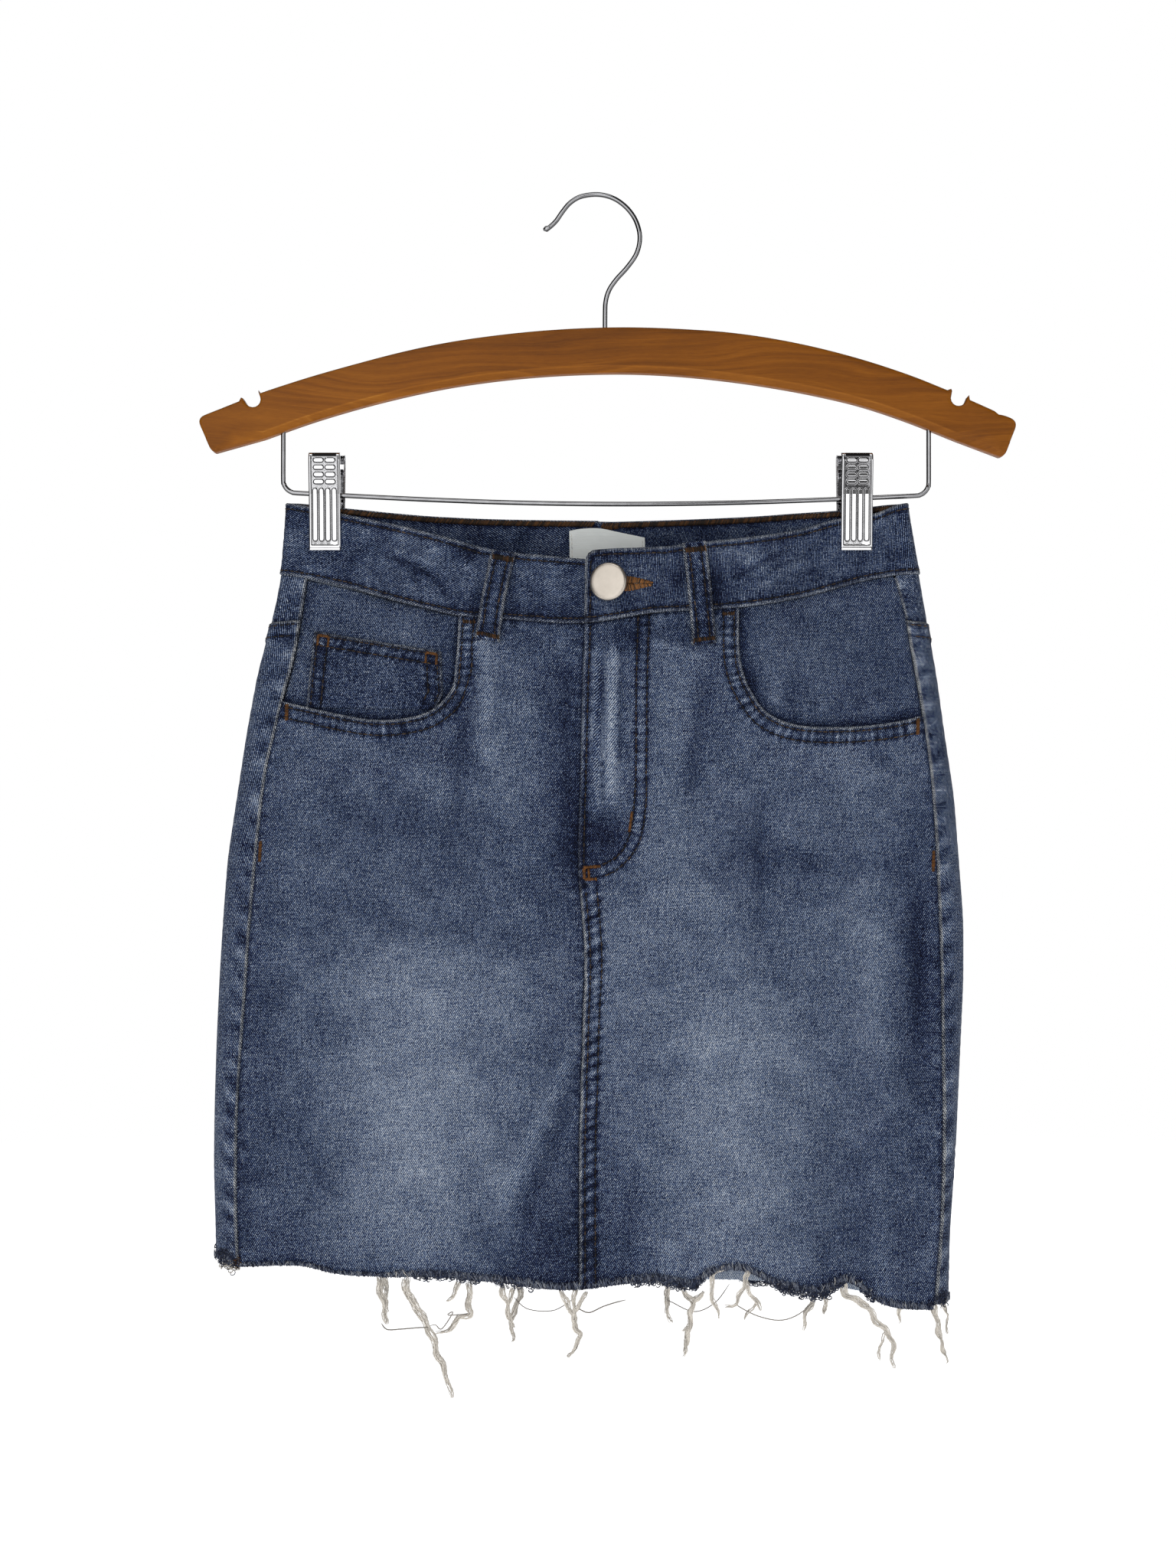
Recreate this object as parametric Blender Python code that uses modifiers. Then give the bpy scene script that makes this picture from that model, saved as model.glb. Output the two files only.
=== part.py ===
"""A five-pocket denim skirt with a raw hem, held at its waistband by a wooden clip hanger.

Lengths in the tables are millimetres. X runs to the viewer's right, DROP runs down from the inside
of the hook's crown, which is the origin, and the front of the skirt faces -Y.

The cloth is a closed tube. A section at each height is two quarter rolls at the sides, joined by a
softly crowned front and back. A lattice of columns round the tube and rows down it holds the shape,
and each cut piece is an outline on that lattice, given a wall between two distances from it. All the
pieces share the lattice's facets, so layers that lie on each other stay parallel.
"""

import math
import random

import bmesh
import bpy
from mathutils import Quaternion, Vector
from mathutils.geometry import delaunay_2d_cdt

MM = 0.001
NAME = "denim_skirt_on_clip_hanger"

# ---- Lattice -------------------------------------------------------------------------------------
FLAT_COLUMNS = 10          # columns from the centre line to the start of a side roll
ROLL_COLUMNS = 3           # columns round a quarter of a side roll
QUARTER = FLAT_COLUMNS + ROLL_COLUMNS
ROUND = 4 * QUARTER
ROW_TOP = 157.0
ROW_STEP = 24.0
ROWS = 19

# ---- Walls, as distances outward from the lattice ---------------------------------------------------
GAP = 0.3                  # between pieces at a seam and between layers
DENIM = 1.2                # one layer of the cloth
BAND_IN, BAND_OUT = -0.9, 1.7
BAND = BAND_OUT - BAND_IN
UNDER = -(GAP + DENIM)     # inner side of a layer that lies inside the front
SATIN = 0.8

# ---- Sections of the tube: silhouette edges, and depth in front of and behind the hanger ------------
SECTIONS = (
    # drop, left, right, front, back
    (157, -163.5, 166.5, 12, 8),
    (165, -164.0, 167.0, 13, 9),
    (203, -167.0, 173.5, 15, 11),
    (224, -171.0, 177.0, 17, 13),
    (257, -180.0, 183.0, 20, 16),
    (290, -186.0, 187.5, 22, 18),
    (323, -191.0, 192.5, 22, 20),
    (356, -196.0, 195.0, 22, 21),
    (389, -198.5, 197.5, 22, 22),
    (422, -200.5, 197.5, 22, 22),
    (455, -202.0, 196.0, 22, 22),
    (488, -203.0, 194.5, 22, 22),
    (521, -203.5, 193.0, 23, 23),
    (554, -202.5, 190.5, 24, 24),
    (610, -202.0, 189.0, 24, 24),
)
WAIST_ROLL = 6.5           # radius of the side roll at the waist
HEM_ROLL = 10.0            # and at the hem
ROLL_GROWS_OVER = 160.0
CROWN_POWER = 3.0          # how flat the crowned front and back are

# ---- Clips: where they pinch the front and back of the waistband together ---------------------------
CLIP_X = (-144.5, 141.0)
GRIP_DEPTH = 1.2           # depth of the lattice where a clip holds it
GRIP_INNER, GRIP_OUTER = 18.0, 14.0
FADE_INNER, FADE_OUTER = 42.0, 17.0
GRIP_BOTTOM = 201.0
FADE_BELOW = 62.0

# ---- Largest folds: a soft ridge (+) or trough (-) along a line --------------------------------------
FRONT_FOLDS = (
    # x0, drop0, x1, drop1, half width, height
    (-17, 262, -16, 405, 20, -2.4),     # valley beside the fly
    (-74, 268, -68, 345, 20, -2.6),     # under the inner end of the left pocket
    (62, 262, 55, 318, 20, -2.2),       # under the inner end of the right pocket
    (88, 330, 86, 400, 22, -2.0),
    (170, 372, 172, 470, 20, -3.0),     # inside the right side seam
    (-172, 420, -176, 520, 20, -2.2),
    (-100, 400, -98, 560, 48, 3.6),     # left thigh
    (74, 395, 78, 560, 48, 3.6),        # right thigh
    (-6, 450, -8, 610, 34, -4.5),       # hollow above the centre of the hem
    (-46, 470, -20, 560, 20, 1.6),
    (130, 480, 138, 610, 24, -3.2),
    (-150, 500, -152, 610, 22, -2.6),
)
BACK_FOLDS = (
    (0, 300, -2, 420, 24, -2.6),
    (-96, 330, -92, 450, 46, 3.4),      # seat, left
    (94, 325, 90, 445, 46, 3.4),        # seat, right
    (-60, 450, -50, 610, 26, -3.0),
    (48, 440, 62, 610, 26, -3.4),
    (150, 400, 146, 560, 24, -2.6),
    (-156, 410, -150, 560, 24, -2.4),
    (6, 500, 4, 610, 28, 2.6),
)

# ---- Seams and edges -------------------------------------------------------------------------------
BAND_TOP_LEFT = (          # front waistband, from the left side to its end under the button
    # x, drop
    (-134, 171), (-106, 177), (-70, 187), (-54, 191), (-40, 193), (-8, 196), (8, 197), (21, 196.5),
)
BAND_TOP_RIGHT = (
    (-1, 192), (9, 191), (33, 190), (58, 187), (85, 184), (111, 179), (129, 174), (149, 171),
)
BAND_TOP_SIDE = 165.0
BAND_TOP_BACK = (
    (135, 168.5), (112, 170), (59, 172.5), (10, 174), (-7, 173.5), (-59, 172.5), (-107, 170),
    (-135, 167.5),
)
BAND_TOP_CENTRE_BACK = 173.5
BAND_BOTTOM_SIDE = 203.6
BAND_BOTTOM_FRONT = (
    (-138, 209), (-106, 218), (-74, 226), (-51, 228), (-6, 230.5), (33, 225), (77, 222), (111, 216),
    (149, 206),
)
BAND_HEIGHT_BACK = 38.5
CENTRE_X = -5.0            # where the waistband's overlapping end lies
UNDERLAP_X = 21.0          # end of the waistband's lower layer
UNDERLAP_CORNER, OVERLAP_CORNER = 200.0, 196.0   # where the ends' upper corners stop being round
LAP_FLAT_X, LAP_END_X = 28.0, 44.0   # between these the upper layer comes down again

SIDE_SEAM_LEFT = (
    # x, drop
    (-154, 203), (-160, 245), (-166, 269), (-171, 290), (-175, 308), (-179, 340), (-184, 395),
    (-188, 450), (-191, 495), (-191, 545), (-189.5, 574),
)
SIDE_SEAM_RIGHT = (
    (161, 203), (166, 222), (169, 241), (172, 258), (176, 282), (180, 313), (183, 356), (185, 400),
    (186, 450), (186, 510), (184.5, 555), (181.5, 594),
)
CENTRE_FRONT = (
    (-5, 230.5), (-6, 266), (-7, 310), (-8, 359), (-5, 404), (-6, 440), (-7, 480), (-8, 509), (-8, 587),
)
POCKET_LEFT = (            # opening edge, from the side seam to the waistband
    (-166.3, 272), (-149, 276), (-130, 280), (-115, 282), (-100, 281), (-88, 277.5), (-79, 270),
    (-75, 262), (-73, 246), (-72, 226.1),
)
POCKET_RIGHT = (           # from the waistband to the side seam
    (77, 222), (77, 244), (79, 256), (84, 268), (93, 279), (110, 285), (137, 285.5), (160, 283),
    (175.3, 279.5),
)
FACING_REACH = 11.0        # how far a pocket facing runs on under the front
COIN_POCKET = (
    (-150, 234), (-81.5, 245.5), (-80.5, 268), (-84.5, 276.5), (-154, 275),
)
YOKE_SIDE, YOKE_CENTRE = 231.5, 268.0
FRONT_HEM = (              # raw edge, from the left side seam to the right
    (-189.5, 574), (-159, 573), (-132, 577), (-84, 577), (-63, 579), (-42, 581), (-24, 584), (-8, 584.5),
    (10, 582), (33, 579), (52, 582), (61, 576), (72, 573), (83, 575), (97, 582), (120, 587), (131, 582),
    (140, 584), (151, 592), (163, 596), (181.5, 597),
)
BACK_HEM = (               # from the right side seam round the back to the left
    (150, 592), (118, 587), (90, 583), (60, 582), (28, 585), (-3, 588), (-34, 586), (-70, 581), (-102, 579),
    (-138, 578), (-168, 576),
)
HEM_SPACING = 24.0
HEM_SIDE_LEFT, HEM_SIDE_RIGHT = 570.5, 593.5
BACK_HEM_CENTRE = (-2.0, 588.0)
CENTRE_CLEAR = 6.0         # no other hem point lies this near the centre back

FLY_SHIELD = ((-14, 229.5), (26, 227), (25, 340), (14, 368), (-14, 372))
FLY_ZIP = ((-2, 231.5), (10, 231), (9, 350), (-3, 350))
LABEL = ((27.5, 178.5), (-13.5, 178.5), (-13.5, 214), (27.5, 214))

BACK_POCKET = (            # offsets from the middle of its top edge
    # across, down
    (-66, 0), (66, 0), (60, 112), (0, 136), (-60, 112),
)
BACK_POCKET_X, BACK_POCKET_DROP = 86.0, 286.0

LOOP_WIDTH = 12.6
LOOP_STAND = 2.0           # how far a belt loop stands off the waistband in its middle
LOOPS_FRONT = (
    # name, x at the top, drop at the top, x at the bottom, drop at the bottom
    ("belt_loop_front_left", -48, 192.6, -56.5, 240),
    ("belt_loop_front_right", 53, 187.4, 58.5, 242),
)
LOOPS_BACK = (
    ("belt_loop_back_left", -98, 170.6, -98, 221),
    ("belt_loop_back_centre", 4, 173.8, 4, 226),
    ("belt_loop_back_right", 98, 170.9, 98, 221),
)

# ---- Raw hem: a narrow strip of loosened edge with the threads that hang from it ---------------------
STRIP_HEIGHT = 2.4
STRIP_WALL = 0.9
STRIP_ENDS = 2.0           # the strip stops this far before the path's ends
ROOT_WIDTH = 1.3
ROOT_CLEAR = 0.4           # least distance between a root and a corner of the strip
FIRST_THREAD = 5.0
THREAD_PITCH = 11.5
THREAD_LENGTHS = (2.5, 6.5)
THREAD_LEAN = 1.5
THREAD_SEED = 41
THREAD_TAPER = 0.7         # width of a short thread in its middle
BUNDLE_TAPER = 0.65        # part of its width that a bundle loses
BUNDLE_STEP = 8.0          # about the length of one part of a bundle
HEM_DROP = 590.0           # about the height of the hem
FRONT_BUNDLES = (          # bundles of loose warp threads
    # x at the root, x at the tip, drop at the tip, sideways bow, thickness
    (-112, -111, 603, 1.5, 3.0),
    (-98, -75, 642, -4.0, 3.4),
    (-67, -80, 610, -6.0, 2.6),
    (-47, -44, 604, 2.0, 2.2),
    (-12, -14, 621, -4.0, 3.0),
    (51, 46, 619, 2.0, 2.4),
    (66, 67, 600, 3.0, 1.8),
    (78, 70, 596, 2.0, 1.8),
    (85, 91, 599, -1.5, 1.8),
    (123, 124, 601, 1.5, 2.0),
    (135, 161, 631, -5.0, 2.4),
    (176, 187, 628, -2.0, 2.0),
)
BACK_BUNDLES = (
    (120, 114, 615, 2.0, 2.2),
    (36, 42, 612, -3.0, 2.4),
    (-40, -44, 622, 3.0, 2.6),
    (-118, -112, 605, -2.0, 2.2),
)

# ---- Button ----------------------------------------------------------------------------------------
BUTTON_X, BUTTON_DROP = 9.2, 209.6
BUTTON_RADIUS, BUTTON_HEIGHT = 10.2, 2.6
BUTTON_STAND = 3.6         # its head stands off the waistband by this
BUTTON_TILT = -16.0        # the head leans a little towards the side
SHANK_RADIUS = 2.2
EYE_RADIUS = 3.6           # round end of the buttonhole
SLIT_END_X, SLIT_HALF = 29.5, 0.9

# ---- Hanger ----------------------------------------------------------------------------------------
ARM_THICK = 12.0
ARM_EDGE = 1.6             # chamfer of the arm's long edges
ARM_TOP = (
    # x, drop
    (-212.4, 121.4), (-210.6, 118.8), (-202, 115.2), (-190.6, 110.6), (-177.4, 105.6), (-153, 97.7),
    (-128, 90.6), (-103, 84.1), (-79, 79.1), (-54, 75.4), (-29, 72.8), (-4, 71.3), (20, 70.9),
    (45, 71.7), (70, 73.4), (94, 76.6),
    (119, 81.6), (144, 88.2), (169, 96.4), (189.6, 104.6), (203.4, 110.6), (218, 117.2), (225, 120.6),
    (227.2, 124.0),
)
ARM_BOTTOM = (
    (219.6, 141.6), (193, 131), (168.5, 121.2), (144, 113), (119, 107), (94, 102.4), (70, 99), (45, 96.5),
    (20, 95.3), (-4, 95.5), (-29, 96.8), (-54, 99.3), (-79, 103), (-103, 108), (-128, 114.4), (-153, 122),
    (-177, 130.6), (-204.6, 139.2),
)
NOTCHES = (
    # x, drop at the mouth, tilt in degrees
    (-184.0, 107.5, 20.0),
    (196.5, 106.8, -22.0),
)
NOTCH_WIDTH, NOTCH_DEPTH, NOTCH_LIP = 9.0, 6.5, 0.6
WIRE = 2.6
HOOK_ROUTE = (
    # x, drop of the wire's centre, thickness against the wire's own
    (-27.4, 17.6, 1.35), (-25.8, 17.3, 1.3), (-24.2, 16.5, 1.0), (-20.5, 13.0, 1.0), (-17.0, 8.0, 1.0),
    (-13.0, 3.3, 1.0), (-7.6, 0.0, 1.0), (0.0, -1.3, 1.0), (6.5, -0.6, 1.0), (12.4, 1.8, 1.0),
    (18.0, 6.3, 1.0), (22.2, 12.2, 1.0), (24.4, 19.0, 1.0), (24.4, 25.0, 1.0), (22.4, 31.4, 1.0),
    (17.6, 38.2, 1.0), (12.0, 44.4, 1.0), (8.2, 50.0, 1.0), (6.3, 56.0, 1.0), (5.9, 64.0, 1.0),
    (5.9, 84.0, 1.0),
)
HOOK_STEM_X, HOOK_HOLE_BOTTOM = 5.9, 84.3
LEG_X = (-167.3, 180.1)
LEG_TOP = (118.0, 116.0)
BAR_ENDS = (159.0, 160.5)  # drop of the bar beside each leg
BAR_SAG = 5.6
BEND = 7.0
BAR_POINTS = 18

# ---- Clips -----------------------------------------------------------------------------------------
JAW_WIDTH = 17.0
JAW_SHEET = 1.0
JAW_TOP = 138.5
JAW_PROFILE = (
    # drop below the jaw's top, distance of its inner face from the bar
    (0.0, 7.6), (4.0, 8.6), (17.0, 6.5), (22.0, 5.6), (26.3, 5.1), (46.0, 3.5), (50.5, 3.4), (52.0, 4.4),
)
EAR_STEPS = (2, 4)         # the jaw's profile points between which its ears turn back
EAR_SHEET, EAR_REACH = 1.0, 3.6
SPRING_RADIUS, SPRING_LENGTH, SPRING_BORE = 4.4, 9.0, 1.65

COLOURS = {
    # base colour, roughness, metallic
    "denim": ((0.070, 0.105, 0.170), 0.90, 0.0),
    "denim_inside": ((0.300, 0.330, 0.370), 0.92, 0.0),
    "denim_dark": ((0.040, 0.055, 0.090), 0.90, 0.0),
    "thread": ((0.840, 0.820, 0.770), 0.85, 0.0),
    "satin": ((0.830, 0.830, 0.840), 0.35, 0.0),
    "nickel": ((0.620, 0.590, 0.570), 0.35, 1.0),
    "zip": ((0.050, 0.060, 0.090), 0.70, 0.0),
    "wood": ((0.340, 0.160, 0.045), 0.42, 0.0),
    "chrome": ((0.700, 0.700, 0.710), 0.16, 1.0),
}


# ---- Small helpers ---------------------------------------------------------------------------------
def clear_scene():
    for item in list(bpy.data.objects):
        bpy.data.objects.remove(item, do_unlink=True)


def new_collection(name):
    made = bpy.data.collections.new(name)
    bpy.context.scene.collection.children.link(made)
    return made


def material(name):
    found = bpy.data.materials.get(name)
    if found:
        return found
    colour, roughness, metallic = COLOURS[name]
    made = bpy.data.materials.new(name)
    made.use_nodes = True
    shader = made.node_tree.nodes["Principled BSDF"]
    shader.inputs["Base Color"].default_value = (*colour, 1.0)
    shader.inputs["Roughness"].default_value = roughness
    shader.inputs["Metallic"].default_value = metallic
    made.diffuse_color = (*colour, 1.0)
    return made


def add_object(name, data, finish, where):
    made = bpy.data.objects.new(name, data)
    made.data.materials.append(material(finish))
    where.objects.link(made)
    return made


def mesh_object(name, work, finish, where, smooth_angle=None):
    bmesh.ops.recalc_face_normals(work, faces=work.faces)
    mesh = bpy.data.meshes.new(name)
    work.to_mesh(mesh)
    work.free()
    if smooth_angle is not None:
        mesh.shade_smooth()
        mesh.set_sharp_from_angle(angle=math.radians(smooth_angle))
    return add_object(name, mesh, finish, where)


def smoothstep(value):
    value = min(max(value, 0.0), 1.0)
    return value * value * (3.0 - 2.0 * value)


def lookup(table, key, column):
    """Linear value of a table's column at key, which runs along its first column."""
    if key <= table[0][0]:
        return table[0][column]
    for low, high in zip(table, table[1:]):
        if key <= high[0]:
            part = (key - low[0]) / (high[0] - low[0])
            return low[column] + part * (high[column] - low[column])
    return table[-1][column]


def smooth_path(points, spacing):
    """Points along a Catmull-Rom curve through the given ones, about one for each spacing."""
    path = []
    last = len(points) - 1
    for index in range(last):
        before = points[max(index - 1, 0)]
        start, end = points[index], points[index + 1]
        after = points[min(index + 2, last)]
        count = max(1, round(math.dist(start, end) / spacing))
        for step in range(count):
            t = step / count
            path.append(tuple(
                (2 * b + t * ((c - a) + t * ((2 * a - 5 * b + 4 * c - d) + t * (3 * b - a - 3 * c + d)))) / 2
                for a, b, c, d in zip(before, start, end, after)
            ))
    path.append(tuple(points[last]))
    return path


# ---- Shape of the cloth ----------------------------------------------------------------------------
def section(drop):
    """Middle, half width, roll radius, front depth and back depth of the tube at a height."""
    left, right, front, back = (lookup(SECTIONS, drop, column) for column in (1, 2, 3, 4))
    grown = smoothstep((drop - BAND_BOTTOM_SIDE) / ROLL_GROWS_OVER)
    roll = WAIST_ROLL + (HEM_ROLL - WAIST_ROLL) * grown
    return (left + right) / 2, (right - left) / 2, roll, front, back


def fold_height(folds, x, drop):
    total = 0.0
    for x0, drop0, x1, drop1, half_width, height in folds:
        along = Vector((x1 - x0, drop1 - drop0))
        here = Vector((x - x0, drop - drop0))
        part = min(max(here.dot(along) / along.length_squared, 0.0), 1.0)
        away = (here - along * part).length / half_width
        if away < 1.0:
            total += height * math.cos(away * math.pi / 2) ** 2
    return total


def grip(x, drop):
    """1 where a clip presses the cloth flat, falling to 0 around it."""
    strongest = 0.0
    for clip in CLIP_X:
        outward = (x - clip) * (1 if clip > 0 else -1)
        flat, fade = (GRIP_OUTER, FADE_OUTER) if outward > 0 else (GRIP_INNER, FADE_INNER)
        across = 1.0 - smoothstep((abs(outward) - flat) / fade)
        down = 1.0 - smoothstep((drop - GRIP_BOTTOM) / FADE_BELOW)
        strongest = max(strongest, across * down)
    return strongest


def surface_point(u, drop):
    """Point of the tube at column u, counted from the centre front to the right, and a height."""
    middle, half, roll, front, back = section(drop)
    u = (u + ROUND / 2) % ROUND - ROUND / 2
    side = 1 if u >= 0 else -1
    in_front = abs(u) <= QUARTER
    column = abs(u) if in_front else 2 * QUARTER - abs(u)
    flat = half - roll
    if column <= FLAT_COLUMNS:
        away, depth = flat * column / FLAT_COLUMNS, roll
    else:
        turn = (column - FLAT_COLUMNS) / ROLL_COLUMNS * math.pi / 2
        away, depth = flat + roll * math.sin(turn), roll * math.cos(turn)
    x = middle + side * away
    crown = (1 - (away / half) ** CROWN_POWER) ** 2
    depth += ((front if in_front else back) - roll) * crown
    depth += fold_height(FRONT_FOLDS if in_front else BACK_FOLDS, x, drop) * min(1.0, depth / roll)
    held = grip(x, drop)
    depth = depth * (1 - held) + min(depth, GRIP_DEPTH) * held
    return Vector((x, -depth if in_front else depth, -drop))


def surface_normal(u, drop):
    step_u, step_drop = 0.15, 1.5
    along = surface_point(u + step_u, drop) - surface_point(u - step_u, drop)
    down = surface_point(u, drop + step_drop) - surface_point(u, drop - step_drop)
    return down.cross(along).normalized()


class Lattice:
    """Points and outward directions at whole columns and rows, with plain facets between them."""

    def __init__(self):
        drops = [ROW_TOP + ROW_STEP * row for row in range(ROWS + 1)]
        self.points = [[surface_point(column, drop) for drop in drops] for column in range(ROUND)]
        self.normals = [[surface_normal(column, drop) for drop in drops] for column in range(ROUND)]

    def at(self, u, v, out):
        """Point at column u and row v, moved outward; u and v may lie between the lattice's own."""
        column, row = math.floor(u), min(max(math.floor(v), 0), ROWS - 1)
        right, below = u - column, v - row
        corners = [(0, 0, 1 - max(right, below)), (1, 1, min(right, below))]
        corners.append((1, 0, right - below) if right > below else (0, 1, below - right))
        total = Vector()
        for step_u, step_v, weight in corners:
            place = (column + step_u) % ROUND, row + step_v
            total += weight * (self.points[place[0]][place[1]] + out * self.normals[place[0]][place[1]])
        return total


LATTICE = Lattice()


def row_of(drop):
    return (drop - ROW_TOP) / ROW_STEP


def front(x, drop):
    """Lattice column and row of a point of the front seen at x."""
    middle, half, roll, _, _ = section(drop)
    away = abs(x - middle)
    flat = half - roll
    if away <= flat:
        u = FLAT_COLUMNS * away / flat
    else:
        u = FLAT_COLUMNS + ROLL_COLUMNS * math.asin(min((away - flat) / roll, 1.0)) / (math.pi / 2)
    return math.copysign(u, x - middle), row_of(drop)


def back(x, drop):
    """The same for the back. Its columns run on from the front's round both sides."""
    u, v = front(x, drop)
    return math.copysign(2 * QUARTER, u) - u, v


def back_across(x, drop):
    """The back again, for a piece that crosses its centre: columns run on past it to the left."""
    u, v = front(x, drop)
    return 2 * QUARTER - u, v


def chart(path, place, spacing=12.0):
    return [place(x, drop) for x, drop in smooth_path(path, spacing)]


def turning_left(outline):
    """The outline in the order that the triangulation asks for."""
    area = sum(a[0] * b[1] - b[0] * a[1] for a, b in zip(outline, outline[1:] + outline[:1]))
    return list(outline) if area > 0 else list(reversed(outline))


def inset(outline, distance):
    """The outline moved inward all round, in real size, so that neighbours keep a gap."""
    count = len(outline)
    moved = []
    for index, (u, v) in enumerate(outline):
        across = (LATTICE.at(u + 0.2, v, 0) - LATTICE.at(u - 0.2, v, 0)).length / 0.4
        scale = Vector((across, ROW_STEP))
        here = Vector((u, v)) * scale
        ahead = (Vector(outline[(index + 1) % count]) * scale - here).normalized()
        behind = (here - Vector(outline[index - 1]) * scale).normalized()
        side = Vector((-ahead.y - behind.y, ahead.x + behind.x)).normalized()
        reach = distance / max(side.dot(Vector((-ahead.y, ahead.x))), 0.4)
        here += side * reach
        moved.append((here.x / scale.x, here.y / scale.y))
    return moved


def lattice_net(outline):
    """The lattice's points and lines around an outline."""
    columns = range(math.floor(min(u for u, _ in outline)), math.ceil(max(u for u, _ in outline)) + 1)
    rows = range(math.floor(min(v for _, v in outline)), math.ceil(max(v for _, v in outline)) + 1)
    points = [(column, row) for column in columns for row in rows]
    place = {point: index for index, point in enumerate(points)}
    lines = []
    for column, row in points:
        for step in ((1, 0), (0, 1), (1, 1)):
            other = (column + step[0], row + step[1])
            if other in place:
                lines.append((place[column, row], place[other]))
    return points, lines


def cut_piece(name, outline, inner, outer, finish, where, hole=(), creases=(), gap=GAP / 2):
    """A wall over an outline on the lattice. inner and outer give its faces' distances, as functions
    of u and v or as plain sizes. A hole goes right through, and a crease is a line that the facets
    follow."""
    outline = inset(turning_left(outline), gap)
    points, lines = lattice_net(outline)
    loops = []
    for loop in (outline, turning_left(hole)):
        if loop:
            loops.append(list(range(len(points), len(points) + len(loop))))
            points += loop
    for start, end in creases:
        lines.append((len(points), len(points) + 1))
        points += [start, end]
    flat = [Vector((u * ROW_STEP, v * ROW_STEP)) for u, v in points]
    verts, _, faces, _, _, owners = delaunay_2d_cdt(flat, lines, loops, 1, 1e-4)
    kept = [face for face, owner in zip(faces, owners) if 0 in owner and 1 not in owner]
    used = sorted({index for face in kept for index in face})
    inner_at = inner if callable(inner) else lambda u, v: inner
    outer_at = outer if callable(outer) else lambda u, v: outer
    work = bmesh.new()
    near, far = {}, {}
    for index in used:
        u, v = verts[index].x / ROW_STEP, verts[index].y / ROW_STEP
        near[index] = work.verts.new(LATTICE.at(u, v, inner_at(u, v)) * MM)
        far[index] = work.verts.new(LATTICE.at(u, v, outer_at(u, v)) * MM)
    edges = {}
    for face in kept:
        work.faces.new([far[index] for index in face])
        work.faces.new([near[index] for index in reversed(face)])
        for a, b in zip(face, face[1:] + face[:1]):
            edges[a, b] = edges.get((a, b), 0) + 1
    for a, b in edges:
        if (b, a) not in edges:
            work.faces.new([far[b], far[a], near[a], near[b]])
    bmesh.ops.triangulate(work, faces=work.faces)
    return mesh_object(name, work, finish, where)


# ---- Outlines shared by pieces that meet -------------------------------------------------------------
def seam(table, top=None, bottom=None):
    """Points of a side or centre seam between two heights, both ends included."""
    path = smooth_path(table, 14.0)
    top = path[0][1] if top is None else top
    bottom = path[-1][1] if bottom is None else bottom
    inside = [point for point in path if top + 0.5 < point[1] < bottom - 0.5]
    ends = [(lookup([(d, x) for x, d in path], drop, 1), drop) for drop in (top, bottom)]
    return [ends[0]] + inside + [ends[1]]


def on_front(points):
    return [front(x, drop) for x, drop in points]


def one_half(points, side):
    """The points of the back's left half, given as -1, or right half, clear of the centre back."""
    return [point for point in points if 0 < side * point[0] < 2 * QUARTER - 0.3]


def band_bottom():
    """The waistband's lower edge all round, from the centre back by the left side to the centre back."""
    across_back = chart([(x, drop + BAND_HEIGHT_BACK) for x, drop in BAND_TOP_BACK], back)
    centre = row_of(BAND_TOP_CENTRE_BACK + BAND_HEIGHT_BACK)
    sides = [(-QUARTER, row_of(BAND_BOTTOM_SIDE)), (QUARTER, row_of(BAND_BOTTOM_SIDE))]
    centres = [(-2 * QUARTER, centre), (2 * QUARTER, centre)]
    backs = one_half(across_back, -1) + one_half(across_back, 1)
    return sorted(chart(BAND_BOTTOM_FRONT, front) + sides + backs + centres)


BAND_BOTTOM = band_bottom()


def along_band(start, end):
    """Stretch of the waistband's lower edge between two columns, both ends included."""
    inside = [point for point in BAND_BOTTOM if start + 0.02 < point[0] < end - 0.02]
    return [(start, lookup(BAND_BOTTOM, start, 1))] + inside + [(end, lookup(BAND_BOTTOM, end, 1))]


def meets_band(path):
    """The path with its end nearest the waistband put on the waistband's lower edge."""
    u = path[-1][0]
    return path[:-1] + [(u, lookup(BAND_BOTTOM, u, 1))]


def yoke_seam(side):
    """The yoke's lower seam from a side seam, given as -1 or 1, round to the centre back."""
    table = SIDE_SEAM_LEFT if side < 0 else SIDE_SEAM_RIGHT
    start = front(lookup([(d, x) for x, d in smooth_path(table, 14.0)], YOKE_SIDE, 1), YOKE_SIDE)
    path = [start]
    for column in range(QUARTER, 2 * QUARTER + 1):
        part = (column - QUARTER) / QUARTER
        path.append((side * column, row_of(YOKE_SIDE + (YOKE_CENTRE - YOKE_SIDE) * part ** 1.2)))
    return path


def hem_line(side):
    """Back hem from a side seam round to the centre back."""
    if side > 0:
        start, roll = front(*SIDE_SEAM_RIGHT[-1]), HEM_SIDE_RIGHT
        points = [point for point in BACK_HEM if point[0] > BACK_HEM_CENTRE[0] + CENTRE_CLEAR]
    else:
        start, roll = front(*SIDE_SEAM_LEFT[-1]), HEM_SIDE_LEFT
        points = [point for point in reversed(BACK_HEM) if point[0] < BACK_HEM_CENTRE[0] - CENTRE_CLEAR]
    path = [start, (side * QUARTER, row_of(roll))]
    path += [back(x, drop) for x, drop in points]
    return path + [(side * 2 * QUARTER, row_of(BACK_HEM_CENTRE[1]))]


# ---- Cloth pieces ----------------------------------------------------------------------------------
LAP_FLAT, LAP_END = (front(x, BUTTON_DROP)[0] for x in (LAP_FLAT_X, LAP_END_X))


def lap(u, v):
    """1 where the waistband's upper end lies on its lower one, 0 past it."""
    return min(max((LAP_END - u) / (LAP_END - LAP_FLAT), 0.0), 1.0)


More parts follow.
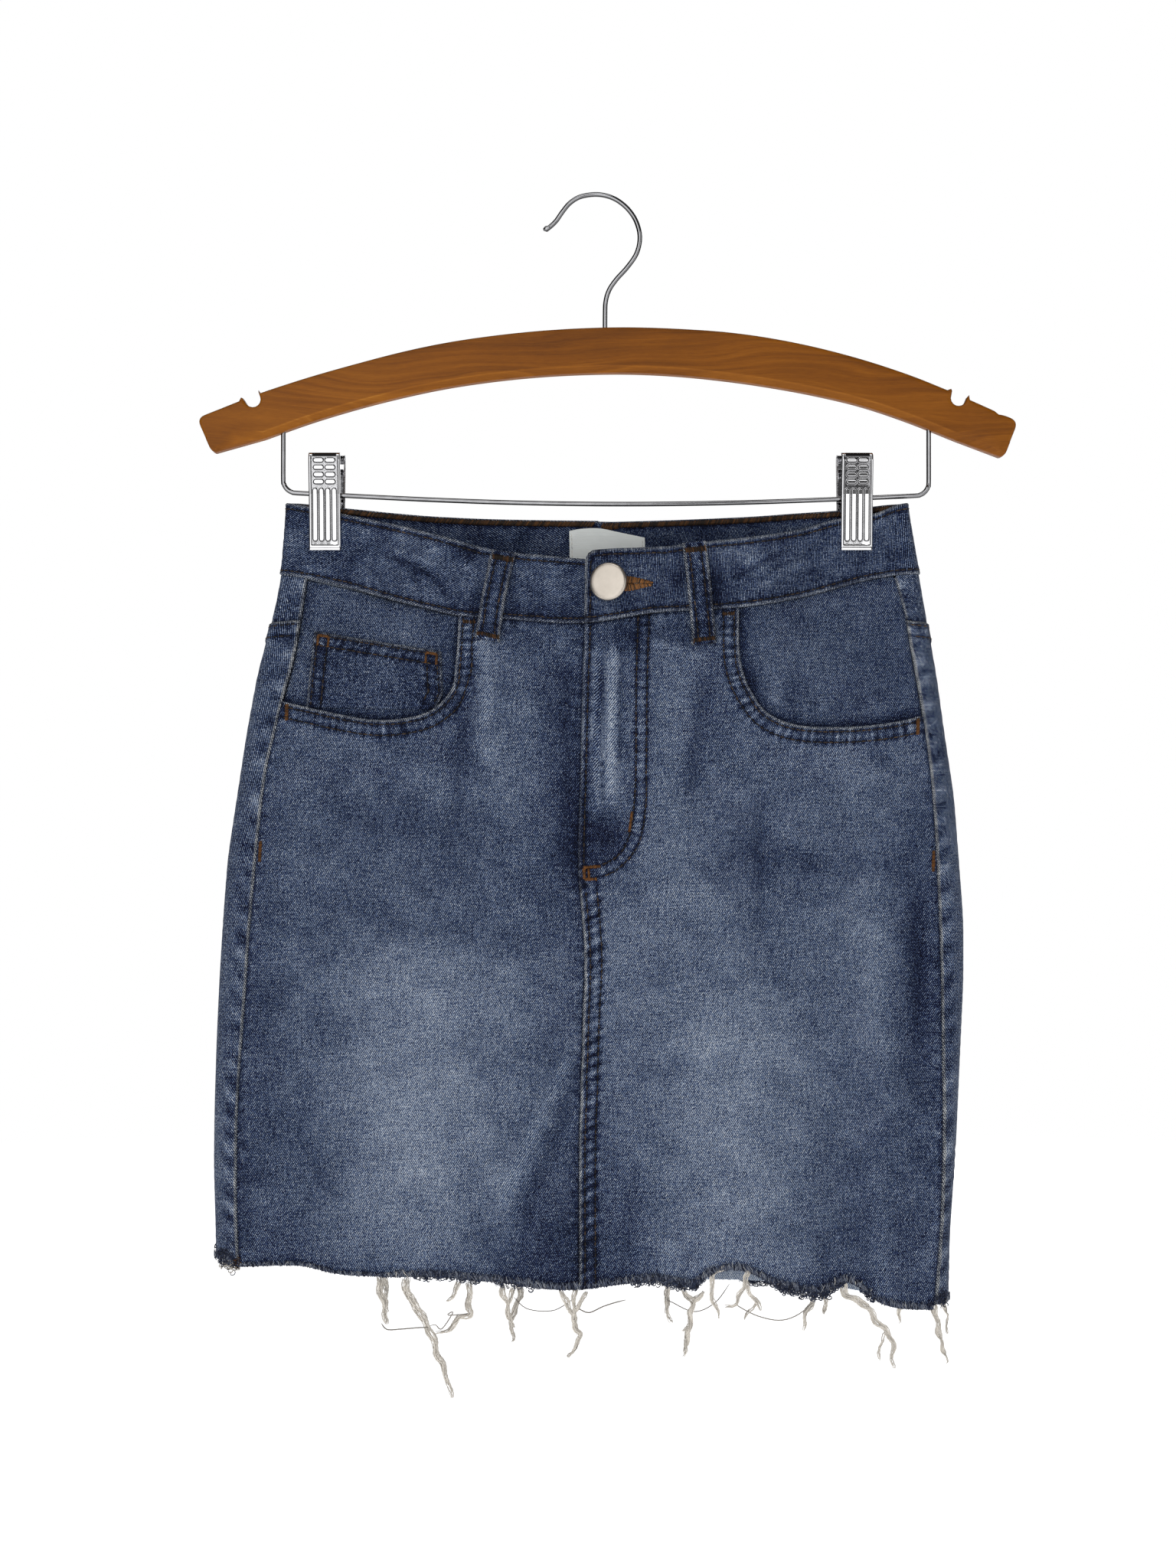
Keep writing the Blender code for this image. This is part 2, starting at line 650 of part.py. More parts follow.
def buttonhole():
    """Round eye under the button, with a slit towards the side."""
    half_angle = math.asin(SLIT_HALF / EYE_RADIUS)
    steps = 9
    points = [(SLIT_END_X, BUTTON_DROP + SLIT_HALF)]
    for step in range(steps + 1):
        angle = half_angle + (2 * math.pi - 2 * half_angle) * step / steps
        points.append((BUTTON_X + EYE_RADIUS * math.cos(angle), BUTTON_DROP + EYE_RADIUS * math.sin(angle)))
    points.append((SLIT_END_X, BUTTON_DROP - SLIT_HALF))
    return [front(x, drop) for x, drop in points]


def waistband(where):
    lift = BAND + GAP
    top_back = chart(BAND_TOP_BACK, back)
    centre_row, side_row = row_of(BAND_TOP_CENTRE_BACK), row_of(BAND_TOP_SIDE)
    end = front(UNDERLAP_X, BUTTON_DROP)[0]
    top = [(-2 * QUARTER, centre_row), (-QUARTER, side_row)] + one_half(top_back, -1)
    top = sorted(top + chart(BAND_TOP_LEFT, front)) + [(end, row_of(UNDERLAP_CORNER))]
    outline = top + list(reversed(along_band(-2 * QUARTER, end)))
    cut_piece("waistband_left", outline, BAND_IN, BAND_OUT, "denim", where)

    end = front(CENTRE_X, BUTTON_DROP)[0]
    top = [(2 * QUARTER, centre_row), (QUARTER, side_row)] + one_half(top_back, 1)
    top = [(end, row_of(OVERLAP_CORNER))] + sorted(top + chart(BAND_TOP_RIGHT, front))
    outline = top + list(reversed(along_band(end, 2 * QUARTER)))
    creases = [((u, row_of(ROW_TOP)), (u, row_of(YOKE_SIDE))) for u in (LAP_FLAT, LAP_END)]
    cut_piece(
        "waistband_right", outline,
        lambda u, v: BAND_IN + lift * lap(u, v), lambda u, v: BAND_OUT + lift * lap(u, v),
        "denim", where, hole=buttonhole(), creases=creases,
    )


def fronts(where):
    centre = on_front(seam(CENTRE_FRONT))
    hem = chart(FRONT_HEM, front, HEM_SPACING)
    middle = front(CENTRE_FRONT[-1][0], FRONT_HEM[7][1])
    centre = [point for point in centre if point[1] < middle[1] - 0.05] + [middle]
    centre[0] = (centre[0][0], lookup(BAND_BOTTOM, centre[0][0], 1))

    pocket = meets_band(chart(POCKET_LEFT, front, 9.0))
    side = on_front(seam(SIDE_SEAM_LEFT, POCKET_LEFT[0][1]))
    outline = pocket + along_band(pocket[-1][0], centre[0][0])[1:-1] + centre
    outline += [point for point in reversed(hem) if point[0] < middle[0] - 0.1]
    outline += list(reversed(side))[1:-1]
    cut_piece("front_left", outline, 0.0, DENIM, "denim", where)

    pocket = chart(POCKET_RIGHT, front, 9.0)
    pocket[0] = (pocket[0][0], lookup(BAND_BOTTOM, pocket[0][0], 1))
    side = on_front(seam(SIDE_SEAM_RIGHT, POCKET_RIGHT[-1][1]))
    outline = along_band(centre[0][0], pocket[0][0])[:-1] + pocket + side[1:-1]
    outline += [point for point in reversed(hem) if point[0] > middle[0] + 0.1]
    outline += list(reversed(centre))[:-1]
    cut_piece("front_right", outline, 0.0, DENIM, "denim", where)


def moved_out(path, distance):
    """A path moved to its left by a real distance, as seen with drop running down."""
    moved = []
    for index, (x, drop) in enumerate(path):
        ahead = Vector(path[min(index + 1, len(path) - 1)])
        behind = Vector(path[max(index - 1, 0)])
        along = (ahead - behind).normalized()
        moved.append((x - along.y * distance, drop + along.x * distance))
    return moved


def pocket_facings(where):
    """The denim behind each pocket opening, which runs on under the front."""
    lower = meets_band(on_front(moved_out(smooth_path(POCKET_LEFT, 10.0), FACING_REACH)))
    side = on_front(seam(SIDE_SEAM_LEFT, BAND_BOTTOM_SIDE + 2, POCKET_LEFT[0][1] + FACING_REACH))
    start = side[0][0]
    outline = along_band(start, lower[-1][0]) + list(reversed(lower))[1:-1] + list(reversed(side))[:-1]
    coin_layer = UNDER - GAP - DENIM
    cut_piece("pocket_facing_left", outline, coin_layer, coin_layer + DENIM, "denim", where)

    lower = on_front(moved_out(smooth_path(POCKET_RIGHT, 10.0), FACING_REACH))
    lower[0] = (lower[0][0], lookup(BAND_BOTTOM, lower[0][0], 1))
    side = on_front(seam(SIDE_SEAM_RIGHT, BAND_BOTTOM_SIDE + 2, POCKET_RIGHT[-1][1] + FACING_REACH))
    start = side[0][0]
    outline = along_band(lower[0][0], start) + side[1:] + list(reversed(lower))[1:-1]
    cut_piece("pocket_facing_right", outline, UNDER, UNDER + DENIM, "denim", where)
    cut_piece("coin_pocket", on_front(COIN_POCKET), UNDER, UNDER + DENIM, "denim", where)


def backs(where):
    for side, word, table in ((-1, "left", SIDE_SEAM_LEFT), (1, "right", SIDE_SEAM_RIGHT)):
        yoke = yoke_seam(side)
        top = [point for point in BAND_BOTTOM if side * point[0] > 0]
        side_top = on_front(seam(table, BAND_BOTTOM_SIDE + 2, YOKE_SIDE))
        start = side_top[0][0]
        ends = (start, 2 * QUARTER) if side > 0 else (-2 * QUARTER, start)
        top = along_band(*ends)
        if side < 0:
            top = list(reversed(top))
        outline = top + list(reversed(yoke))[:-1] + list(reversed(side_top))[:-1]
        cut_piece("yoke_" + word, outline, 0.0, DENIM, "denim", where)
        side_low = on_front(seam(table, YOKE_SIDE))
        outline = yoke + list(reversed(hem_line(side)))[:-1] + list(reversed(side_low))[:-1]
        cut_piece("back_" + word, outline, 0.0, DENIM, "denim", where)
        middle = side * BACK_POCKET_X
        pocket = [back_across(middle + across, BACK_POCKET_DROP + down) for across, down in BACK_POCKET]
        lift = DENIM + GAP
        cut_piece("back_pocket_" + word, pocket, lift, lift + DENIM, "denim", where)


def belt_loops(where):
    """Strips that lie on the waistband at both ends and stand off it between them."""
    for place, rows in ((front, LOOPS_FRONT), (back_across, LOOPS_BACK)):
        for name, top_x, top_drop, low_x, low_drop in rows:
            half = LOOP_WIDTH / 2
            outline = [
                place(top_x - half, top_drop), place(top_x + half, top_drop),
                place(low_x + half, low_drop), place(low_x - half, low_drop),
            ]
            low_row, top_row = row_of(low_drop), row_of(top_drop)
            levels = [top_row + (low_row - top_row) * part for part in (0.12, 0.3, 0.5, 0.7, 0.88)]
            columns = [u for u, _ in outline]
            reach = (min(columns) - 0.2, max(columns) + 0.2)
            creases = [((reach[0], level), (reach[1], level)) for level in levels]

            def stand(u, v, top_row=top_row, low_row=low_row):
                part = min(max((v - top_row) / (low_row - top_row), 0.0), 1.0)
                return BAND_OUT + GAP + LOOP_STAND * math.sin(part * math.pi) ** 0.7

            cut_piece(
                name, outline, stand, lambda u, v: stand(u, v) + DENIM + 0.4, "denim", where, creases=creases,
            )


def closures(where):
    zip_inner = UNDER
    cut_piece("fly_zip", on_front(FLY_ZIP), zip_inner, -GAP, "zip", where)
    shield_outer = zip_inner - GAP
    cut_piece("fly_shield", on_front(FLY_SHIELD), shield_outer - DENIM, shield_outer, "denim_dark", where)
    label = [back_across(x, drop) for x, drop in LABEL]
    cut_piece("label", label, BAND_IN - GAP - SATIN, BAND_IN - GAP, "satin", where)


# ---- Raw hem ---------------------------------------------------------------------------------------
def station(path, distance):
    """Lattice place at a real distance along a path on the lattice."""
    left = distance
    for start, end in zip(path, path[1:]):
        length = (LATTICE.at(*end, 0) - LATTICE.at(*start, 0)).length
        if left <= length:
            part = left / length
            return start[0] + part * (end[0] - start[0]), start[1] + part * (end[1] - start[1])
        left -= length
    return path[-1]


def path_length(path):
    return sum((LATTICE.at(*b, 0) - LATTICE.at(*a, 0)).length for a, b in zip(path, path[1:]))


def grow_thread(work, root, spine, widths):
    """Four sides grown from a face of the strip, along a spine of offsets, to a point."""
    ring = list(root.verts)
    middle = root.calc_center_median()
    work.faces.remove(root)
    shape = [vert.co - middle for vert in ring]
    for offset, width in zip(spine[:-1], widths[:-1]):
        new_ring = [work.verts.new(middle + offset + corner * width) for corner in shape]
        for index in range(4):
            after = (index + 1) % 4
            work.faces.new([ring[index], ring[after], new_ring[after], new_ring[index]])
        ring = new_ring
    tip = work.verts.new(middle + spine[-1])
    for index in range(4):
        work.faces.new([ring[index], ring[(index + 1) % 4], tip])


def bundle_roots(path, total, bundles, place):
    """Distance along the path, width and row of each bundle of loose warp threads."""
    roots = []
    for x, tip_x, tip_drop, bow, width in bundles:
        target = place(x, HEM_DROP)[0]
        steps = range(math.ceil(2 * STRIP_ENDS), int(total - STRIP_ENDS))
        nearest = min(steps, key=lambda distance: abs(station(path, distance)[0] - target))
        roots.append((nearest, width, (x, tip_x, tip_drop, bow)))
    return roots


def thread_roots(total, taken, chance):
    """The same for the short threads, which keep clear of the bundles."""
    roots, distance = [], FIRST_THREAD
    while distance < total - 3 * STRIP_ENDS:
        if all(abs(distance - other) > THREAD_PITCH * 0.55 for other in taken):
            roots.append((distance, ROOT_WIDTH, None))
        distance += THREAD_PITCH * chance.uniform(0.75, 1.25)
    return roots


def thread_spine(bundle, root_height, chance):
    """Offsets from its root, and widths, of one thread or bundle."""
    if bundle is None:
        length, lean = chance.uniform(*THREAD_LENGTHS), chance.uniform(-THREAD_LEAN, THREAD_LEAN)
        return [Vector((lean * 0.4, 0, -length / 2)), Vector((lean, 0, -length))], (THREAD_TAPER, 0)
    x, tip_x, tip_drop, bow = bundle
    fall = tip_drop + root_height
    steps = max(3, round(fall / BUNDLE_STEP))
    spine, widths = [], []
    for step in range(1, steps + 1):
        part = step / steps
        sway = (tip_x - x) * part + bow * math.sin(part * math.pi)
        spine.append(Vector((sway, 0, -fall * part)))
        widths.append(1.0 - BUNDLE_TAPER * part)
    return spine, widths


def frayed_strip(name, path, bundles, place, where):
    """A strip just below the cloth's edge, with loose threads hanging from it."""
    chance = random.Random(THREAD_SEED + len(bundles))
    total = path_length(path)
    roots = bundle_roots(path, total, bundles, place)
    roots += thread_roots(total, [distance for distance, _, _ in roots], chance)
    roots.sort(key=lambda root: root[0])

    stops = [STRIP_ENDS, total - STRIP_ENDS]
    threads = {}
    for distance, width, bundle in roots:
        stops += [distance - width / 2, distance + width / 2]
        threads[distance - width / 2] = bundle
    for index in range(1, len(path) - 1):
        corner = path_length(path[: index + 1])
        clear = all(abs(corner - root[0]) > root[1] / 2 + ROOT_CLEAR for root in roots)
        if clear and STRIP_ENDS + 1 < corner < total - STRIP_ENDS - 1:
            stops.append(corner)
    stops.sort()

    work = bmesh.new()
    inner, outer = (DENIM - STRIP_WALL) / 2, (DENIM + STRIP_WALL) / 2
    rings = []
    for stop in stops:
        u, v = station(path, stop)
        top, low = v + GAP / ROW_STEP, v + (GAP + STRIP_HEIGHT) / ROW_STEP
        corners = [(top, outer), (low, outer), (low, inner), (top, inner)]
        rings.append([work.verts.new(LATTICE.at(u, row, out) * MM) for row, out in corners])
    for stop, one, two in zip(stops, rings, rings[1:]):
        for side in range(4):
            after = (side + 1) % 4
            face = work.faces.new([one[side], one[after], two[after], two[side]])
            if side == 1 and stop in threads:
                spine, widths = thread_spine(threads[stop], face.calc_center_median().z / MM, chance)
                grow_thread(work, face, [offset * MM for offset in spine], widths)
    work.faces.new(rings[0][::-1])
    work.faces.new(rings[-1])
    bmesh.ops.triangulate(work, faces=work.faces)
    return mesh_object(name, work, "thread", where)


def raw_hem(where):
    frayed_strip("hem_fray_front", chart(FRONT_HEM, front, HEM_SPACING), FRONT_BUNDLES, front, where)
    unrolled = [(u + ROUND, v) for u, v in reversed(hem_line(-1))]
    frayed_strip("hem_fray_back", hem_line(1) + unrolled[1:], BACK_BUNDLES, back_across, where)


# ---- Button ----------------------------------------------------------------------------------------
def button(where):
    """A domed jeans button: a turned head on a shank that passes through the buttonhole."""
    u, v = front(BUTTON_X, BUTTON_DROP)
    band_top = BAND_OUT + BAND + GAP
    foot = GAP + SHANK_RADIUS * math.sin(math.radians(abs(BUTTON_TILT)))
    base = LATTICE.at(u, v, BAND_OUT + foot)
    outward = (LATTICE.at(u, v, 1.0) - LATTICE.at(u, v, 0.0)).normalized()
    neck = band_top - BAND_OUT - foot + BUTTON_STAND
    profile = (
        # radius, height above the shank's foot
        (0.0, neck + BUTTON_HEIGHT), (BUTTON_RADIUS * 0.55, neck + BUTTON_HEIGHT - 0.2),
        (BUTTON_RADIUS * 0.88, neck + BUTTON_HEIGHT - 0.7), (BUTTON_RADIUS, neck + BUTTON_HEIGHT - 1.5),
        (BUTTON_RADIUS, neck + 0.6), (BUTTON_RADIUS * 0.93, neck), (SHANK_RADIUS, neck - 0.3),
        (SHANK_RADIUS, 0.0), (0.0, 0.0),
    )
    work = bmesh.new()
    ring = [work.verts.new((radius * MM, 0, height * MM)) for radius, height in profile]
    for one, two in zip(ring, ring[1:]):
        work.edges.new((one, two))
    mesh = bpy.data.meshes.new("button")
    work.to_mesh(mesh)
    work.free()
    made = add_object("button", mesh, "nickel", where)
    screw = made.modifiers.new("turn", "SCREW")
    screw.axis = "Z"
    screw.steps = screw.render_steps = 24
    screw.use_merge_vertices = True
    screw.merge_threshold = 0.00002
    screw.use_normal_calculate = True
    made.rotation_mode = "QUATERNION"
    lean = Quaternion((0, 0, 1), math.radians(BUTTON_TILT))
    made.rotation_quaternion = lean @ outward.to_track_quat("Z", "Y")
    made.location = base * MM


# ---- Hanger ----------------------------------------------------------------------------------------
def wire(name, points, where, finish="chrome", thickness=WIRE):
    """A round wire through points given as x, drop and relative thickness."""
    data = bpy.data.curves.new(name, "CURVE")
    data.dimensions = "3D"
    data.bevel_depth = thickness / 2 * MM
    data.bevel_resolution = 2
    data.use_fill_caps = True
    spline = data.splines.new("POLY")
    spline.points.add(len(points) - 1)
    for point, (x, drop, width) in zip(spline.points, points):
        point.co = (x * MM, 0, -drop * MM, 1)
        point.radius = width
    return add_object(name, data, finish, where)


def as_mesh(item):
    """The curve as a mesh object with its caps welded on."""
    graph = bpy.context.evaluated_depsgraph_get()
    mesh = bpy.data.meshes.new_from_object(item.evaluated_get(graph))
    name, finish = item.name, item.data.materials[0].name
    where, place = item.users_collection[0], item.matrix_world.copy()
    bpy.data.objects.remove(item, do_unlink=True)
    work = bmesh.new()
    work.from_mesh(mesh)
    bmesh.ops.remove_doubles(work, verts=work.verts, dist=0.00001)
    mesh.materials.clear()
    made = mesh_object(name, work, finish, where)
    made.matrix_world = place
    return made


def cutter(name, radius, top, bottom, x, where):
    """An upright cylinder at x that cuts a bore between two heights."""
    work = bmesh.new()
    bmesh.ops.create_cone(
        work, cap_ends=True, segments=16, radius1=radius * MM, radius2=radius * MM, depth=(bottom - top) * MM,
    )
    made = mesh_object(name, work, "wood", where)
    made.location = (x * MM, 0, -(top + bottom) / 2 * MM)
    made.hide_render = True
    made.display_type = "WIRE"
    return made


def notched_top():
    """The arm's upper edge with a round-bottomed strap notch near each end."""
    half = NOTCH_WIDTH / 2
    shape = (
        # across, down
        (-half, NOTCH_LIP), (-half, NOTCH_DEPTH - half), (-half * 0.7, NOTCH_DEPTH - half * 0.3),
        (0, NOTCH_DEPTH), (half * 0.7, NOTCH_DEPTH - half * 0.3), (half, NOTCH_DEPTH - half),
        (half, NOTCH_LIP),
    )
    path = []
    for (x, drop), (next_x, _) in zip(ARM_TOP, ARM_TOP[1:]):
        path.append((x, drop))
        for notch_x, mouth, tilt in NOTCHES:
            if x < notch_x < next_x:
                along, down = math.cos(math.radians(tilt)), math.sin(math.radians(tilt))
                path += [(notch_x + a * along + d * down, mouth - a * down + d * along) for a, d in shape]
    return path + [ARM_TOP[-1]]


def hanger_arm(where, cutters):
    outline = notched_top() + list(ARM_BOTTOM)
    data = bpy.data.curves.new("hanger_arm", "CURVE")
    data.dimensions = "2D"
    data.fill_mode = "BOTH"
    data.extrude = (ARM_THICK / 2 - ARM_EDGE) * MM
    data.bevel_depth = ARM_EDGE * MM
    data.offset = -ARM_EDGE * MM
    data.bevel_resolution = 0
    spline = data.splines.new("POLY")
    spline.points.add(len(outline) - 1)
    for point, (x, drop) in zip(spline.points, outline):
        point.co = (x * MM, -drop * MM, 0, 1)
    spline.use_cyclic_u = True
    arm = add_object("hanger_arm", data, "wood", where)
    arm.rotation_euler = (math.pi / 2, 0, 0)
    bpy.context.view_layer.update()
    arm = as_mesh(arm)
    bores = [cutter("hook_bore", WIRE / 2 + GAP, 60.0, HOOK_HOLE_BOTTOM, HOOK_STEM_X, cutters)]
    for index, (x, top) in enumerate(zip(LEG_X, LEG_TOP)):
        bores.append(cutter("leg_bore_%d" % index, WIRE / 2 + GAP, top - GAP, 150.0, x, cutters))
    for bore in bores:
        cut = arm.modifiers.new(bore.name, "BOOLEAN")
        cut.operation = "DIFFERENCE"
        cut.object = bore
        cut.solver = "EXACT"
    return arm


def hanger_hook(where):
    return wire("hanger_hook", smooth_path(HOOK_ROUTE, 5.5), where)


def bar_drop(x):
    """The sagging bar's height at x."""
    part = (x - LEG_X[0]) / (LEG_X[1] - LEG_X[0])
    straight = BAR_ENDS[0] + (BAR_ENDS[1] - BAR_ENDS[0]) * part
    return straight + BAR_SAG * math.sin(part * math.pi)


def bar_slope(x):
    return math.atan2(bar_drop(x + 1) - bar_drop(x - 1), 2)


def clip_bar(where):
    """A wire that comes down from the arm, turns, and runs across to the other side."""
    points = [(LEG_X[0], LEG_TOP[0], 1.0)]
    corners = 5
    for index in range(corners):
        angle = math.pi + (index / (corners - 1)) * math.pi / 2
        x = LEG_X[0] + BEND + BEND * math.cos(angle)
        points.append((x, bar_drop(LEG_X[0] + BEND) - BEND - BEND * math.sin(angle), 1.0))
    for index in range(1, BAR_POINTS):
        x = LEG_X[0] + BEND + (LEG_X[1] - LEG_X[0] - 2 * BEND) * index / BAR_POINTS
        points.append((x, bar_drop(x), 1.0))
    for index in range(corners):
        angle = -math.pi / 2 + (index / (corners - 1)) * math.pi / 2
        x = LEG_X[1] - BEND + BEND * math.cos(angle)
        points.append((x, bar_drop(LEG_X[1] - BEND) - BEND - BEND * math.sin(angle), 1.0))
    points.append((LEG_X[1], LEG_TOP[1], 1.0))
    return wire("clip_bar", points, where)


def jaw_section(side):
    """Side view of a jaw's pressed sheet as depth and height, inner face then outer face."""
    inner = [(side * away, -(JAW_TOP + drop)) for drop, away in JAW_PROFILE]
    outer = [(side * (away + JAW_SHEET), -(JAW_TOP + drop)) for drop, away in reversed(JAW_PROFILE)]
    return inner + outer


def jaw(name, x, side, where):
    """A pressed jaw. The front one has two ears that turn back past the bar."""
    profile = jaw_section(side)
    half = JAW_WIDTH / 2
    work = bmesh.new()
    rings = []
    for offset in (-half, -half + EAR_SHEET, half - EAR_SHEET, half):
        rings.append([work.verts.new(((x + offset) * MM, y * MM, z * MM)) for y, z in profile])
    ears = []
    for strip, (one, two) in enumerate(zip(rings, rings[1:])):
        for index in range(len(profile)):
            after = (index + 1) % len(profile)
            face = work.faces.new([one[index], one[after], two[after], two[index]])
            if side < 0 and strip != 1 and EAR_STEPS[0] <= index < EAR_STEPS[1]:
                ears.append(face)
    work.faces.new(rings[0][::-1])
    work.faces.new(rings[-1])
    bmesh.ops.recalc_face_normals(work, faces=work.faces)
    if ears:
        grown = bmesh.ops.extrude_face_region(work, geom=ears)["geom"]
        for vert in (item for item in grown if isinstance(item, bmesh.types.BMVert)):
            vert.co.y = EAR_REACH * MM
        bmesh.ops.delete(work, geom=ears, context="FACES")
    bmesh.ops.triangulate(work, faces=work.faces)
    return mesh_object(name, work, "chrome", where, 40)


def bore_ears(front_jaw, x, cutters):
    """The holes in a front jaw's ears, through which the bar passes."""
    bore = cutter("ear_bore_%d" % round(x), WIRE / 2 + GAP + 0.15, -JAW_WIDTH, JAW_WIDTH, x, cutters)
    bore.rotation_euler = (0, math.pi / 2 + bar_slope(x), 0)
    bore.location = (x * MM, 0, -bar_drop(x) * MM)
    cut = front_jaw.modifiers.new("ear bore", "BOOLEAN")
    cut.operation = "DIFFERENCE"
    cut.object = bore
    cut.solver = "EXACT"


def spring(name, x, where):
    """The coil round the bar between the jaws, as a bored sleeve."""
    profile = (
        # radius, distance along the bar
        (SPRING_RADIUS, SPRING_LENGTH / 2), (SPRING_RADIUS, -SPRING_LENGTH / 2),
        (SPRING_BORE, -SPRING_LENGTH / 2), (SPRING_BORE, SPRING_LENGTH / 2),
    )
    work = bmesh.new()
    ring = [work.verts.new((radius * MM, 0, along * MM)) for radius, along in profile]
    for one, two in zip(ring, ring[1:] + ring[:1]):
        work.edges.new((one, two))
    mesh = bpy.data.meshes.new(name)
    work.to_mesh(mesh)
    work.free()
    made = add_object(name, mesh, "chrome", where)
    screw = made.modifiers.new("turn", "SCREW")
    screw.axis = "Z"
    screw.steps = screw.render_steps = 20
    screw.use_merge_vertices = True
    screw.merge_threshold = 0.00002
    made.rotation_euler = (0, math.pi / 2 + bar_slope(x), 0)
    made.location = (x * MM, 0, -bar_drop(x) * MM)


def clips(where, cutters):
    for word, x in zip(("left", "right"), CLIP_X):
        bore_ears(jaw("clip_%s_front" % word, x, -1, where), x, cutters)
        jaw("clip_%s_back" % word, x, 1, where)
        spring("clip_%s_spring" % word, x, where)


def main():
    clear_scene()
    parts = new_collection(NAME)
    cutters = new_collection("cutters")
    waistband(parts)
    fronts(parts)
    pocket_facings(parts)
    backs(parts)
    belt_loops(parts)
    closures(parts)
    raw_hem(parts)
    button(parts)
    hanger_arm(parts, cutters)
    hanger_hook(parts)
    clip_bar(parts)
    clips(parts, cutters)


main()
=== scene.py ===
"""Looks for a raw-hemmed denim skirt that hangs from a wooden clip hanger.

Tables are in millimetres. X runs to the viewer's right, DROP runs down from the inside of the hook's
crown, and the front of the skirt faces -Y. Cloth is laid out on two flat charts, one centred on the
front and one on the back. A chart place is (p, d): p is the distance round the tube from the chart's
centre line, and d is the drop.
"""

import math

import bpy
import numpy as np
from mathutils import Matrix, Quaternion, Vector
from mathutils.geometry import delaunay_2d_cdt
from mathutils.kdtree import KDTree


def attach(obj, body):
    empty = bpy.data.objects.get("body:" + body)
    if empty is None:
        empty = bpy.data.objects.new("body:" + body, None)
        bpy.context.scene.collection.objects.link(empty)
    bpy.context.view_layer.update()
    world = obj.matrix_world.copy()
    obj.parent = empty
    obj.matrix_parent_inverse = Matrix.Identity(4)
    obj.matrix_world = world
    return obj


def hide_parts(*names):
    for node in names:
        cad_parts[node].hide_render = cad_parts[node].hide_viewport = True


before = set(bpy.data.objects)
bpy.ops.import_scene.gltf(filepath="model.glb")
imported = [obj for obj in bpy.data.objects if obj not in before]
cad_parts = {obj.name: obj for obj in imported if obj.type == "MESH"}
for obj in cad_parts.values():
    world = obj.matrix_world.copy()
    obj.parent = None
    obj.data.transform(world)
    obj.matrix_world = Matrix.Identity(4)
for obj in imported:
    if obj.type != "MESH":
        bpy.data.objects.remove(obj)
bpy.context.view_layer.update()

MM = 0.001
FRONT, BACK = 1, -1

# ---- Shape of the tube, repeated from the part ------------------------------------------------------
SECTIONS = np.array((
    # drop, left, right, front depth, back depth
    (157, -163.5, 166.5, 12, 8), (165, -164.0, 167.0, 13, 9), (203, -167.0, 173.5, 15, 11),
    (224, -171.0, 177.0, 17, 13), (257, -180.0, 183.0, 20, 16), (290, -186.0, 187.5, 22, 18),
    (323, -191.0, 192.5, 22, 20), (356, -196.0, 195.0, 22, 21), (389, -198.5, 197.5, 22, 22),
    (422, -200.5, 197.5, 22, 22), (455, -202.0, 196.0, 22, 22), (488, -203.0, 194.5, 22, 22),
    (521, -203.5, 193.0, 23, 23), (554, -202.5, 190.5, 24, 24), (610, -202.0, 189.0, 24, 24),
))
WAIST_ROLL, HEM_ROLL, ROLL_GROWS_OVER = 6.5, 10.0, 160.0
BAND_BOTTOM_SIDE = 203.6
CLIP_X = (-144.5, 141.0)
GRIP_DEPTH, GRIP_BOTTOM, FADE_BELOW = 1.2, 201.0, 62.0
GRIP_INNER, GRIP_OUTER, FADE_INNER, FADE_OUTER = 18.0, 14.0, 42.0, 17.0

FOLDS = {
    # x0, drop0, x1, drop1, half width, height
    FRONT: (
        (-17, 262, -16, 405, 20, -2.4), (-74, 268, -68, 345, 20, -2.6), (62, 262, 55, 318, 20, -2.2),
        (88, 330, 86, 400, 22, -2.0), (170, 372, 172, 470, 20, -3.0), (-172, 420, -176, 520, 20, -2.2),
        (-100, 400, -98, 560, 48, 3.6), (74, 395, 78, 560, 48, 3.6), (-6, 450, -8, 610, 34, -4.5),
        (-46, 470, -20, 560, 20, 1.6), (130, 480, 138, 610, 24, -3.2), (-150, 500, -152, 610, 22, -2.6),
    ),
    BACK: (
        (0, 300, -2, 420, 24, -2.6), (-96, 330, -92, 450, 46, 3.4), (94, 325, 90, 445, 46, 3.4),
        (-60, 450, -50, 610, 26, -3.0), (48, 440, 62, 610, 26, -3.4), (150, 400, 146, 560, 24, -2.6),
        (-156, 410, -150, 560, 24, -2.4), (6, 500, 4, 610, 28, 2.6),
    ),
}
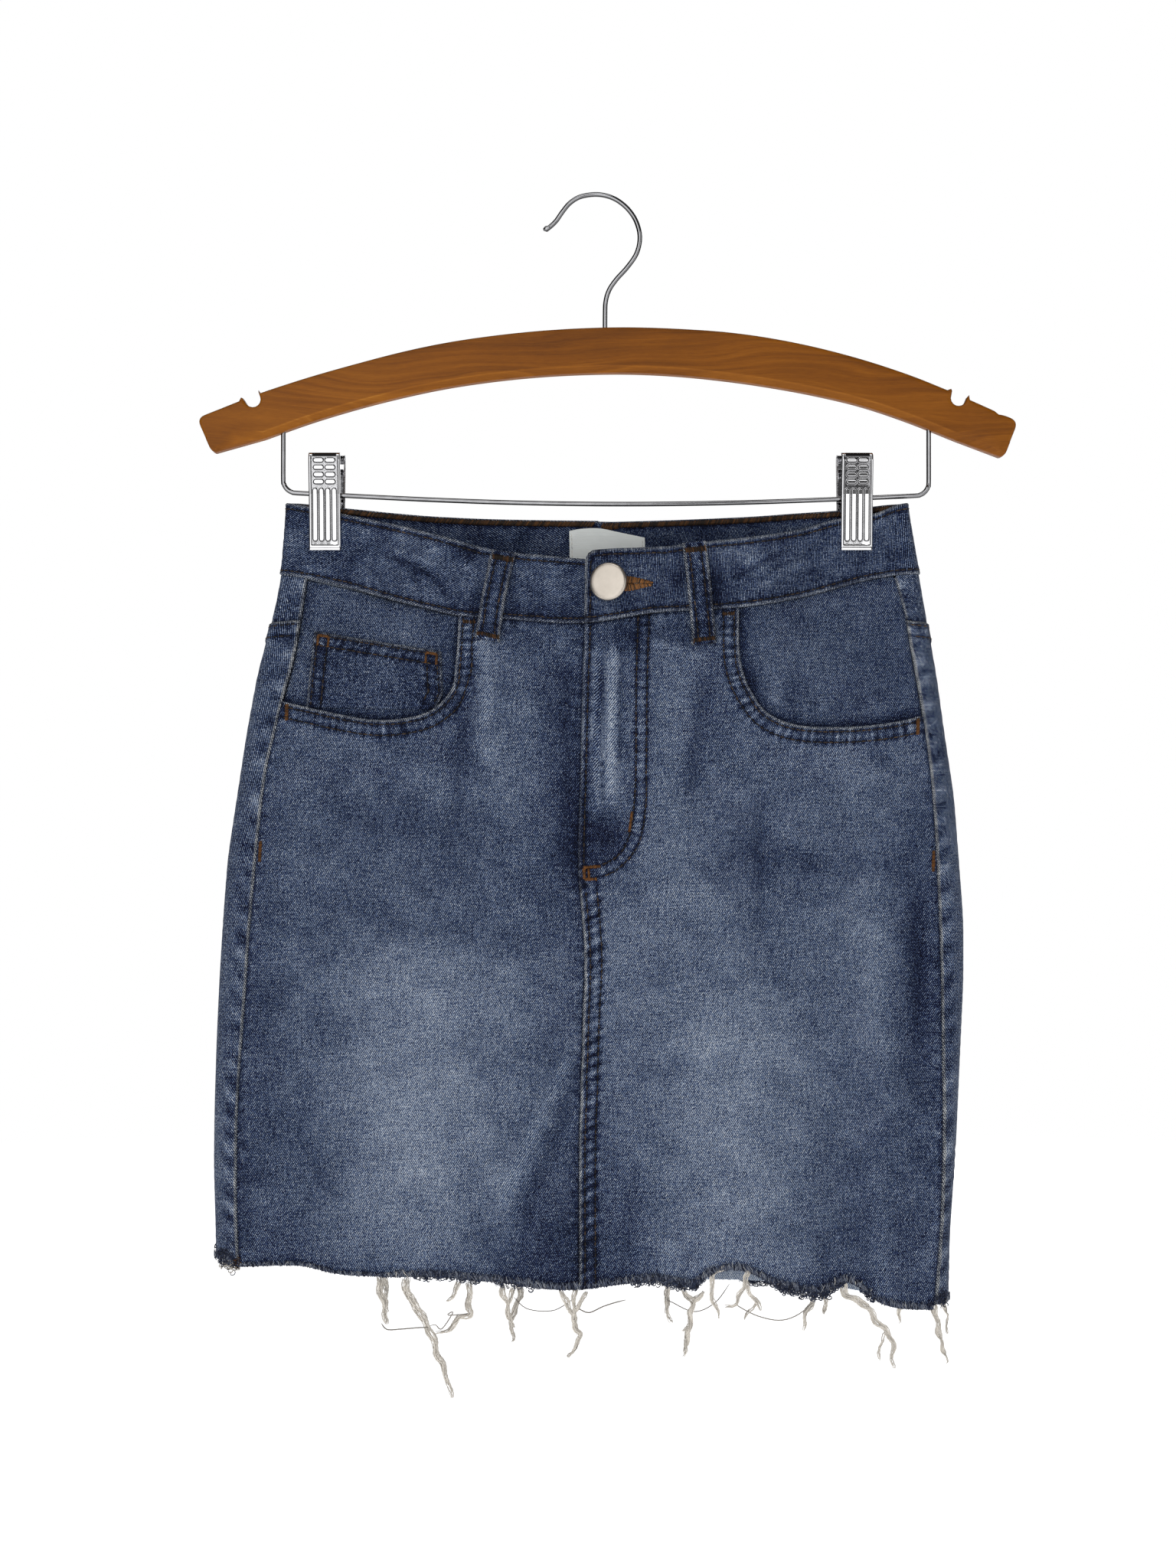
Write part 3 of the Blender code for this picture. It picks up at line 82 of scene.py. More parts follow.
CREASES = {
    # the finer ones, which only the looks have
    FRONT: (
        # waistband, left of the button
        (-126, 200, -118, 213, 5, 0.5), (-68, 190, -60, 196, 6, -0.9),
        (-88, 189, -74, 200, 6, 0.6), (-36, 197, -30, 224, 6, -0.5), (-22, 199, -24, 225, 6, 0.5),
        # waistband, right of it
        (38, 196, 36, 216, 5, -0.5), (66, 212, 84, 214, 4, -0.5),
        # fly
        (-14.5, 255, -15, 350, 6.0, -1.0), (18.4, 262, 18.6, 322, 2.6, -0.4),
        # left hip and thigh
        (-70, 262, -73, 330, 7, -1.0), (-58, 240, -56, 300, 9, 0.7), (-120, 300, -60, 318, 12, 0.5),
        (-140, 330, -70, 345, 14, -0.5), (-165, 360, -100, 372, 13, 0.5), (-110, 390, -30, 398, 14, -0.5),
        (-150, 420, -60, 432, 15, 0.5), (-48, 536, -14, 463, 7, 1.0), (-38, 548, -8, 470, 7, -1.1),
        (-72, 470, -34, 560, 12, 0.5), (-190, 470, -186, 560, 6, -0.8), (-120, 560, -118, 584, 9, -0.7),
        # right hip and thigh
        (58, 262, 52, 316, 7, -1.1), (88, 326, 87, 390, 7, -0.9), (108, 300, 150, 312, 12, 0.5),
        (70, 350, 160, 362, 14, -0.5), (40, 372, 120, 384, 13, 0.5), (30, 415, 130, 424, 15, -0.5),
        (20, 450, 110, 458, 15, 0.4), (172, 380, 173, 440, 7, -1.2), (22, 520, 12, 590, 8, -0.8),
        (40, 560, 44, 590, 8, 0.7), (120, 560, 128, 596, 8, -0.8), (150, 520, 156, 596, 9, 0.7),
    ),
    BACK: (
        (-118, 300, -60, 312, 13, 0.5), (60, 296, 122, 308, 13, 0.5), (-150, 350, -70, 366, 15, -0.5),
        (66, 352, 146, 342, 15, -0.5), (-14, 420, -40, 480, 9, -0.9), (12, 425, 36, 486, 9, -0.9),
        (-130, 420, -60, 434, 15, 0.5), (54, 418, 128, 430, 15, 0.5), (-120, 540, -116, 584, 9, -0.7),
        (88, 540, 92, 588, 9, -0.7), (-30, 540, -28, 590, 8, 0.7), (150, 300, 168, 360, 9, -0.7),
        (-152, 300, -170, 360, 9, -0.7), (-126, 186, -104, 196, 5, -0.6), (104, 196, 126, 186, 5, -0.6),
    ),
}

ARCS = (
    # on the front only: half width, height, then x and drop along it
    (2.6, -0.9, ((-112, 194.5), (-102, 197), (-92, 201.7), (-83, 208.3), (-77.5, 219.5))),
    (3.0, 0.6, ((-110, 191), (-97, 194.5), (-86, 199.5), (-77, 206), (-72.5, 216))),
    (2.4, -0.7, ((-121, 191), (-109, 193.5), (-101, 199.5), (-95, 207), (-91, 214.5))),
    (2.2, -0.7, ((-124, 200), (-117, 204), (-111, 209), (-108, 216))),
    (2.8, 0.8, ((-74, 196), (-69, 199), (-63, 204), (-60, 208))),
    (2.4, 0.6, ((-40, 203), (-31, 207), (-22, 212), (-12, 217))),
    (2.4, -0.7, ((-42, 209), (-33, 212.5), (-24, 218))),
    (2.4, -0.8, ((70, 208.5), (77, 205), (86, 199.5), (97, 194), (104, 191.5))),
    (2.6, 0.8, ((76, 200.5), (86, 196), (94, 192.5), (104, 189.5))),
    (2.4, -0.8, ((84, 209.5), (91, 205), (99, 199.5), (111, 194), (119, 191.5))),
    (2.4, 0.6, ((90, 209), (99, 204), (110, 199), (121, 195))),
    (2.2, -0.5, ((104, 207), (113, 202), (122, 199))),
    (2.6, -0.8, ((28, 234), (36, 238), (46, 240), (56, 244))),
    (2.6, 0.8, ((28, 240), (38, 243.5), (50, 247), (60, 250))),
    (2.2, 0.9, ((1.6, 240), (1.2, 270), (1.4, 300), (0.9, 336))),
    (1.5, -1.2, ((4.0, 246), (3.9, 280), (4.1, 325))),
    (4.0, 1.2, ((10.5, 240), (9.6, 262), (9.0, 300), (8.8, 330))),
    (1.6, -1.1, ((14.2, 240), (13.3, 270), (13.2, 308))),
    (2.6, -0.6, ((-66, 238), (-64, 256), (-66, 276), (-72, 292))),
    (3.4, 0.6, ((-60, 236), (-57, 256), (-58, 280), (-64, 302))),
)

# ---- Edges and seams, repeated from the part --------------------------------------------------------
# BACK_HEM alone differs: it is up to 4 mm lower between x 28 and 90, to show in the front hem's arch.
BAND_TOP_LEFT = (
    # x, drop
    (-134, 171), (-106, 177), (-70, 187), (-54, 191), (-40, 193), (-8, 196), (8, 197), (21, 196.5),
)
BAND_TOP_RIGHT = (
    (-1, 192), (9, 191), (33, 190), (58, 187), (85, 184), (111, 179), (129, 174), (149, 171),
)
BAND_TOP_SIDE = 165.0
BAND_TOP_BACK = (
    (135, 168.5), (112, 170), (59, 172.5), (10, 174), (-7, 173.5), (-59, 172.5), (-107, 170),
    (-135, 167.5),
)
BAND_TOP_CENTRE_BACK = 173.5
BAND_BOTTOM_FRONT = (
    (-138, 209), (-106, 218), (-74, 226), (-51, 228), (-6, 230.5), (33, 225), (77, 222), (111, 216),
    (149, 206),
)
BAND_HEIGHT_BACK = 38.5
CENTRE_X, UNDERLAP_X, UNDERLAP_CORNER = -5.0, 21.0, 200.0
LAP_FLAT_X, LAP_END_X = 28.0, 44.0
SIDE_SEAM = {
    -1: (
        (-154, 203), (-160, 245), (-166, 269), (-171, 290), (-175, 308), (-179, 340), (-184, 395),
        (-188, 450), (-191, 495), (-191, 545), (-189.5, 574),
    ),
    1: (
        (161, 203), (166, 222), (169, 241), (172, 258), (176, 282), (180, 313), (183, 356), (185, 400),
        (186, 450), (186, 510), (184.5, 555), (181.5, 594),
    ),
}
CENTRE_FRONT = (
    (-5, 230.5), (-6, 266), (-7, 310), (-8, 359), (-5, 404), (-6, 440), (-7, 480), (-8, 509), (-8, 587),
)
POCKET_LEFT = (
    (-166.3, 272), (-149, 276), (-130, 280), (-115, 282), (-100, 281), (-88, 277.5), (-79, 270),
    (-75, 262), (-73, 246), (-72, 226.1),
)
POCKET_RIGHT = (
    (77, 222), (77, 244), (79, 256), (84, 268), (93, 279), (110, 285), (137, 285.5), (160, 283),
    (175.3, 279.5),
)
FACING_REACH = 11.0
COIN_POCKET = ((-150, 234), (-81.5, 245.5), (-80.5, 268), (-84.5, 276.5), (-154, 275))
YOKE_SIDE, YOKE_CENTRE = 231.5, 268.0
FRONT_HEM = (
    (-189.5, 574), (-159, 573), (-132, 577), (-84, 577), (-63, 579), (-42, 581), (-24, 584), (-8, 584.5),
    (10, 582), (33, 579), (52, 582), (61, 576), (72, 573), (83, 575), (97, 582), (120, 587), (131, 582),
    (140, 584), (151, 592), (163, 596), (181.5, 597),
)
BACK_HEM = (
    (150, 592), (118, 587), (90, 587), (60, 586), (28, 586), (-3, 588), (-34, 586), (-70, 581),
    (-102, 579), (-138, 578), (-168, 576),
)
HEM_SIDE, HEM_CENTRE_BACK = {-1: 570.5, 1: 593.5}, 588.0
FLY_SHIELD = ((-14, 229.5), (26, 227), (25, 340), (14, 368), (-14, 372))
LABEL_LEFT, LABEL_RIGHT, LABEL_BOTTOM = -13.5, 27.5, 214.0
BACK_POCKET = ((-66, 0), (66, 0), (60, 112), (0, 136), (-60, 112))
BACK_POCKET_X, BACK_POCKET_DROP = 86.0, 286.0
LOOP_WIDTH, LOOP_STAND = 12.6, 2.0
LOOPS = (
    # name, side of the tube, x at the top, drop at the top, x at the bottom, drop at the bottom, sway
    ("belt_loop_front_left", FRONT, -48, 192.6, -56.5, 240, 1.4),
    ("belt_loop_front_right", FRONT, 53, 187.4, 58.5, 242, 0.6),
    ("belt_loop_back_left", BACK, -98, 170.6, -98, 221, 0.4),
    ("belt_loop_back_centre", BACK, 4, 173.8, 4, 226, -0.3),
    ("belt_loop_back_right", BACK, 98, 170.9, 98, 221, -0.4),
)
DENIM = 1.2
BAND_OUT, BAND_WALL, BAND_LIFT = 1.7, 2.6, 2.9
FACING_LEFT_OUT, FACING_RIGHT_OUT, COIN_OUT = -1.8, -0.3, -0.3
BUTTON_X, BUTTON_DROP = 9.2, 209.6

# ---- Wash and shade: how light the cloth has faded, with painted shade, as soft spots added to an even value ---
WASH_BASE = {FRONT: 0.230, BACK: 0.238}
WASH_AND_SHADE = {
    # x, drop, half width, half height, change in value
    FRONT: (
        # thighs
        (-98, 503, 64, 96, 0.125), (72, 490, 62, 112, 0.120), (-73, 430, 60, 50, 0.04),
        (150, 408, 18, 44, 0.085), (20, 440, 26, 90, 0.03), (28, 484, 16, 50, -0.055),
        (-30, 468, 16, 40, -0.04), (-150, 465, 22, 60, -0.05), (-132, 388, 26, 30, -0.03),
        # hip, with painted shade in the valley left of the fly
        (-75, 366, 70, 34, -0.05), (92, 368, 44, 46, -0.045), (30, 390, 24, 36, 0.03),
        (-134, 306, 60, 34, -0.02), (120, 320, 60, 20, 0.02), (-40, 300, 16, 46, 0.05),
        (-22, 262, 11, 34, -0.08), (-17, 330, 13, 75, -0.075), (38, 300, 14, 60, 0.05),
        # fly, with painted shadow under the waistband and beside the fly's edge
        (7, 286, 10, 40, 0.08), (5, 344, 12, 15, -0.30), (14, 237, 10, 8, -0.22), (23, 240, 6, 12, -0.12),
        (0, 240, 4, 9, -0.08), (-10, 238, 4, 8, -0.10), (16, 292, 4, 5, -0.08), (17, 303, 4, 5, -0.08),
        (14, 318, 5, 14, 0.03), (10, 369, 12, 3, -0.06), (-9, 335, 5, 70, -0.09),
        (-36, 240, 12, 9, -0.07), (3, 350, 6, 3, 0.05),
        # lower corners and side strips, with painted shade in the hollow inside the right side seam
        (154, 556, 44, 56, -0.075), (-165, 556, 40, 42, -0.06), (-6, 565, 34, 52, -0.10),
        (-34, 566, 34, 24, -0.12), (174, 418, 13, 80, -0.15), (-181, 436, 14, 110, -0.07),
        (-60, 582, 120, 6, -0.05), (80, 582, 120, 6, -0.05), (-162, 219, 9, 6, -0.09),
        (-166, 238, 6, 4, -0.09), (-171, 259, 8, 4, -0.09), (-176, 282, 8, 5, -0.08),
        (172, 222, 8, 6, -0.08), (176, 246, 6, 5, -0.08), (180, 268, 7, 5, -0.08), (184, 300, 7, 6, -0.08),
        # right pocket's facing: painted shade where the pocket's edge gapes over it, beside a lighter bulge
        (84, 262, 6, 14, -0.10), (96, 262, 5, 14, 0.06), (106, 268, 5, 12, -0.09), (120, 262, 10, 14, 0.03),
        # painted shadow on the waistband beside the belt loops, and lighter places where it is rubbed
        (-63, 216, 3.5, 16, -0.12), (-43.5, 212, 3, 20, -0.10), (44.5, 212, 3.5, 20, -0.13),
        (64.5, 218, 3, 18, -0.13), (-95, 186, 16, 10, 0.07), (-30, 208, 14, 10, 0.06),
        (88, 196, 22, 9, 0.06), (34, 206, 8, 12, 0.05),
        # dark spots on and just below the waistband, among them painted shadow under the clips' jaws, at the
        # belt loops' ends and under the waistband's lower edge
        (-135, 204, 5, 4, -0.10), (-118, 209, 4, 4, -0.09), (-106, 208.5, 3.5, 5, -0.10),
        (-66, 194.5, 7, 4.5, -0.14), (-64, 221.5, 7, 4, -0.13), (-43, 221, 4, 5, -0.09),
        (-12, 205, 5, 12, -0.10), (74, 199.6, 5, 4, -0.11),
        (64, 206, 6, 5, -0.12), (65, 217, 5, 4, -0.11), (31, 202, 4, 6, -0.08), (26, 217, 6, 4, -0.08),
        (140, 196, 7, 5, -0.06), (-152, 190, 6, 10, -0.05), (12, 222, 8, 3, -0.06), (-52, 234, 12, 3, -0.10),
        (52, 234, 14, 4, -0.12), (80, 226, 9, 3, -0.05), (30, 232, 12, 3, -0.06),
    ),
    BACK: (
        (-90, 370, 70, 70, 0.11), (88, 366, 70, 72, 0.11), (-100, 500, 60, 70, 0.05),
        (96, 505, 60, 70, 0.05), (0, 470, 26, 130, -0.07), (0, 570, 60, 40, -0.05),
        (170, 420, 22, 150, -0.05), (-174, 420, 22, 150, -0.05), (0, 584, 200, 8, -0.05),
    ),
}

# distance between the points along the cloth's edges
SPACING, FINE_SPACING = 1.6, 1.5
rng = np.random.default_rng(11)


# ---- Small helpers ---------------------------------------------------------------------------------
def smooth(value):
    """Smooth step from 0 at 0 to 1 at 1."""
    value = np.clip(value, 0.0, 1.0)
    return value * value * (3.0 - 2.0 * value)


def band(value, low, high, soft):
    """1 between two values, falling to 0 outside them."""
    return smooth((value - low) / soft + 1) * smooth((high - value) / soft + 1)


def curve(points, step):
    """Points along a Catmull-Rom curve through the given ones, about a step apart."""
    points = np.asarray(points, float)
    path = []
    for index in range(len(points) - 1):
        a, d = points[max(index - 1, 0)], points[min(index + 2, len(points) - 1)]
        b, c = points[index], points[index + 1]
        count = max(1, round(np.linalg.norm(c - b) / step))
        t = np.arange(count)[:, None] / count
        square, cube = 2 * a - 5 * b + 4 * c - d, 3 * b - a - 3 * c + d
        path.append((2 * b + t * ((c - a) + t * (square + t * cube))) / 2)
    return np.vstack(path + [points[-1:]])


def divide(points, step):
    """The same polyline with points at most a step apart, its corners kept."""
    points = np.asarray(points, float)
    path = []
    for a, b in zip(points, points[1:]):
        count = max(1, math.ceil(np.linalg.norm(b - a) / step))
        path.append(a + (b - a) * np.arange(count)[:, None] / count)
    return np.vstack(path + [points[-1:]])


def lengths(path):
    """How far along a path each of its points lies."""
    return np.concatenate(([0.0], np.cumsum(np.linalg.norm(np.diff(path, axis=0), axis=1))))


def at_length(path, distance):
    """Places on a path at the given distances along it."""
    along = lengths(path)
    return np.stack([np.interp(distance, along, path[:, axis]) for axis in range(path.shape[1])], -1)


def sideways(path):
    """Unit vectors to the left of a flat path at each of its points."""
    along = np.gradient(path, axis=0)
    along /= np.linalg.norm(along, axis=1)[:, None] + 1e-9
    return np.stack([-along[:, 1], along[:, 0]], -1)


def measure(points, path, batch=3000):
    """Distance from each point to a path, and how far along it the nearest place lies."""
    start, step = path[:-1], np.diff(path, axis=0)
    size = (step ** 2).sum(1) + 1e-12
    run = lengths(path)[:-1]
    distance, along = np.empty(len(points)), np.empty(len(points))
    for first in range(0, len(points), batch):
        part = points[first:first + batch]
        away = part[:, None] - start[None]
        t = np.clip((away * step).sum(2) / size, 0, 1)
        gap = ((away - t[..., None] * step) ** 2).sum(2)
        near = gap.argmin(1)
        rows = np.arange(len(part))
        distance[first:first + batch] = np.sqrt(gap[rows, near])
        along[first:first + batch] = run[near] + t[rows, near] * np.sqrt(size[near])
    return distance, along


def inside(points, outline):
    """Whether each point lies in a closed outline."""
    x, y = points[:, 0, None], points[:, 1, None]
    one, two = outline, np.roll(outline, -1, axis=0)
    crosses = (one[:, 1] > y) != (two[:, 1] > y)
    at = one[:, 0] + (y - one[:, 1]) / (two[:, 1] - one[:, 1] + 1e-12) * (two[:, 0] - one[:, 0])
    return (crosses & (x < at)).sum(1) % 2 == 1


# ---- Form of the cloth -----------------------------------------------------------------------------
def softened_sections(first=140.0, last=660.0, window_size=31):
    """The sections at every millimetre of drop, with the corners between their rows softened."""
    drops = np.arange(first, last + 1)
    window = np.hanning(window_size)
    columns = []
    for column in SECTIONS.T[1:]:
        padded = np.pad(np.interp(drops, SECTIONS[:, 0], column), window_size // 2, mode="edge")
        columns.append(np.convolve(padded, window / window.sum(), mode="valid"))
    return drops, columns


SOFT_DROPS, SOFT_COLUMNS = softened_sections()


def section(d):
    """Middle, half width, roll radius, front depth and back depth of the tube."""
    left, right, front, back = (np.interp(d, SOFT_DROPS, column) for column in SOFT_COLUMNS)
    roll = WAIST_ROLL + (HEM_ROLL - WAIST_ROLL) * smooth((d - BAND_BOTTOM_SIDE) / ROLL_GROWS_OVER)
    return (left + right) / 2, (right - left) / 2, roll, front, back


def fold_height(rows, x, d):
    """Height of the straight folds, each with a rounded end."""
    total = np.zeros_like(x)
    for x0, d0, x1, d1, half_width, height in rows:
        ax, ad = x1 - x0, d1 - d0
        t = np.clip(((x - x0) * ax + (d - d0) * ad) / (ax * ax + ad * ad), 0, 1)
        away = np.hypot(x - x0 - ax * t, d - d0 - ad * t) / half_width
        total += np.where(away < 1, height * np.cos(np.minimum(away, 1) * math.pi / 2) ** 2, 0)
    return total


def arc_height(x, d, fade_over=7.0):
    """Height of the curved creases, which fade at both ends."""
    places = np.stack([np.ravel(x), np.ravel(d)], -1)
    total = np.zeros(len(places))
    for half_width, height, route in ARCS:
        path = curve(route, 3.0)
        low, high = path.min(0) - half_width, path.max(0) + half_width
        near = ((places > low) & (places < high)).all(1)
        away, along = measure(places[near], path)
        fade = smooth(np.minimum(along, lengths(path)[-1] - along) / fade_over)
        total[near] += height * fade * np.cos(np.minimum(away / half_width, 1) * math.pi / 2) ** 2
    return total.reshape(np.shape(x))


def grip(x, d):
    """1 where a clip presses the cloth flat, falling to 0 around it."""
    strongest = np.zeros_like(x)
    for clip in CLIP_X:
        outward = (x - clip) * math.copysign(1, clip)
        flat = np.where(outward > 0, GRIP_OUTER, GRIP_INNER)
        fade = np.where(outward > 0, FADE_OUTER, FADE_INNER)
        held = (1 - smooth((abs(outward) - flat) / fade)) * (1 - smooth((d - GRIP_BOTTOM) / FADE_BELOW))
        strongest = np.maximum(strongest, held)
    return strongest


def tube(p, d, home):
    """X and Y of chart places on the chart that home names, FRONT or BACK."""
    middle, half, roll, front, back = section(d)
    side, q = np.sign(p) + (p == 0), abs(p)
    flat = half - roll
    turn = np.clip((q - flat) / roll, 0, math.pi)
    beyond = np.maximum(q - flat - math.pi * roll, 0)
    away = np.where(q <= flat, q, flat + roll * np.sin(turn) - beyond)
    lift = roll * np.cos(turn)
    x = middle + side * away
    in_front = (lift >= 0) == (home == FRONT)
    depth = abs(lift) + (np.where(in_front, front, back) - roll) * (1 - np.clip(away / half, 0, 1) ** 3) ** 2
    folds = np.where(
        in_front, fold_height(FOLDS[FRONT] + CREASES[FRONT], x, d) + arc_height(x, d),
        fold_height(FOLDS[BACK] + CREASES[BACK], x, d),
    )
    depth += folds * np.minimum(1, abs(lift) / roll)
    held = grip(x, d)
    depth = depth * (1 - held) + np.minimum(depth, GRIP_DEPTH) * held
    return x, np.where(in_front, -depth, depth)


def place(p, d, home, out, step=0.5):
    """World points in millimetres at chart places, moved outward."""
    p, d = np.asarray(p, float), np.asarray(d, float)
    x, y = tube(p, d, home)
    xp, yp = tube(p + step, d, home)
    xm, ym = tube(p - step, d, home)
    xd, yd = tube(p, d + step, home)
    xu, yu = tube(p, d - step, home)
    along = np.stack([xp - xm, yp - ym, np.zeros_like(x)], -1)
    down = np.stack([xd - xu, yd - yu, np.full_like(x, -2 * step)], -1)
    normal = np.cross(down, along) * home
    normal /= np.linalg.norm(normal, axis=-1)[..., None]
    return np.stack([x, y, -d], -1) + normal * np.asarray(out, float)[..., None]


def chart(points):
    """Chart places of points given as x and drop, the same for both charts."""
    points = np.asarray(points, float)
    x, d = points[:, 0], points[:, 1]
    middle, half, roll, _, _ = section(d)
    q = abs(x - middle)
    flat = half - roll
    q = np.where(q <= flat, q, flat + roll * np.arcsin(np.clip((q - flat) / roll, 0, 1)))
    return np.stack([np.copysign(q, x - middle), d], -1)


def half_round(d):
    """Distance round the tube from the centre front to the centre back."""
    _, half, roll, _, _ = section(d)
    return 2 * (half - roll) + math.pi * roll


def side_place(side, d):
    """Chart place of the tube's side at a drop."""
    return np.array([side * half_round(d) / 2, d])


def other_chart(places, side):
    """The same places on the other chart, measured from its centre line."""
    places = np.asarray(places, float)
    return np.stack([side * (half_round(places[:, 1]) - abs(places[:, 0])), places[:, 1]], -1)


# ---- Meshes ----------------------------------------------------------------------------------------
def link(name, data):
    """A new object in the scene."""
    made = bpy.data.objects.new(name, data)
    bpy.context.scene.collection.objects.link(made)
    return made


def make_mesh(name, points, faces, finish, where=None, turn=None):
    """A piece from points in millimetres and lists of faces."""
    mesh = bpy.data.meshes.new(name)
    mesh.from_pydata((np.asarray(points) * MM).tolist(), [], faces)
    mesh.shade_smooth()
    mesh.materials.append(finish)
    made = link(name, mesh)
    if where is not None:
        made.rotation_mode = "QUATERNION"
        made.location, made.rotation_quaternion = where, turn
    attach(made, "root")
    return made


def attribute(made, name, values):
    """Gives each point of a mesh a number, or three, for the shader to read."""
    values = np.asarray(values, np.float32)
    kind = "FLOAT" if values.ndim == 1 else "FLOAT_VECTOR"
    layer = made.data.attributes.new(name, kind, "POINT")
    layer.data.foreach_set("value" if values.ndim == 1 else "vector", values.ravel())


def tubes(paths, radii, sides, up=(0.0, -1.0, 0.0)):
    """Closed tubes along many paths at once: points and faces. paths is (n, k, 3), radii (n, k)."""
    paths, up = np.asarray(paths, float), np.asarray(up, float)
    count, steps, _ = paths.shape
    along = np.gradient(paths, axis=1)
    along /= np.linalg.norm(along, axis=2)[..., None] + 1e-12
    first = up - along * (along @ up)[..., None]
    first /= np.linalg.norm(first, axis=2)[..., None] + 1e-12
    second = np.cross(along, first)
    angle = np.arange(sides) / sides * 2 * math.pi
    ring = first[:, :, None] * np.cos(angle)[:, None] + second[:, :, None] * np.sin(angle)[:, None]
    points = (paths[:, :, None] + ring * np.asarray(radii)[:, :, None, None]).reshape(-1, 3)
    corner = np.arange(count * steps * sides).reshape(count, steps, sides)
    after = np.roll(corner, -1, axis=2)
    walls = np.stack([corner[:, :-1], after[:, :-1], after[:, 1:], corner[:, 1:]], -1).reshape(-1, 4)
    caps = np.concatenate([corner[:, 0, ::-1], corner[:, -1]])
    return points, walls.tolist() + caps.tolist()


class Collector:
    """Gathers many small tubes into one piece, with a tint for each."""

    def __init__(self):
        self.points, self.faces, self.tints, self.count = [], [], [], 0

    def add(self, paths, radii, sides, tints):
        """Adds a tube along each path, with one tint for each."""
        points, faces = tubes(paths, radii, sides)
        self.faces += [[index + self.count for index in face] for face in faces]
        self.points.append(points)
        self.tints.append(np.repeat(tints, len(points) // len(paths)))
        self.count += len(points)

    def piece(self, name, finish):
        """The piece that holds everything gathered so far."""
        made = make_mesh(name, np.vstack(self.points), self.faces, finish)
        attribute(made, "tint", np.concatenate(self.tints))
        return made


# ---- Shader graphs ---------------------------------------------------------------------------------
def srgb(red, green, blue):
    """Linear colour from display values of 0 to 255."""
    values = np.array([red, green, blue]) / 255
    return (*np.where(values <= 0.04045, values / 12.92, ((values + 0.055) / 1.055) ** 2.4), 1.0)


class Graph:
    """A material and short words for its nodes."""

    def __init__(self, name, **values):
        self.material = bpy.data.materials.new(name)
        self.material.use_nodes = True
        self.nodes, self.links = self.material.node_tree.nodes, self.material.node_tree.links
        self.shader = self.nodes["Principled BSDF"]
        self.shade(**values)

    def shade(self, **values):
        """Sets inputs of the shader, with underscores for the spaces in their names."""
        self.set(self.shader, values)

    def set(self, node, values):
        """Links each input that is given a socket, and sets the others."""
        for key, value in values.items():
            socket = node.inputs[key if isinstance(key, int) else key.replace("_", " ")]
            if isinstance(value, bpy.types.NodeSocket):
                self.links.new(value, socket)
            else:
                socket.default_value = value

    def add(self, kind, values=None, **settings):
        """A node with its inputs' values and its own settings."""
        node = self.nodes.new("ShaderNode" + kind)
        for key, value in settings.items():
            setattr(node, key, value)
        self.set(node, values or {})
        return node

    def math(self, operation, a, b=0.0):
        """A sum or another operation on one or two values."""
        return self.add("Math", {0: a, 1: b, 2: 0.0}, operation=operation).outputs[0]

    def plus(self, *terms):
        """The sum of any number of values."""
        total = terms[0]
        for term in terms[1:]:
            total = self.math("ADD", total, term)
        return total

    def times(self, a, b):
        return self.math("MULTIPLY", a, b)

    def spread(self, value, amount, middle=0.5):
        """(value - middle) * amount"""
        return self.times(self.math("SUBTRACT", value, middle), amount)

    def fading(self, value, low, high):
        """Smooth step from 1 at low to 0 at high."""
        return self.math("SUBTRACT", 1.0, self.step(value, low, high))

    def step(self, value, low, high):
        """Smooth step from 0 at low to 1 at high."""
        node = self.add("MapRange", {0: value, 1: low, 2: high}, interpolation_type="SMOOTHSTEP")
        return node.outputs[0]

    def split(self, vector):
        return self.add("SeparateXYZ", {0: vector}).outputs[:3]

    def join(self, x, y, z=0.0):
        return self.add("CombineXYZ", {0: x, 1: y, 2: z}).outputs[0]

    def noise(self, vector, scale, detail=2.0, roughness=0.5, distortion=0.0):
        """Noise from 0 to 1, with a scale in cycles a millimetre."""
        values = {"Vector": vector, "Scale": scale, "Detail": detail, "Roughness": roughness}
        values["Distortion"] = distortion
        return self.add("TexNoise", values).outputs[0]

    def stretched(self, directions, paces, detail=2.0, roughness=0.5, distortion=0.0, scale=1.0):
        """Noise with its own pace along each of three directions."""
        parts = [part if pace == 1 else self.times(part, pace) for part, pace in zip(directions, paces)]
        return self.noise(self.join(*parts), scale, detail, roughness, distortion)

    def attribute(self, name, output="Fac"):
        """One of the values that a mesh gives to its points."""
        return self.add("Attribute", attribute_name=name).outputs[output]

    def object_place(self):
        """Object coordinates in millimetres."""
        place_node = self.add("TexCoord").outputs["Object"]
        return self.add("VectorMath", {0: place_node, 3: 1 / MM}, operation="SCALE").outputs[0]

    def ramp(self, value, stops):
        """Colours by value. Each stop is a value and a display colour."""
        node = self.add("ValToRGB", {0: value})
        for index, (position, colour) in enumerate(stops):
            item = node.color_ramp.elements[index] if index < 2 else node.color_ramp.elements.new(position)
            item.position, item.color = position, srgb(*colour)
        return node.outputs[0]

    def mix(self, factor, one, two):
        return self.add("Mix", {0: factor, 6: one, 7: two}, data_type="RGBA").outputs[2]

    def bump(self, height, distance, strength):
        values = {"Height": height, "Distance": distance, "Strength": strength}
        return self.add("Bump", values).outputs[0]


INDIGO = (
    # value, display colour
    (0.00, (3, 6, 22)), (0.10, (12, 20, 52)), (0.169, (25, 38, 75)), (0.25, (46, 62, 93)),
    (0.294, (58, 74, 102)), (0.337, (71, 86, 113)), (0.392, (85, 100, 125)), (0.463, (104, 117, 139)),
    (0.61, (140, 151, 168)), (0.74, (168, 176, 187)), (0.90, (206, 210, 214)),
)
WORN = ((0.1, (30, 32, 38)), (0.35, (92, 93, 92)), (0.5, (130, 129, 124)), (0.8, (205, 203, 196)))


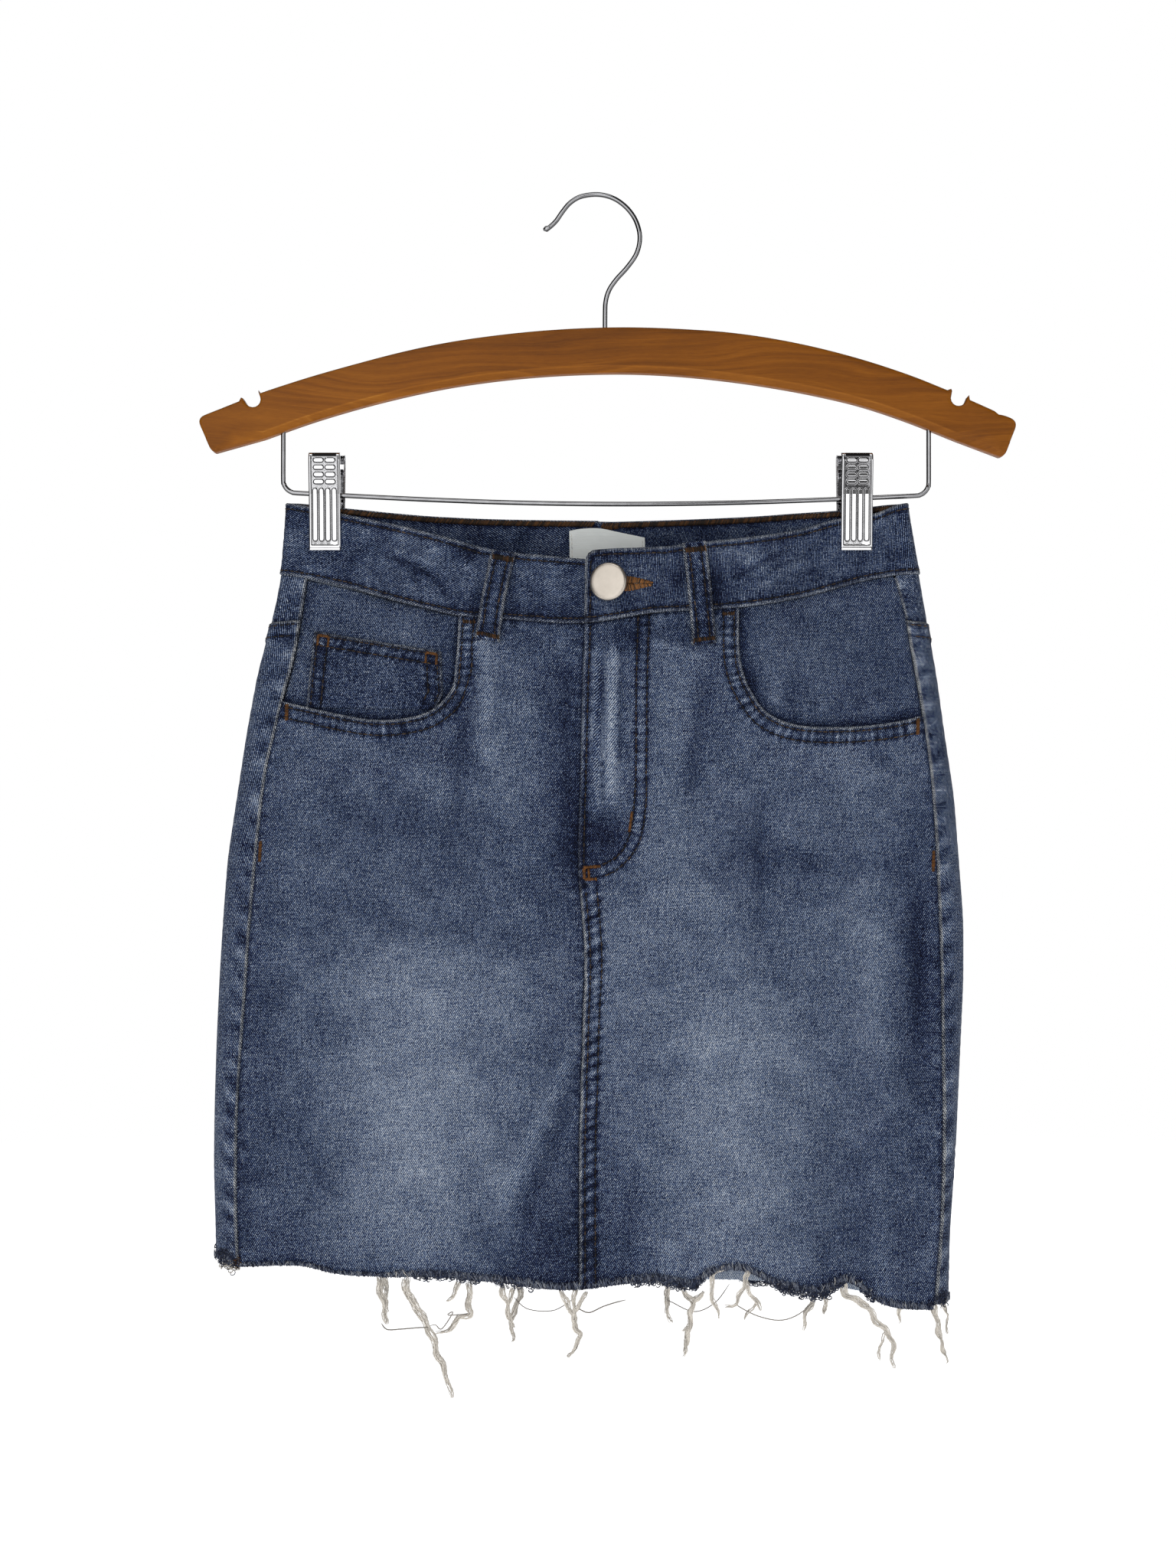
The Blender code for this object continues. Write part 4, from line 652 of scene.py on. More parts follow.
def denim(name, twill=(6.0, 3.5), mottle=0.26):
    """Washed indigo twill. twill is how fast its lines pass along u and v, in radians a millimetre."""
    g = Graph(name, Roughness=0.88, Sheen_Weight=0.05, Sheen_Roughness=0.45, Specular_IOR_Level=0.12)
    u, v, layer = g.split(g.attribute("cloth", "Vector"))
    s, away, pucker = g.split(g.attribute("seam", "Vector"))
    _, row_two, rope = g.split(g.attribute("rows", "Vector"))
    wash_and_shade = g.attribute("wash_and_shade")
    under = g.attribute("under")
    row_shade = g.attribute("row_shade")
    here = g.join(u, v, layer)

    # weave: broken diagonal lines, loose grain, and streaks along both threads
    pace = math.hypot(*twill)
    across = g.plus(g.times(u, twill[0] / pace), g.times(v, twill[1] / pace))
    along = g.plus(g.times(u, twill[1] / pace), g.times(v, -twill[0] / pace))
    wander = g.spread(g.noise(here, 0.30, 2.0), 2.4)
    line = g.math("SINE", g.plus(g.times(across, pace), wander))
    dash = g.stretched((across, along, layer), (1.4, 0.5, 1), roughness=0.6)
    grain = g.stretched((u, v, layer), (1.15, 0.95, 1), 3.0, 0.62)
    fine = g.noise(here, 2.4, 1.0)
    warp = g.stretched((u, v, layer), (1.25, 0.085, 1), roughness=0.6)
    weft = g.stretched((u, v, layer), (0.075, 1.2, 1), roughness=0.6)
    cloud = g.noise(here, 0.055, 3.0, 0.55)
    blotch = g.noise(here, 0.016)
    weave = g.plus(
        g.times(line, g.spread(dash, 0.95, 0.25)), g.spread(grain, 0.9), g.spread(fine, 1.3),
        g.spread(warp, 0.40), g.spread(weft, 0.36),
    )

    # folded edge, rows of sewing with painted shade along them, and the puckers between and beyond them
    edge = g.times(rope, g.fading(away, 1.0, 1.9))
    twist = g.math("SINE", g.plus(g.times(s, 5.4), g.times(away, 3.0)))
    uneven = g.stretched((s, 0.0, layer), (0.16, 1, 1), roughness=0.6)
    sharp = g.stretched((s, away, layer), (0.62, 0.08, 1), 1.0)
    near = g.times(g.step(away, 1.2, 2.2), g.fading(away, row_two, g.plus(row_two, 1.8)))
    sewn_here = g.math("MINIMUM", 1.0, g.times(g.math("ABSOLUTE", pucker), 4.0))
    streaks = g.times(g.spread(sharp, 0.50), g.times(near, sewn_here))
    puckered = g.plus(g.times(pucker, 0.22), streaks)
    bright = g.plus(0.15, g.times(twist, 0.07), g.spread(uneven, 0.34))
    # the darkening along the stitch rows is painted shade in the dents they sink into the cloth
    sewn = g.plus(g.times(edge, bright), puckered, g.times(row_shade, -0.32))

    value = g.plus(wash_and_shade, weave, g.spread(cloud, mottle), g.spread(blotch, 0.10), sewn)
    reverse = g.plus(0.57, g.times(weave, 0.7))
    blend = g.add("Mix", {0: under, 2: value, 3: reverse}, data_type="FLOAT").outputs[0]
    tall = g.plus(
        g.times(grain, 0.4), g.times(line, 0.20), g.times(warp, 0.25), g.times(puckered, 3.0),
        g.times(g.times(edge, twist), 0.5),
    )
    worn = g.mix(g.times(edge, 0.55), g.ramp(blend, INDIGO), g.ramp(blend, WORN))
    g.shade(Base_Color=worn, Normal=g.bump(tall, 0.00045, 0.75))
    return g.material


def thread_finish(name, dark, light, roughness=0.6):
    """Thread, from its dark colour at a tint of 0 to its light one at 1."""
    g = Graph(name, Roughness=roughness, Specular_IOR_Level=0.35)
    here = g.object_place()
    value = g.plus(g.attribute("tint"), g.spread(g.noise(here, 2.2), 0.7))
    bumps = g.bump(g.noise(here, 4.5, 1.0), 0.0003, 0.6)
    g.shade(Base_Color=g.ramp(value, ((0.0, dark), (1.0, light))), Normal=bumps)
    return g.material


def fray_finish(name):
    """Loosened fibres, from indigo at a tint of 0 to undyed at 1."""
    g = Graph(name, Roughness=0.85, Sheen_Weight=0.08, Specular_IOR_Level=0.2)
    value = g.plus(g.attribute("tint"), g.spread(g.noise(g.object_place(), 1.4), 0.25))
    g.shade(Base_Color=g.ramp(value, (
        (0.0, (12, 17, 38)), (0.35, (50, 62, 90)), (0.55, (128, 134, 146)), (0.75, (214, 208, 196)),
        (1.0, (245, 241, 233)),
    )))
    return g.material


def satin(name):
    """White ribbed satin."""
    g = Graph(name, Roughness=0.42, Sheen_Weight=0.25)
    u, v, _ = g.split(g.attribute("cloth", "Vector"))
    ribs = g.math("SINE", g.times(v, 9.0))
    cloud = g.noise(g.join(u, v), 0.12)
    threads_seen = g.stretched((u, v, 0.0), (0.2, 4.0, 1))
    value = g.plus(0.74, g.times(ribs, 0.02), g.spread(cloud, 0.14), g.spread(threads_seen, 0.12))
    colour = g.ramp(value, ((0.0, (120, 124, 124)), (1.0, (232, 236, 234))))
    g.shade(Base_Color=colour, Normal=g.bump(ribs, 0.00006, 0.5))
    return g.material


def webbing(name):
    """Navy woven zip tape."""
    g = Graph(name, Roughness=0.8, Sheen_Weight=0.2)
    u, v, _ = g.split(g.attribute("cloth", "Vector"))
    ribs = g.times(g.math("SINE", g.times(v, 6.0)), g.math("SINE", g.times(u, 5.0)))
    value = g.plus(0.5, g.times(ribs, 0.2), g.spread(g.noise(g.join(u, v), 0.5), 0.4))
    colour = g.ramp(value, ((0.0, (18, 22, 38)), (1.0, (52, 60, 84))))
    g.shade(Base_Color=colour, Normal=g.bump(ribs, 0.0001, 0.5))
    return g.material


def beech(name):
    """Varnished golden-brown wood, its grain running along X with slow arcs."""
    g = Graph(name, Coat_Weight=0.04, Coat_Roughness=0.25, Specular_IOR_Level=0.14)
    x, y, z = g.split(g.object_place())
    drift = g.spread(g.stretched((x, y, z), (0.006, 0.03, 0.02)), 60.0)
    rings = g.stretched((x, y, g.plus(z, drift)), (0.004, 0.05, 0.16), 3.0, 0.55, 0.6)
    lines = g.stretched((x, y, g.plus(z, g.times(drift, 0.5))), (0.02, 0.4, 1.5), 3.0, 0.6)
    flecks = g.stretched((x, y, z), (0.22, 1.2, 2.6))
    broad = g.stretched((x, 0.0, z), (0.012, 1, 0.03))
    # ridge and bevel lighten the colour: a painted highlight along the arm's edges and painted light on its
    # lower bevel
    value = g.plus(
        0.47, g.spread(rings, 0.75), g.spread(lines, 0.30), g.spread(flecks, 0.22), g.spread(broad, 0.45),
        g.times(g.attribute("ridge"), 0.22), g.times(g.attribute("bevel"), 0.10),
    )
    g.shade(
        Base_Color=g.ramp(value, (
            (0.0, (66, 32, 1)), (0.3, (97, 52, 2)), (0.5, (120, 67, 4)), (0.75, (142, 84, 13)),
            (1.0, (182, 122, 44)),
        )),
        Roughness=g.plus(0.42, g.spread(flecks, 0.14)),
        Normal=g.bump(g.plus(g.times(flecks, 0.6), g.times(lines, 0.5)), 0.0002, 0.25),
    )
    return g.material


def plated(name, dark, light, roughness, grain=(0.02, 0.5, 0.02), wear=0.06):
    """Plated metal with faint drawing lines and cloudy smudges, dark where its mesh says: painted shade in
    the recesses of a clip's pattern, and a painted reflection down a wire's sides.
    """
    g = Graph(name, Metallic=1.0)
    x, y, z = g.split(g.object_place())
    lines = g.stretched((x, y, z), grain, scale=6.0)
    smudge = g.noise(g.join(x, y, z), 0.14, 3.0, 0.6)
    value = g.plus(0.6, g.spread(smudge, 0.8), g.spread(lines, 0.3))
    clean = g.ramp(value, ((0.0, dark), (1.0, light)))
    # the mix towards dark grey is painted shade and painted reflection
    g.shade(
        Base_Color=g.mix(g.attribute("painted_shade_and_reflection"), clean, srgb(26, 25, 26)),
        Roughness=g.plus(roughness, g.spread(smudge, wear), g.spread(lines, wear * 0.6)),
    )
    if roughness > 0.2:
        g.shade(Normal=g.bump(lines, 0.00003, 0.3))
    return g.material


FINISH = {
    "denim": denim("denim_washed"),
    "band_left": denim("denim_waistband", twill=(3.5, 6.0), mottle=0.60),
    "band_right": denim("denim_waistband_ribbed", twill=(7.4, 0.6), mottle=0.60),
    "loop": denim("denim_belt_loop", twill=(5.4, -4.2), mottle=0.50),
    "facing": denim("denim_facing"),
    "stitch": thread_finish("topstitch_thread", (8, 7, 7), (98, 78, 56)),
    "bartack": thread_finish("bartack_thread", (18, 13, 9), (150, 98, 46)),
    "fray": fray_finish("loose_threads"),
    "undyed": thread_finish("undyed_threads", (104, 97, 90), (226, 220, 210), 0.8),
    "satin": satin("label_satin"),
    "wood": beech("beech"),
    "chrome": plated("chrome_plate", (176, 176, 178), (228, 228, 230), 0.055, wear=0.02),
    "wire": plated("wire_plate", (112, 112, 114), (176, 176, 178), 0.10, wear=0.03),
    "button": plated("button_metal", (154, 146, 136), (194, 186, 176), 0.34, grain=(0.5, 0.5, 0.06)),
    "tape": webbing("zip_webbing"),
}


# ---- Seams and pieces of cloth ----------------------------------------------------------------------
class Seam:
    """A sewn or folded edge.

    rows are the distances of its stitch rows from the path, and reach is how far its puckers go. rope,
    pucker and raised are the strength of its rounded edge, its puckers and its thickness.
    """

    def __init__(self, path, rows=(), rope=1.0, pucker=1.0, raised=0.5, pitch=6.0, slant=0.35, reach=None,
                 shadow=0.0, shadow_width=1.6, folded=True):
        self.path = divide(path, 1.4)
        self.rows, self.rope, self.pucker, self.raised, self.slant = rows, rope, pucker, raised, slant
        self.shadow, self.shadow_width, self.folded = shadow, shadow_width, folded
        self.reach = reach or (rows[-1] + 0.9 if rows else 3.0)
        spare = 20
        count = int((lengths(self.path)[-1] + 2 * spare) / (pitch / 2)) + 2
        self.knots = np.cumsum(pitch / 2 * rng.uniform(0.55, 1.45, count)) - spare
        self.heights = rng.uniform(0.35, 1.0, count) * np.where(np.arange(count) % 2, 1, -1)

    def pattern(self, along, away):
        """Puckers, from -1 to 1, strongest inside the sewn strip."""
        value = np.interp(along + self.slant * away, self.knots, self.heights)
        start = smooth(away / 1.6) if self.folded else 1.0
        return value * start * (1 - smooth((away - self.reach) / 3.4)) ** 1.5

    def row_shade(self, away):
        """1 along each row of stitches, falling to 0 beside it: where painted shade darkens the dents that
        the rows sink into the cloth.
        """
        return sum((np.exp(-((away - row) / 0.95) ** 2) for row in self.rows), np.zeros(len(away)))

    def relief(self, along, away):
        """Height of the seam above the flat cloth."""
        rise = self.raised * (1 - smooth((away - self.reach) / 1.5))
        rise += self.rope * 0.24 * np.exp(-((away - 1.0) / 0.65) ** 2)
        for row in self.rows:
            rise -= 0.16 * np.exp(-((away - row) / 0.55) ** 2)
        return rise + 0.32 * self.pucker * self.pattern(along, away)


def signed_area(outline):
    """The outline's area, negative where it runs the other way round."""
    after = np.roll(outline, -1, axis=0)
    return (outline[:, 0] * after[:, 1] - after[:, 0] * outline[:, 1]).sum() / 2


def turned(outline):
    """The outline in the order that the triangulation asks for, without its closing point."""
    outline = np.asarray(outline)
    if np.linalg.norm(outline[0] - outline[-1]) < 1e-6:
        outline = outline[:-1]
    return outline if signed_area(outline) > 0 else outline[::-1]


def closed(outline):
    """The outline with its first point again at its end."""
    return np.vstack([outline, outline[:1]])


def thinned(points, gaps):
    """The points without those that lie nearer to an earlier one than their own gap."""
    tree = KDTree(len(points))
    for index, (p, d) in enumerate(points):
        tree.insert((p, d, 0), index)
    tree.balance()
    keep = np.ones(len(points), bool)
    widest = gaps.max()
    for index, (p, d) in enumerate(points):
        if keep[index]:
            for _, other, distance in tree.find_range((p, d, 0), widest):
                if other > index and distance < gaps[other]:
                    keep[other] = False
    return points[keep]


def net(loops, ring_distances, rows, grid):
    """Triangles over an outline with holes: rings near the edges, the given rows, and a grid."""
    edges = [closed(loop) for loop in loops]
    rings = []
    for loop in edges:
        inner = sideways(loop) * (1 if loop is edges[0] else -1)
        rings += [(loop + inner * distance)[:-1] for distance in ring_distances]
    low, high = loops[0].min(0), loops[0].max(0)
    p, d = np.meshgrid(np.arange(low[0], high[0], grid), np.arange(low[1], high[1], grid * 0.87))
    p[1::2] += grid / 2
    spread = np.stack([p.ravel(), d.ravel()], -1)
    groups = [(np.vstack(rings), 0.3, 0.5)] + ([(np.vstack(rows), 0.9, 0.62)] if rows else [])
    groups.append((spread, max(0.9, ring_distances[-1] + 0.5), grid * 0.62))
    points = np.vstack([group for group, _, _ in groups])
    margins = np.concatenate([np.full(len(group), margin) for group, margin, _ in groups])
    gaps = np.concatenate([np.full(len(group), gap) for group, _, gap in groups])
    edge = np.minimum.reduce([measure(points, loop)[0] for loop in edges])
    good = inside(points, loops[0]) & (edge > np.minimum(margins, ring_distances[0] * 0.7 + margins * 0.5))
    for hole in loops[1:]:
        good &= ~inside(points, hole)
    points = thinned(points[good], gaps[good])
    everything, starts = np.vstack(loops + [points]), np.cumsum([0] + [len(loop) for loop in loops])
    bounds = [list(range(a, b)) for a, b in zip(starts, starts[1:])]
    flat = [Vector(point) for point in everything.tolist()]
    verts, _, faces, _, _, owners = delaunay_2d_cdt(flat, [], bounds, 1, 1e-4)
    kept = [list(face) for face, owner in zip(faces, owners) if 0 in owner and len(owner) == 1]
    used = sorted({index for face in kept for index in face})
    number = {index: at for at, index in enumerate(used)}
    points = np.array([tuple(verts[index]) for index in used])
    return points, [[number[index] for index in face] for face in kept]


def shell(faces, count):
    """A net's faces, a copy of them whose points come count later, and the walls between the two."""
    copy = [[index + count for index in face[::-1]] for face in faces]
    sides = {(a, b) for face in faces for a, b in zip(face, face[1:] + face[:1])}
    return faces + copy + [[b, a, a + count, b + count] for a, b in sorted(sides) if (b, a) not in sides]


class Cloth:
    """A thin closed shell over an outline on a chart.

    top and under say how far out its faces lie. layer is a place of its own in the weave's noise. reverse
    is 1 for a pale wrong side, and shade and under_shade lighten or darken the faded value of the two faces;
    under_shade darkens the inner face as painted shade.
    """

    RIM, ROUNDING = 0.45, 0.36

    def __init__(self, name, outline, top, under, home, finish, seams=(), hole=None, reverse=1.0, grid=3.3,
                 layer=0.0, shade=0.0, under_shade=0.0):
        self.top, self.under, self.home, self.seams = top, under, home, seams
        self.outline = turned(outline)
        loops = [self.outline] if hole is None else [self.outline, turned(hole)]
        flat, faces = net(loops, (self.RIM,), self.rows(), grid)
        count = len(flat)
        edge = np.minimum.reduce([measure(flat, closed(loop))[0] for loop in loops])
        rounding = self.ROUNDING * (1 - np.minimum(1, edge / self.RIM)) ** 2
        tall, seam, rows, row_shade, shadow = self.reading(flat)
        upper = place(*flat.T, home, self.level(flat, top) + tall - rounding)
        lower = place(*flat.T, home, self.level(flat, under) + rounding * 0.3)
        outward = [face[::-1] if home == FRONT else face for face in faces]
        self.piece = make_mesh(name, np.vstack([upper, lower]), shell(outward, count), FINISH[finish])
        layered = np.column_stack([flat, np.full(count, layer)])
        for key, values in (("cloth", layered), ("seam", seam), ("rows", rows), ("row_shade", row_shade)):
            attribute(self.piece, key, np.concatenate([values, values]))
        attribute(self.piece, "under", np.repeat((0.0, reverse), count))
        # faded value with painted shade: the dark spots, the seams' painted shadows and the darker inner face
        wash_and_shade = wash_and_shade_at(upper) + shade + shadow
        attribute(self.piece, "wash_and_shade", np.concatenate([wash_and_shade, wash_and_shade + under_shade]))

    @staticmethod
    def level(points, amount):
        """An amount at each point, from a number or from a function of the points."""
        return amount(points) if callable(amount) else np.full(len(points), float(amount))

    def rows(self):
        """Lines of points along the seams, where the mesh has to follow their relief."""
        rows = []
        for one in self.seams:
            levels = [0.95, 1.7, *one.rows, one.reach, one.reach + 1.5, one.reach + 4.0]
            levels += [row + 0.8 * side for row in one.rows for side in (-1, 1) if row > 1]
            levels += [(a + b) / 2 for a, b in zip(one.rows, one.rows[1:]) if b - a > 3]
            for level in levels:
                rows += [one.path + sideways(one.path) * level * side for side in (1, -1)]
        return rows

    def reading(self, points):
        """Relief of the seams, and what the shader needs to know of the nearest one."""
        count = len(points)
        tall, row_shade, shadow = np.zeros((3, count))
        near = np.full(count, 1e3)
        seam, rows = np.tile((0.0, 60.0, 0.0), (count, 1)), np.tile((2.0, 4.0, 0.0), (count, 1))
        for one in self.seams:
            away, along = measure(points, one.path)
            tall += one.relief(along, away)
            row_shade = np.maximum(row_shade, one.row_shade(away))
            shadow -= one.shadow * np.exp(-(away / one.shadow_width) ** 2)
            first, last = (one.rows[0], one.rows[-1]) if one.rows else (1.6, 3.6)
            closer = away < near
            near = np.minimum(away, near)
            seam[closer] = np.stack([along, away, one.pattern(along, away) * one.pucker], -1)[closer]
            rows[closer] = (first, last, one.rope)
        return tall, seam, rows, row_shade, shadow

    def on(self, points, extra=0.0):
        """Places on the cloth's outer face, moved away from it."""
        height = self.level(points, self.top) + self.reading(points)[0]
        return place(*points.T, self.home, height + extra)

    def behind(self, points, extra=0.0):
        """Places on the cloth's inner face, moved away from it."""
        return place(*points.T, self.home, self.level(points, self.under) - extra)


def wash_and_shade_at(points):
    """How light the cloth has faded at world points in millimetres, with painted shade from the dark spots
    and painted shade and highlight along the creases.
    """
    x, y, d = points[:, 0], points[:, 1], -points[:, 2]
    total = np.zeros(len(points))
    for home in (FRONT, BACK):
        value = np.full(len(points), WASH_BASE[home])
        for x0, d0, half_width, half_height, change in WASH_AND_SHADE[home]:
            value += change * np.exp(-(((x - x0) / half_width) ** 2 + ((d - d0) / half_height) ** 2))
        # lighter on the creases' crests and darker in their troughs: partly rubbed wear, partly painted shade
        # and highlight
        value += 0.085 * fold_height(CREASES[home], x, d) + 0.010 * fold_height(FOLDS[home], x, d)
        if home == FRONT:
            value += 0.17 * arc_height(x, d)
        total += value * smooth(0.5 - home * y / 8)
    return total


# ---- Sewing ----------------------------------------------------------------------------------------
stitches, bartacks = Collector(), Collector()


def tints(middle, spread, count):
    """A random tint from 0 to 1 for each thread."""
    return np.clip(rng.normal(middle, spread, count), 0, 1)


def inward(path, distance, outline):
    """The path moved into the outline by a distance."""
    path = np.asarray(path)
    for side in (1, -1):
        moved = path + sideways(path) * distance * side
        middle = at_length(moved, np.linspace(0.2, 0.8, 7) * lengths(moved)[-1])
        if inside(middle, outline).sum() > 3:
            return moved
    return path


def sew(cloth, path, distances, start=1.5, end=1.5, pitch=2.95, radius=0.37, collector=stitches, tint=0.16,
        behind=False):
    """Rows of stitches along a path, inside the cloth's outline by the given distances."""
    part = np.linspace(0, 1, 5)
    swell = np.sin(part * math.pi)
    for distance in distances:
        line = inward(divide(path, 1.2), distance, cloth.outline)
        starts = np.arange(start, lengths(line)[-1] - end - pitch * 0.8, pitch)
        count = len(starts)
        starts = starts + rng.normal(0, 0.07, count)
        along = (starts[:, None] + pitch * 0.83 * part).ravel()
        flat = at_length(line, along) + rng.normal(0, 0.05, (len(along), 2))
        paths = (cloth.behind if behind else cloth.on)(flat, np.tile(swell * 0.30 - 0.10, count))
        radii = np.tile(radius * (0.62 + 0.38 * swell), (count, 1))
        collector.add(paths.reshape(count, 5, 3), radii, 4, tints(tint, 0.18, count))


def bartack(cloth, one, two, width=1.5, tint=0.42, behind=False):
    """A dense bar of thread from one chart place to another."""
    one, two = np.asarray(one, float), np.asarray(two, float)
    size = np.linalg.norm(two - one)
    count = max(6, int(size / 0.5))
    along = (two - one) / size
    across = np.array([-along[1], along[0]])
    part = np.linspace(-1, 1, 5)
    middles = one + along * (np.arange(count)[:, None] + 0.5) / count * size
    jitter = rng.normal(0, 0.10, (count, 1))
    sway = across * (part[:, None] * width / 2) * (1 + jitter[:, None])
    flat = middles[:, None] + sway + along * part[:, None] * 0.16
    rise = np.tile(np.cos(part * math.pi / 2) ** 0.5 * 0.5 - 0.05, count)
    paths = (cloth.behind if behind else cloth.on)(flat.reshape(-1, 2), rise).reshape(count, 5, 3)
    bartacks.add(paths, np.full((count, 5), 0.31), 3, tints(tint, 0.16, count))


# ---- Lines that the pieces share ---------------------------------------------------------------------
def whole_round(front_points, side_drop, back_points, centre_drop):
    """A level line round the tube on the front chart, from the centre back by the left side to it."""
    rows = [chart(front_points)] + [[side_place(side, side_drop)] for side in (-1, 1)]
    for side in (-1, 1):
        rows.append(other_chart(chart([point for point in back_points if side * point[0] > 8]), side))
        rows.append([[side * half_round(centre_drop), centre_drop]])
    rows = np.vstack(rows)
    return curve(rows[np.argsort(rows[:, 0])], SPACING)


BAND_BOTTOM = whole_round(
    BAND_BOTTOM_FRONT, BAND_BOTTOM_SIDE, [(x, drop + BAND_HEIGHT_BACK) for x, drop in BAND_TOP_BACK],
    BAND_TOP_CENTRE_BACK + BAND_HEIGHT_BACK,
)


def stretch(path, start, end):
    """The part of a left to right path between two distances round."""
    inner = path[(path[:, 0] > start + 0.3) & (path[:, 0] < end - 0.3)]
    ends = [[at, np.interp(at, path[:, 0], path[:, 1])] for at in (start, end)]
    return np.vstack([ends[:1], inner, ends[1:]])


def between_drops(path, top, bottom):
    """The part of a downward path between two drops."""
    inner = path[(path[:, 1] > top + 0.3) & (path[:, 1] < bottom - 0.3)]
    ends = [[np.interp(at, path[:, 1], path[:, 0]), at] for at in (top, bottom)]
    return np.vstack([ends[:1], inner, ends[1:]])


def joined(*paths):
    """One path from several, in their order."""
    return np.vstack(paths)


SIDES = {side: chart(curve(SIDE_SEAM[side], SPACING)) for side in (-1, 1)}
CENTRE = chart(curve(CENTRE_FRONT, SPACING))
CENTRE_TOP = np.interp(CENTRE[0, 0], BAND_BOTTOM[:, 0], BAND_BOTTOM[:, 1])
FRONT_HEM_LINE = chart(curve(FRONT_HEM, SPACING))
CENTRE_HEM = np.interp(CENTRE[-1, 0], FRONT_HEM_LINE[:, 0], FRONT_HEM_LINE[:, 1])
CENTRE = between_drops(CENTRE, CENTRE_TOP, CENTRE_HEM)


def pocket_line(points):
    """Pocket opening from its upper end on the waistband to its end on the side seam."""
    line = chart(curve(points, FINE_SPACING))
    if line[0, 1] > line[-1, 1]:
        line = line[::-1]
    line[0, 1] = np.interp(line[0, 0], BAND_BOTTOM[:, 0], BAND_BOTTOM[:, 1])
    return line


POCKETS = {-1: pocket_line(POCKET_LEFT), 1: pocket_line(POCKET_RIGHT)}
POCKET_ROWS, CENTRE_ROWS = (2.5, 8.2), (3.2, 8.9)
FLY_OUTER = chart(curve((
    (29.3, 224.5), (28, 265), (27.6, 306), (27.3, 328), (23.7, 347.5), (14.8, 359), (7.2, 364),
    (-1.8, 366.3), (-5.6, 366.5),
), SPACING))
FLY_INNER = chart(curve((
    (23.4, 225.5), (22.3, 265), (22.1, 306), (21.2, 326), (18.4, 344), (13.5, 353), (7, 357.5),
    (0, 359.6), (-5.8, 360),
), SPACING))
FLY_MIDDLE = sum(
    at_length(line, np.linspace(0, 0.97, 110) * lengths(line)[-1]) for line in (FLY_OUTER, FLY_INNER)
) / 2
FLY_END, FLY_ROWS = 369.5, (3.0,)
FLY_TACKS = (
    # from and to as x and drop, width
    ((-5.2, 360.2), (3.4, 359.6), 1.4), ((-4.6, 366.5), (1.6, 366.3), 1.5),
    ((-4.9, 360.6), (-4.7, 366.2), 1.6), ((-2.6, 361), (-2.2, 365.8), 1.0),
)
POCKET_TACK_DROP = {-1: 352, 1: 358}
WORD = {-1: "left", 1: "right"}


# ---- Front panels ----------------------------------------------------------------------------------
def front_panel(side):
    """A front panel with its stitching. The right one laps over the left and carries the fly's rows."""
    pocket, seam_side = POCKETS[side], SIDES[side]
    low = between_drops(seam_side, pocket[-1, 1], seam_side[-1, 1])
    hem = FRONT_HEM_LINE[side * (FRONT_HEM_LINE[:, 0] - CENTRE[-1, 0]) > 0.4]
    band_edge = stretch(BAND_BOTTOM, *sorted((CENTRE[0, 0], pocket[0, 0])))
    outline = joined(band_edge[::side][:-1], pocket, low[1:], hem[::-side][1:], CENTRE[::-1][:-1])
    lower_centre = between_drops(CENTRE, FLY_END, CENTRE_HEM)
    upper_centre = between_drops(CENTRE, CENTRE_TOP, FLY_END)
    seams = [
        Seam(pocket, POCKET_ROWS, rope=0.85, pucker=1.0, raised=0.75, pitch=4.2, slant=0.1),
        Seam(low, rope=0.0, pucker=0.5, raised=0.2, pitch=9.0, reach=2.6, shadow=0.15, shadow_width=1.5),
        Seam(
            band_edge, rope=0.0, pucker=0.75, raised=-0.25, pitch=7.0, reach=1.6, shadow=0.18,
            shadow_width=1.8,
        ),
        Seam(hem, rope=0.0, pucker=0.5, raised=-0.1, pitch=3.4, reach=2.0, shadow=0.16, shadow_width=4.0),
    ]
    if side > 0:
        seams += [
            Seam(lower_centre, CENTRE_ROWS, rope=1.0, pucker=1.15, raised=0.85, pitch=6.2, slant=0.5),
            Seam(upper_centre, FLY_ROWS, rope=0.5, pucker=0.5, raised=0.85, pitch=8.0, reach=5.0),
            Seam(FLY_MIDDLE, (2.8,), rope=0.0, pucker=0.8, raised=0.25, pitch=4.8, reach=2.9, folded=False),
        ]
    else:
        seams.append(Seam(
            CENTRE, rope=0.0, pucker=0.45, raised=-0.45, pitch=7.0, reach=4.0, shadow=0.12, shadow_width=2.6,
        ))
    made = Cloth("cloth_front_" + WORD[side], outline, DENIM, 0.0, FRONT, "denim", seams, layer=3.0 * side)
    sew(made, pocket, POCKET_ROWS)
    if side > 0:
        sew(made, lower_centre, CENTRE_ROWS, start=4.0)
        sew(made, upper_centre, FLY_ROWS)
        sew(made, FLY_OUTER, (0.01,), end=9.0)
        sew(made, FLY_INNER, (0.01,), end=8.0)
        bartack(made, *chart([(20.0, 330.5), (18.6, 341.5)]), width=1.2, tint=0.5)
        for one, two, width in FLY_TACKS:
            bartack(made, *chart((one, two)), width=width, tint=0.55)
    start = at_length(pocket, [3.2])[0]
    for distance in (4.2, 7.6):
        at = start + np.array([-side * distance, 0.6 * distance * 0.1])
        bartack(made, at - [1.5, 0], at + [1.5, 0], width=1.7, tint=0.14)
    finish = at_length(pocket, [lengths(pocket)[-1] - 2.4])[0]
    bartack(made, finish + [0, 0.9], finish + [0, 9.6], width=1.8)
    at = seam_side[np.abs(seam_side[:, 1] - POCKET_TACK_DROP[side]).argmin()]
    bartack(made, at + [-2.0 * side, -6], at + [-1.8 * side, 5], width=1.7)
    return made


fronts = {side: front_panel(side) for side in (-1, 1)}


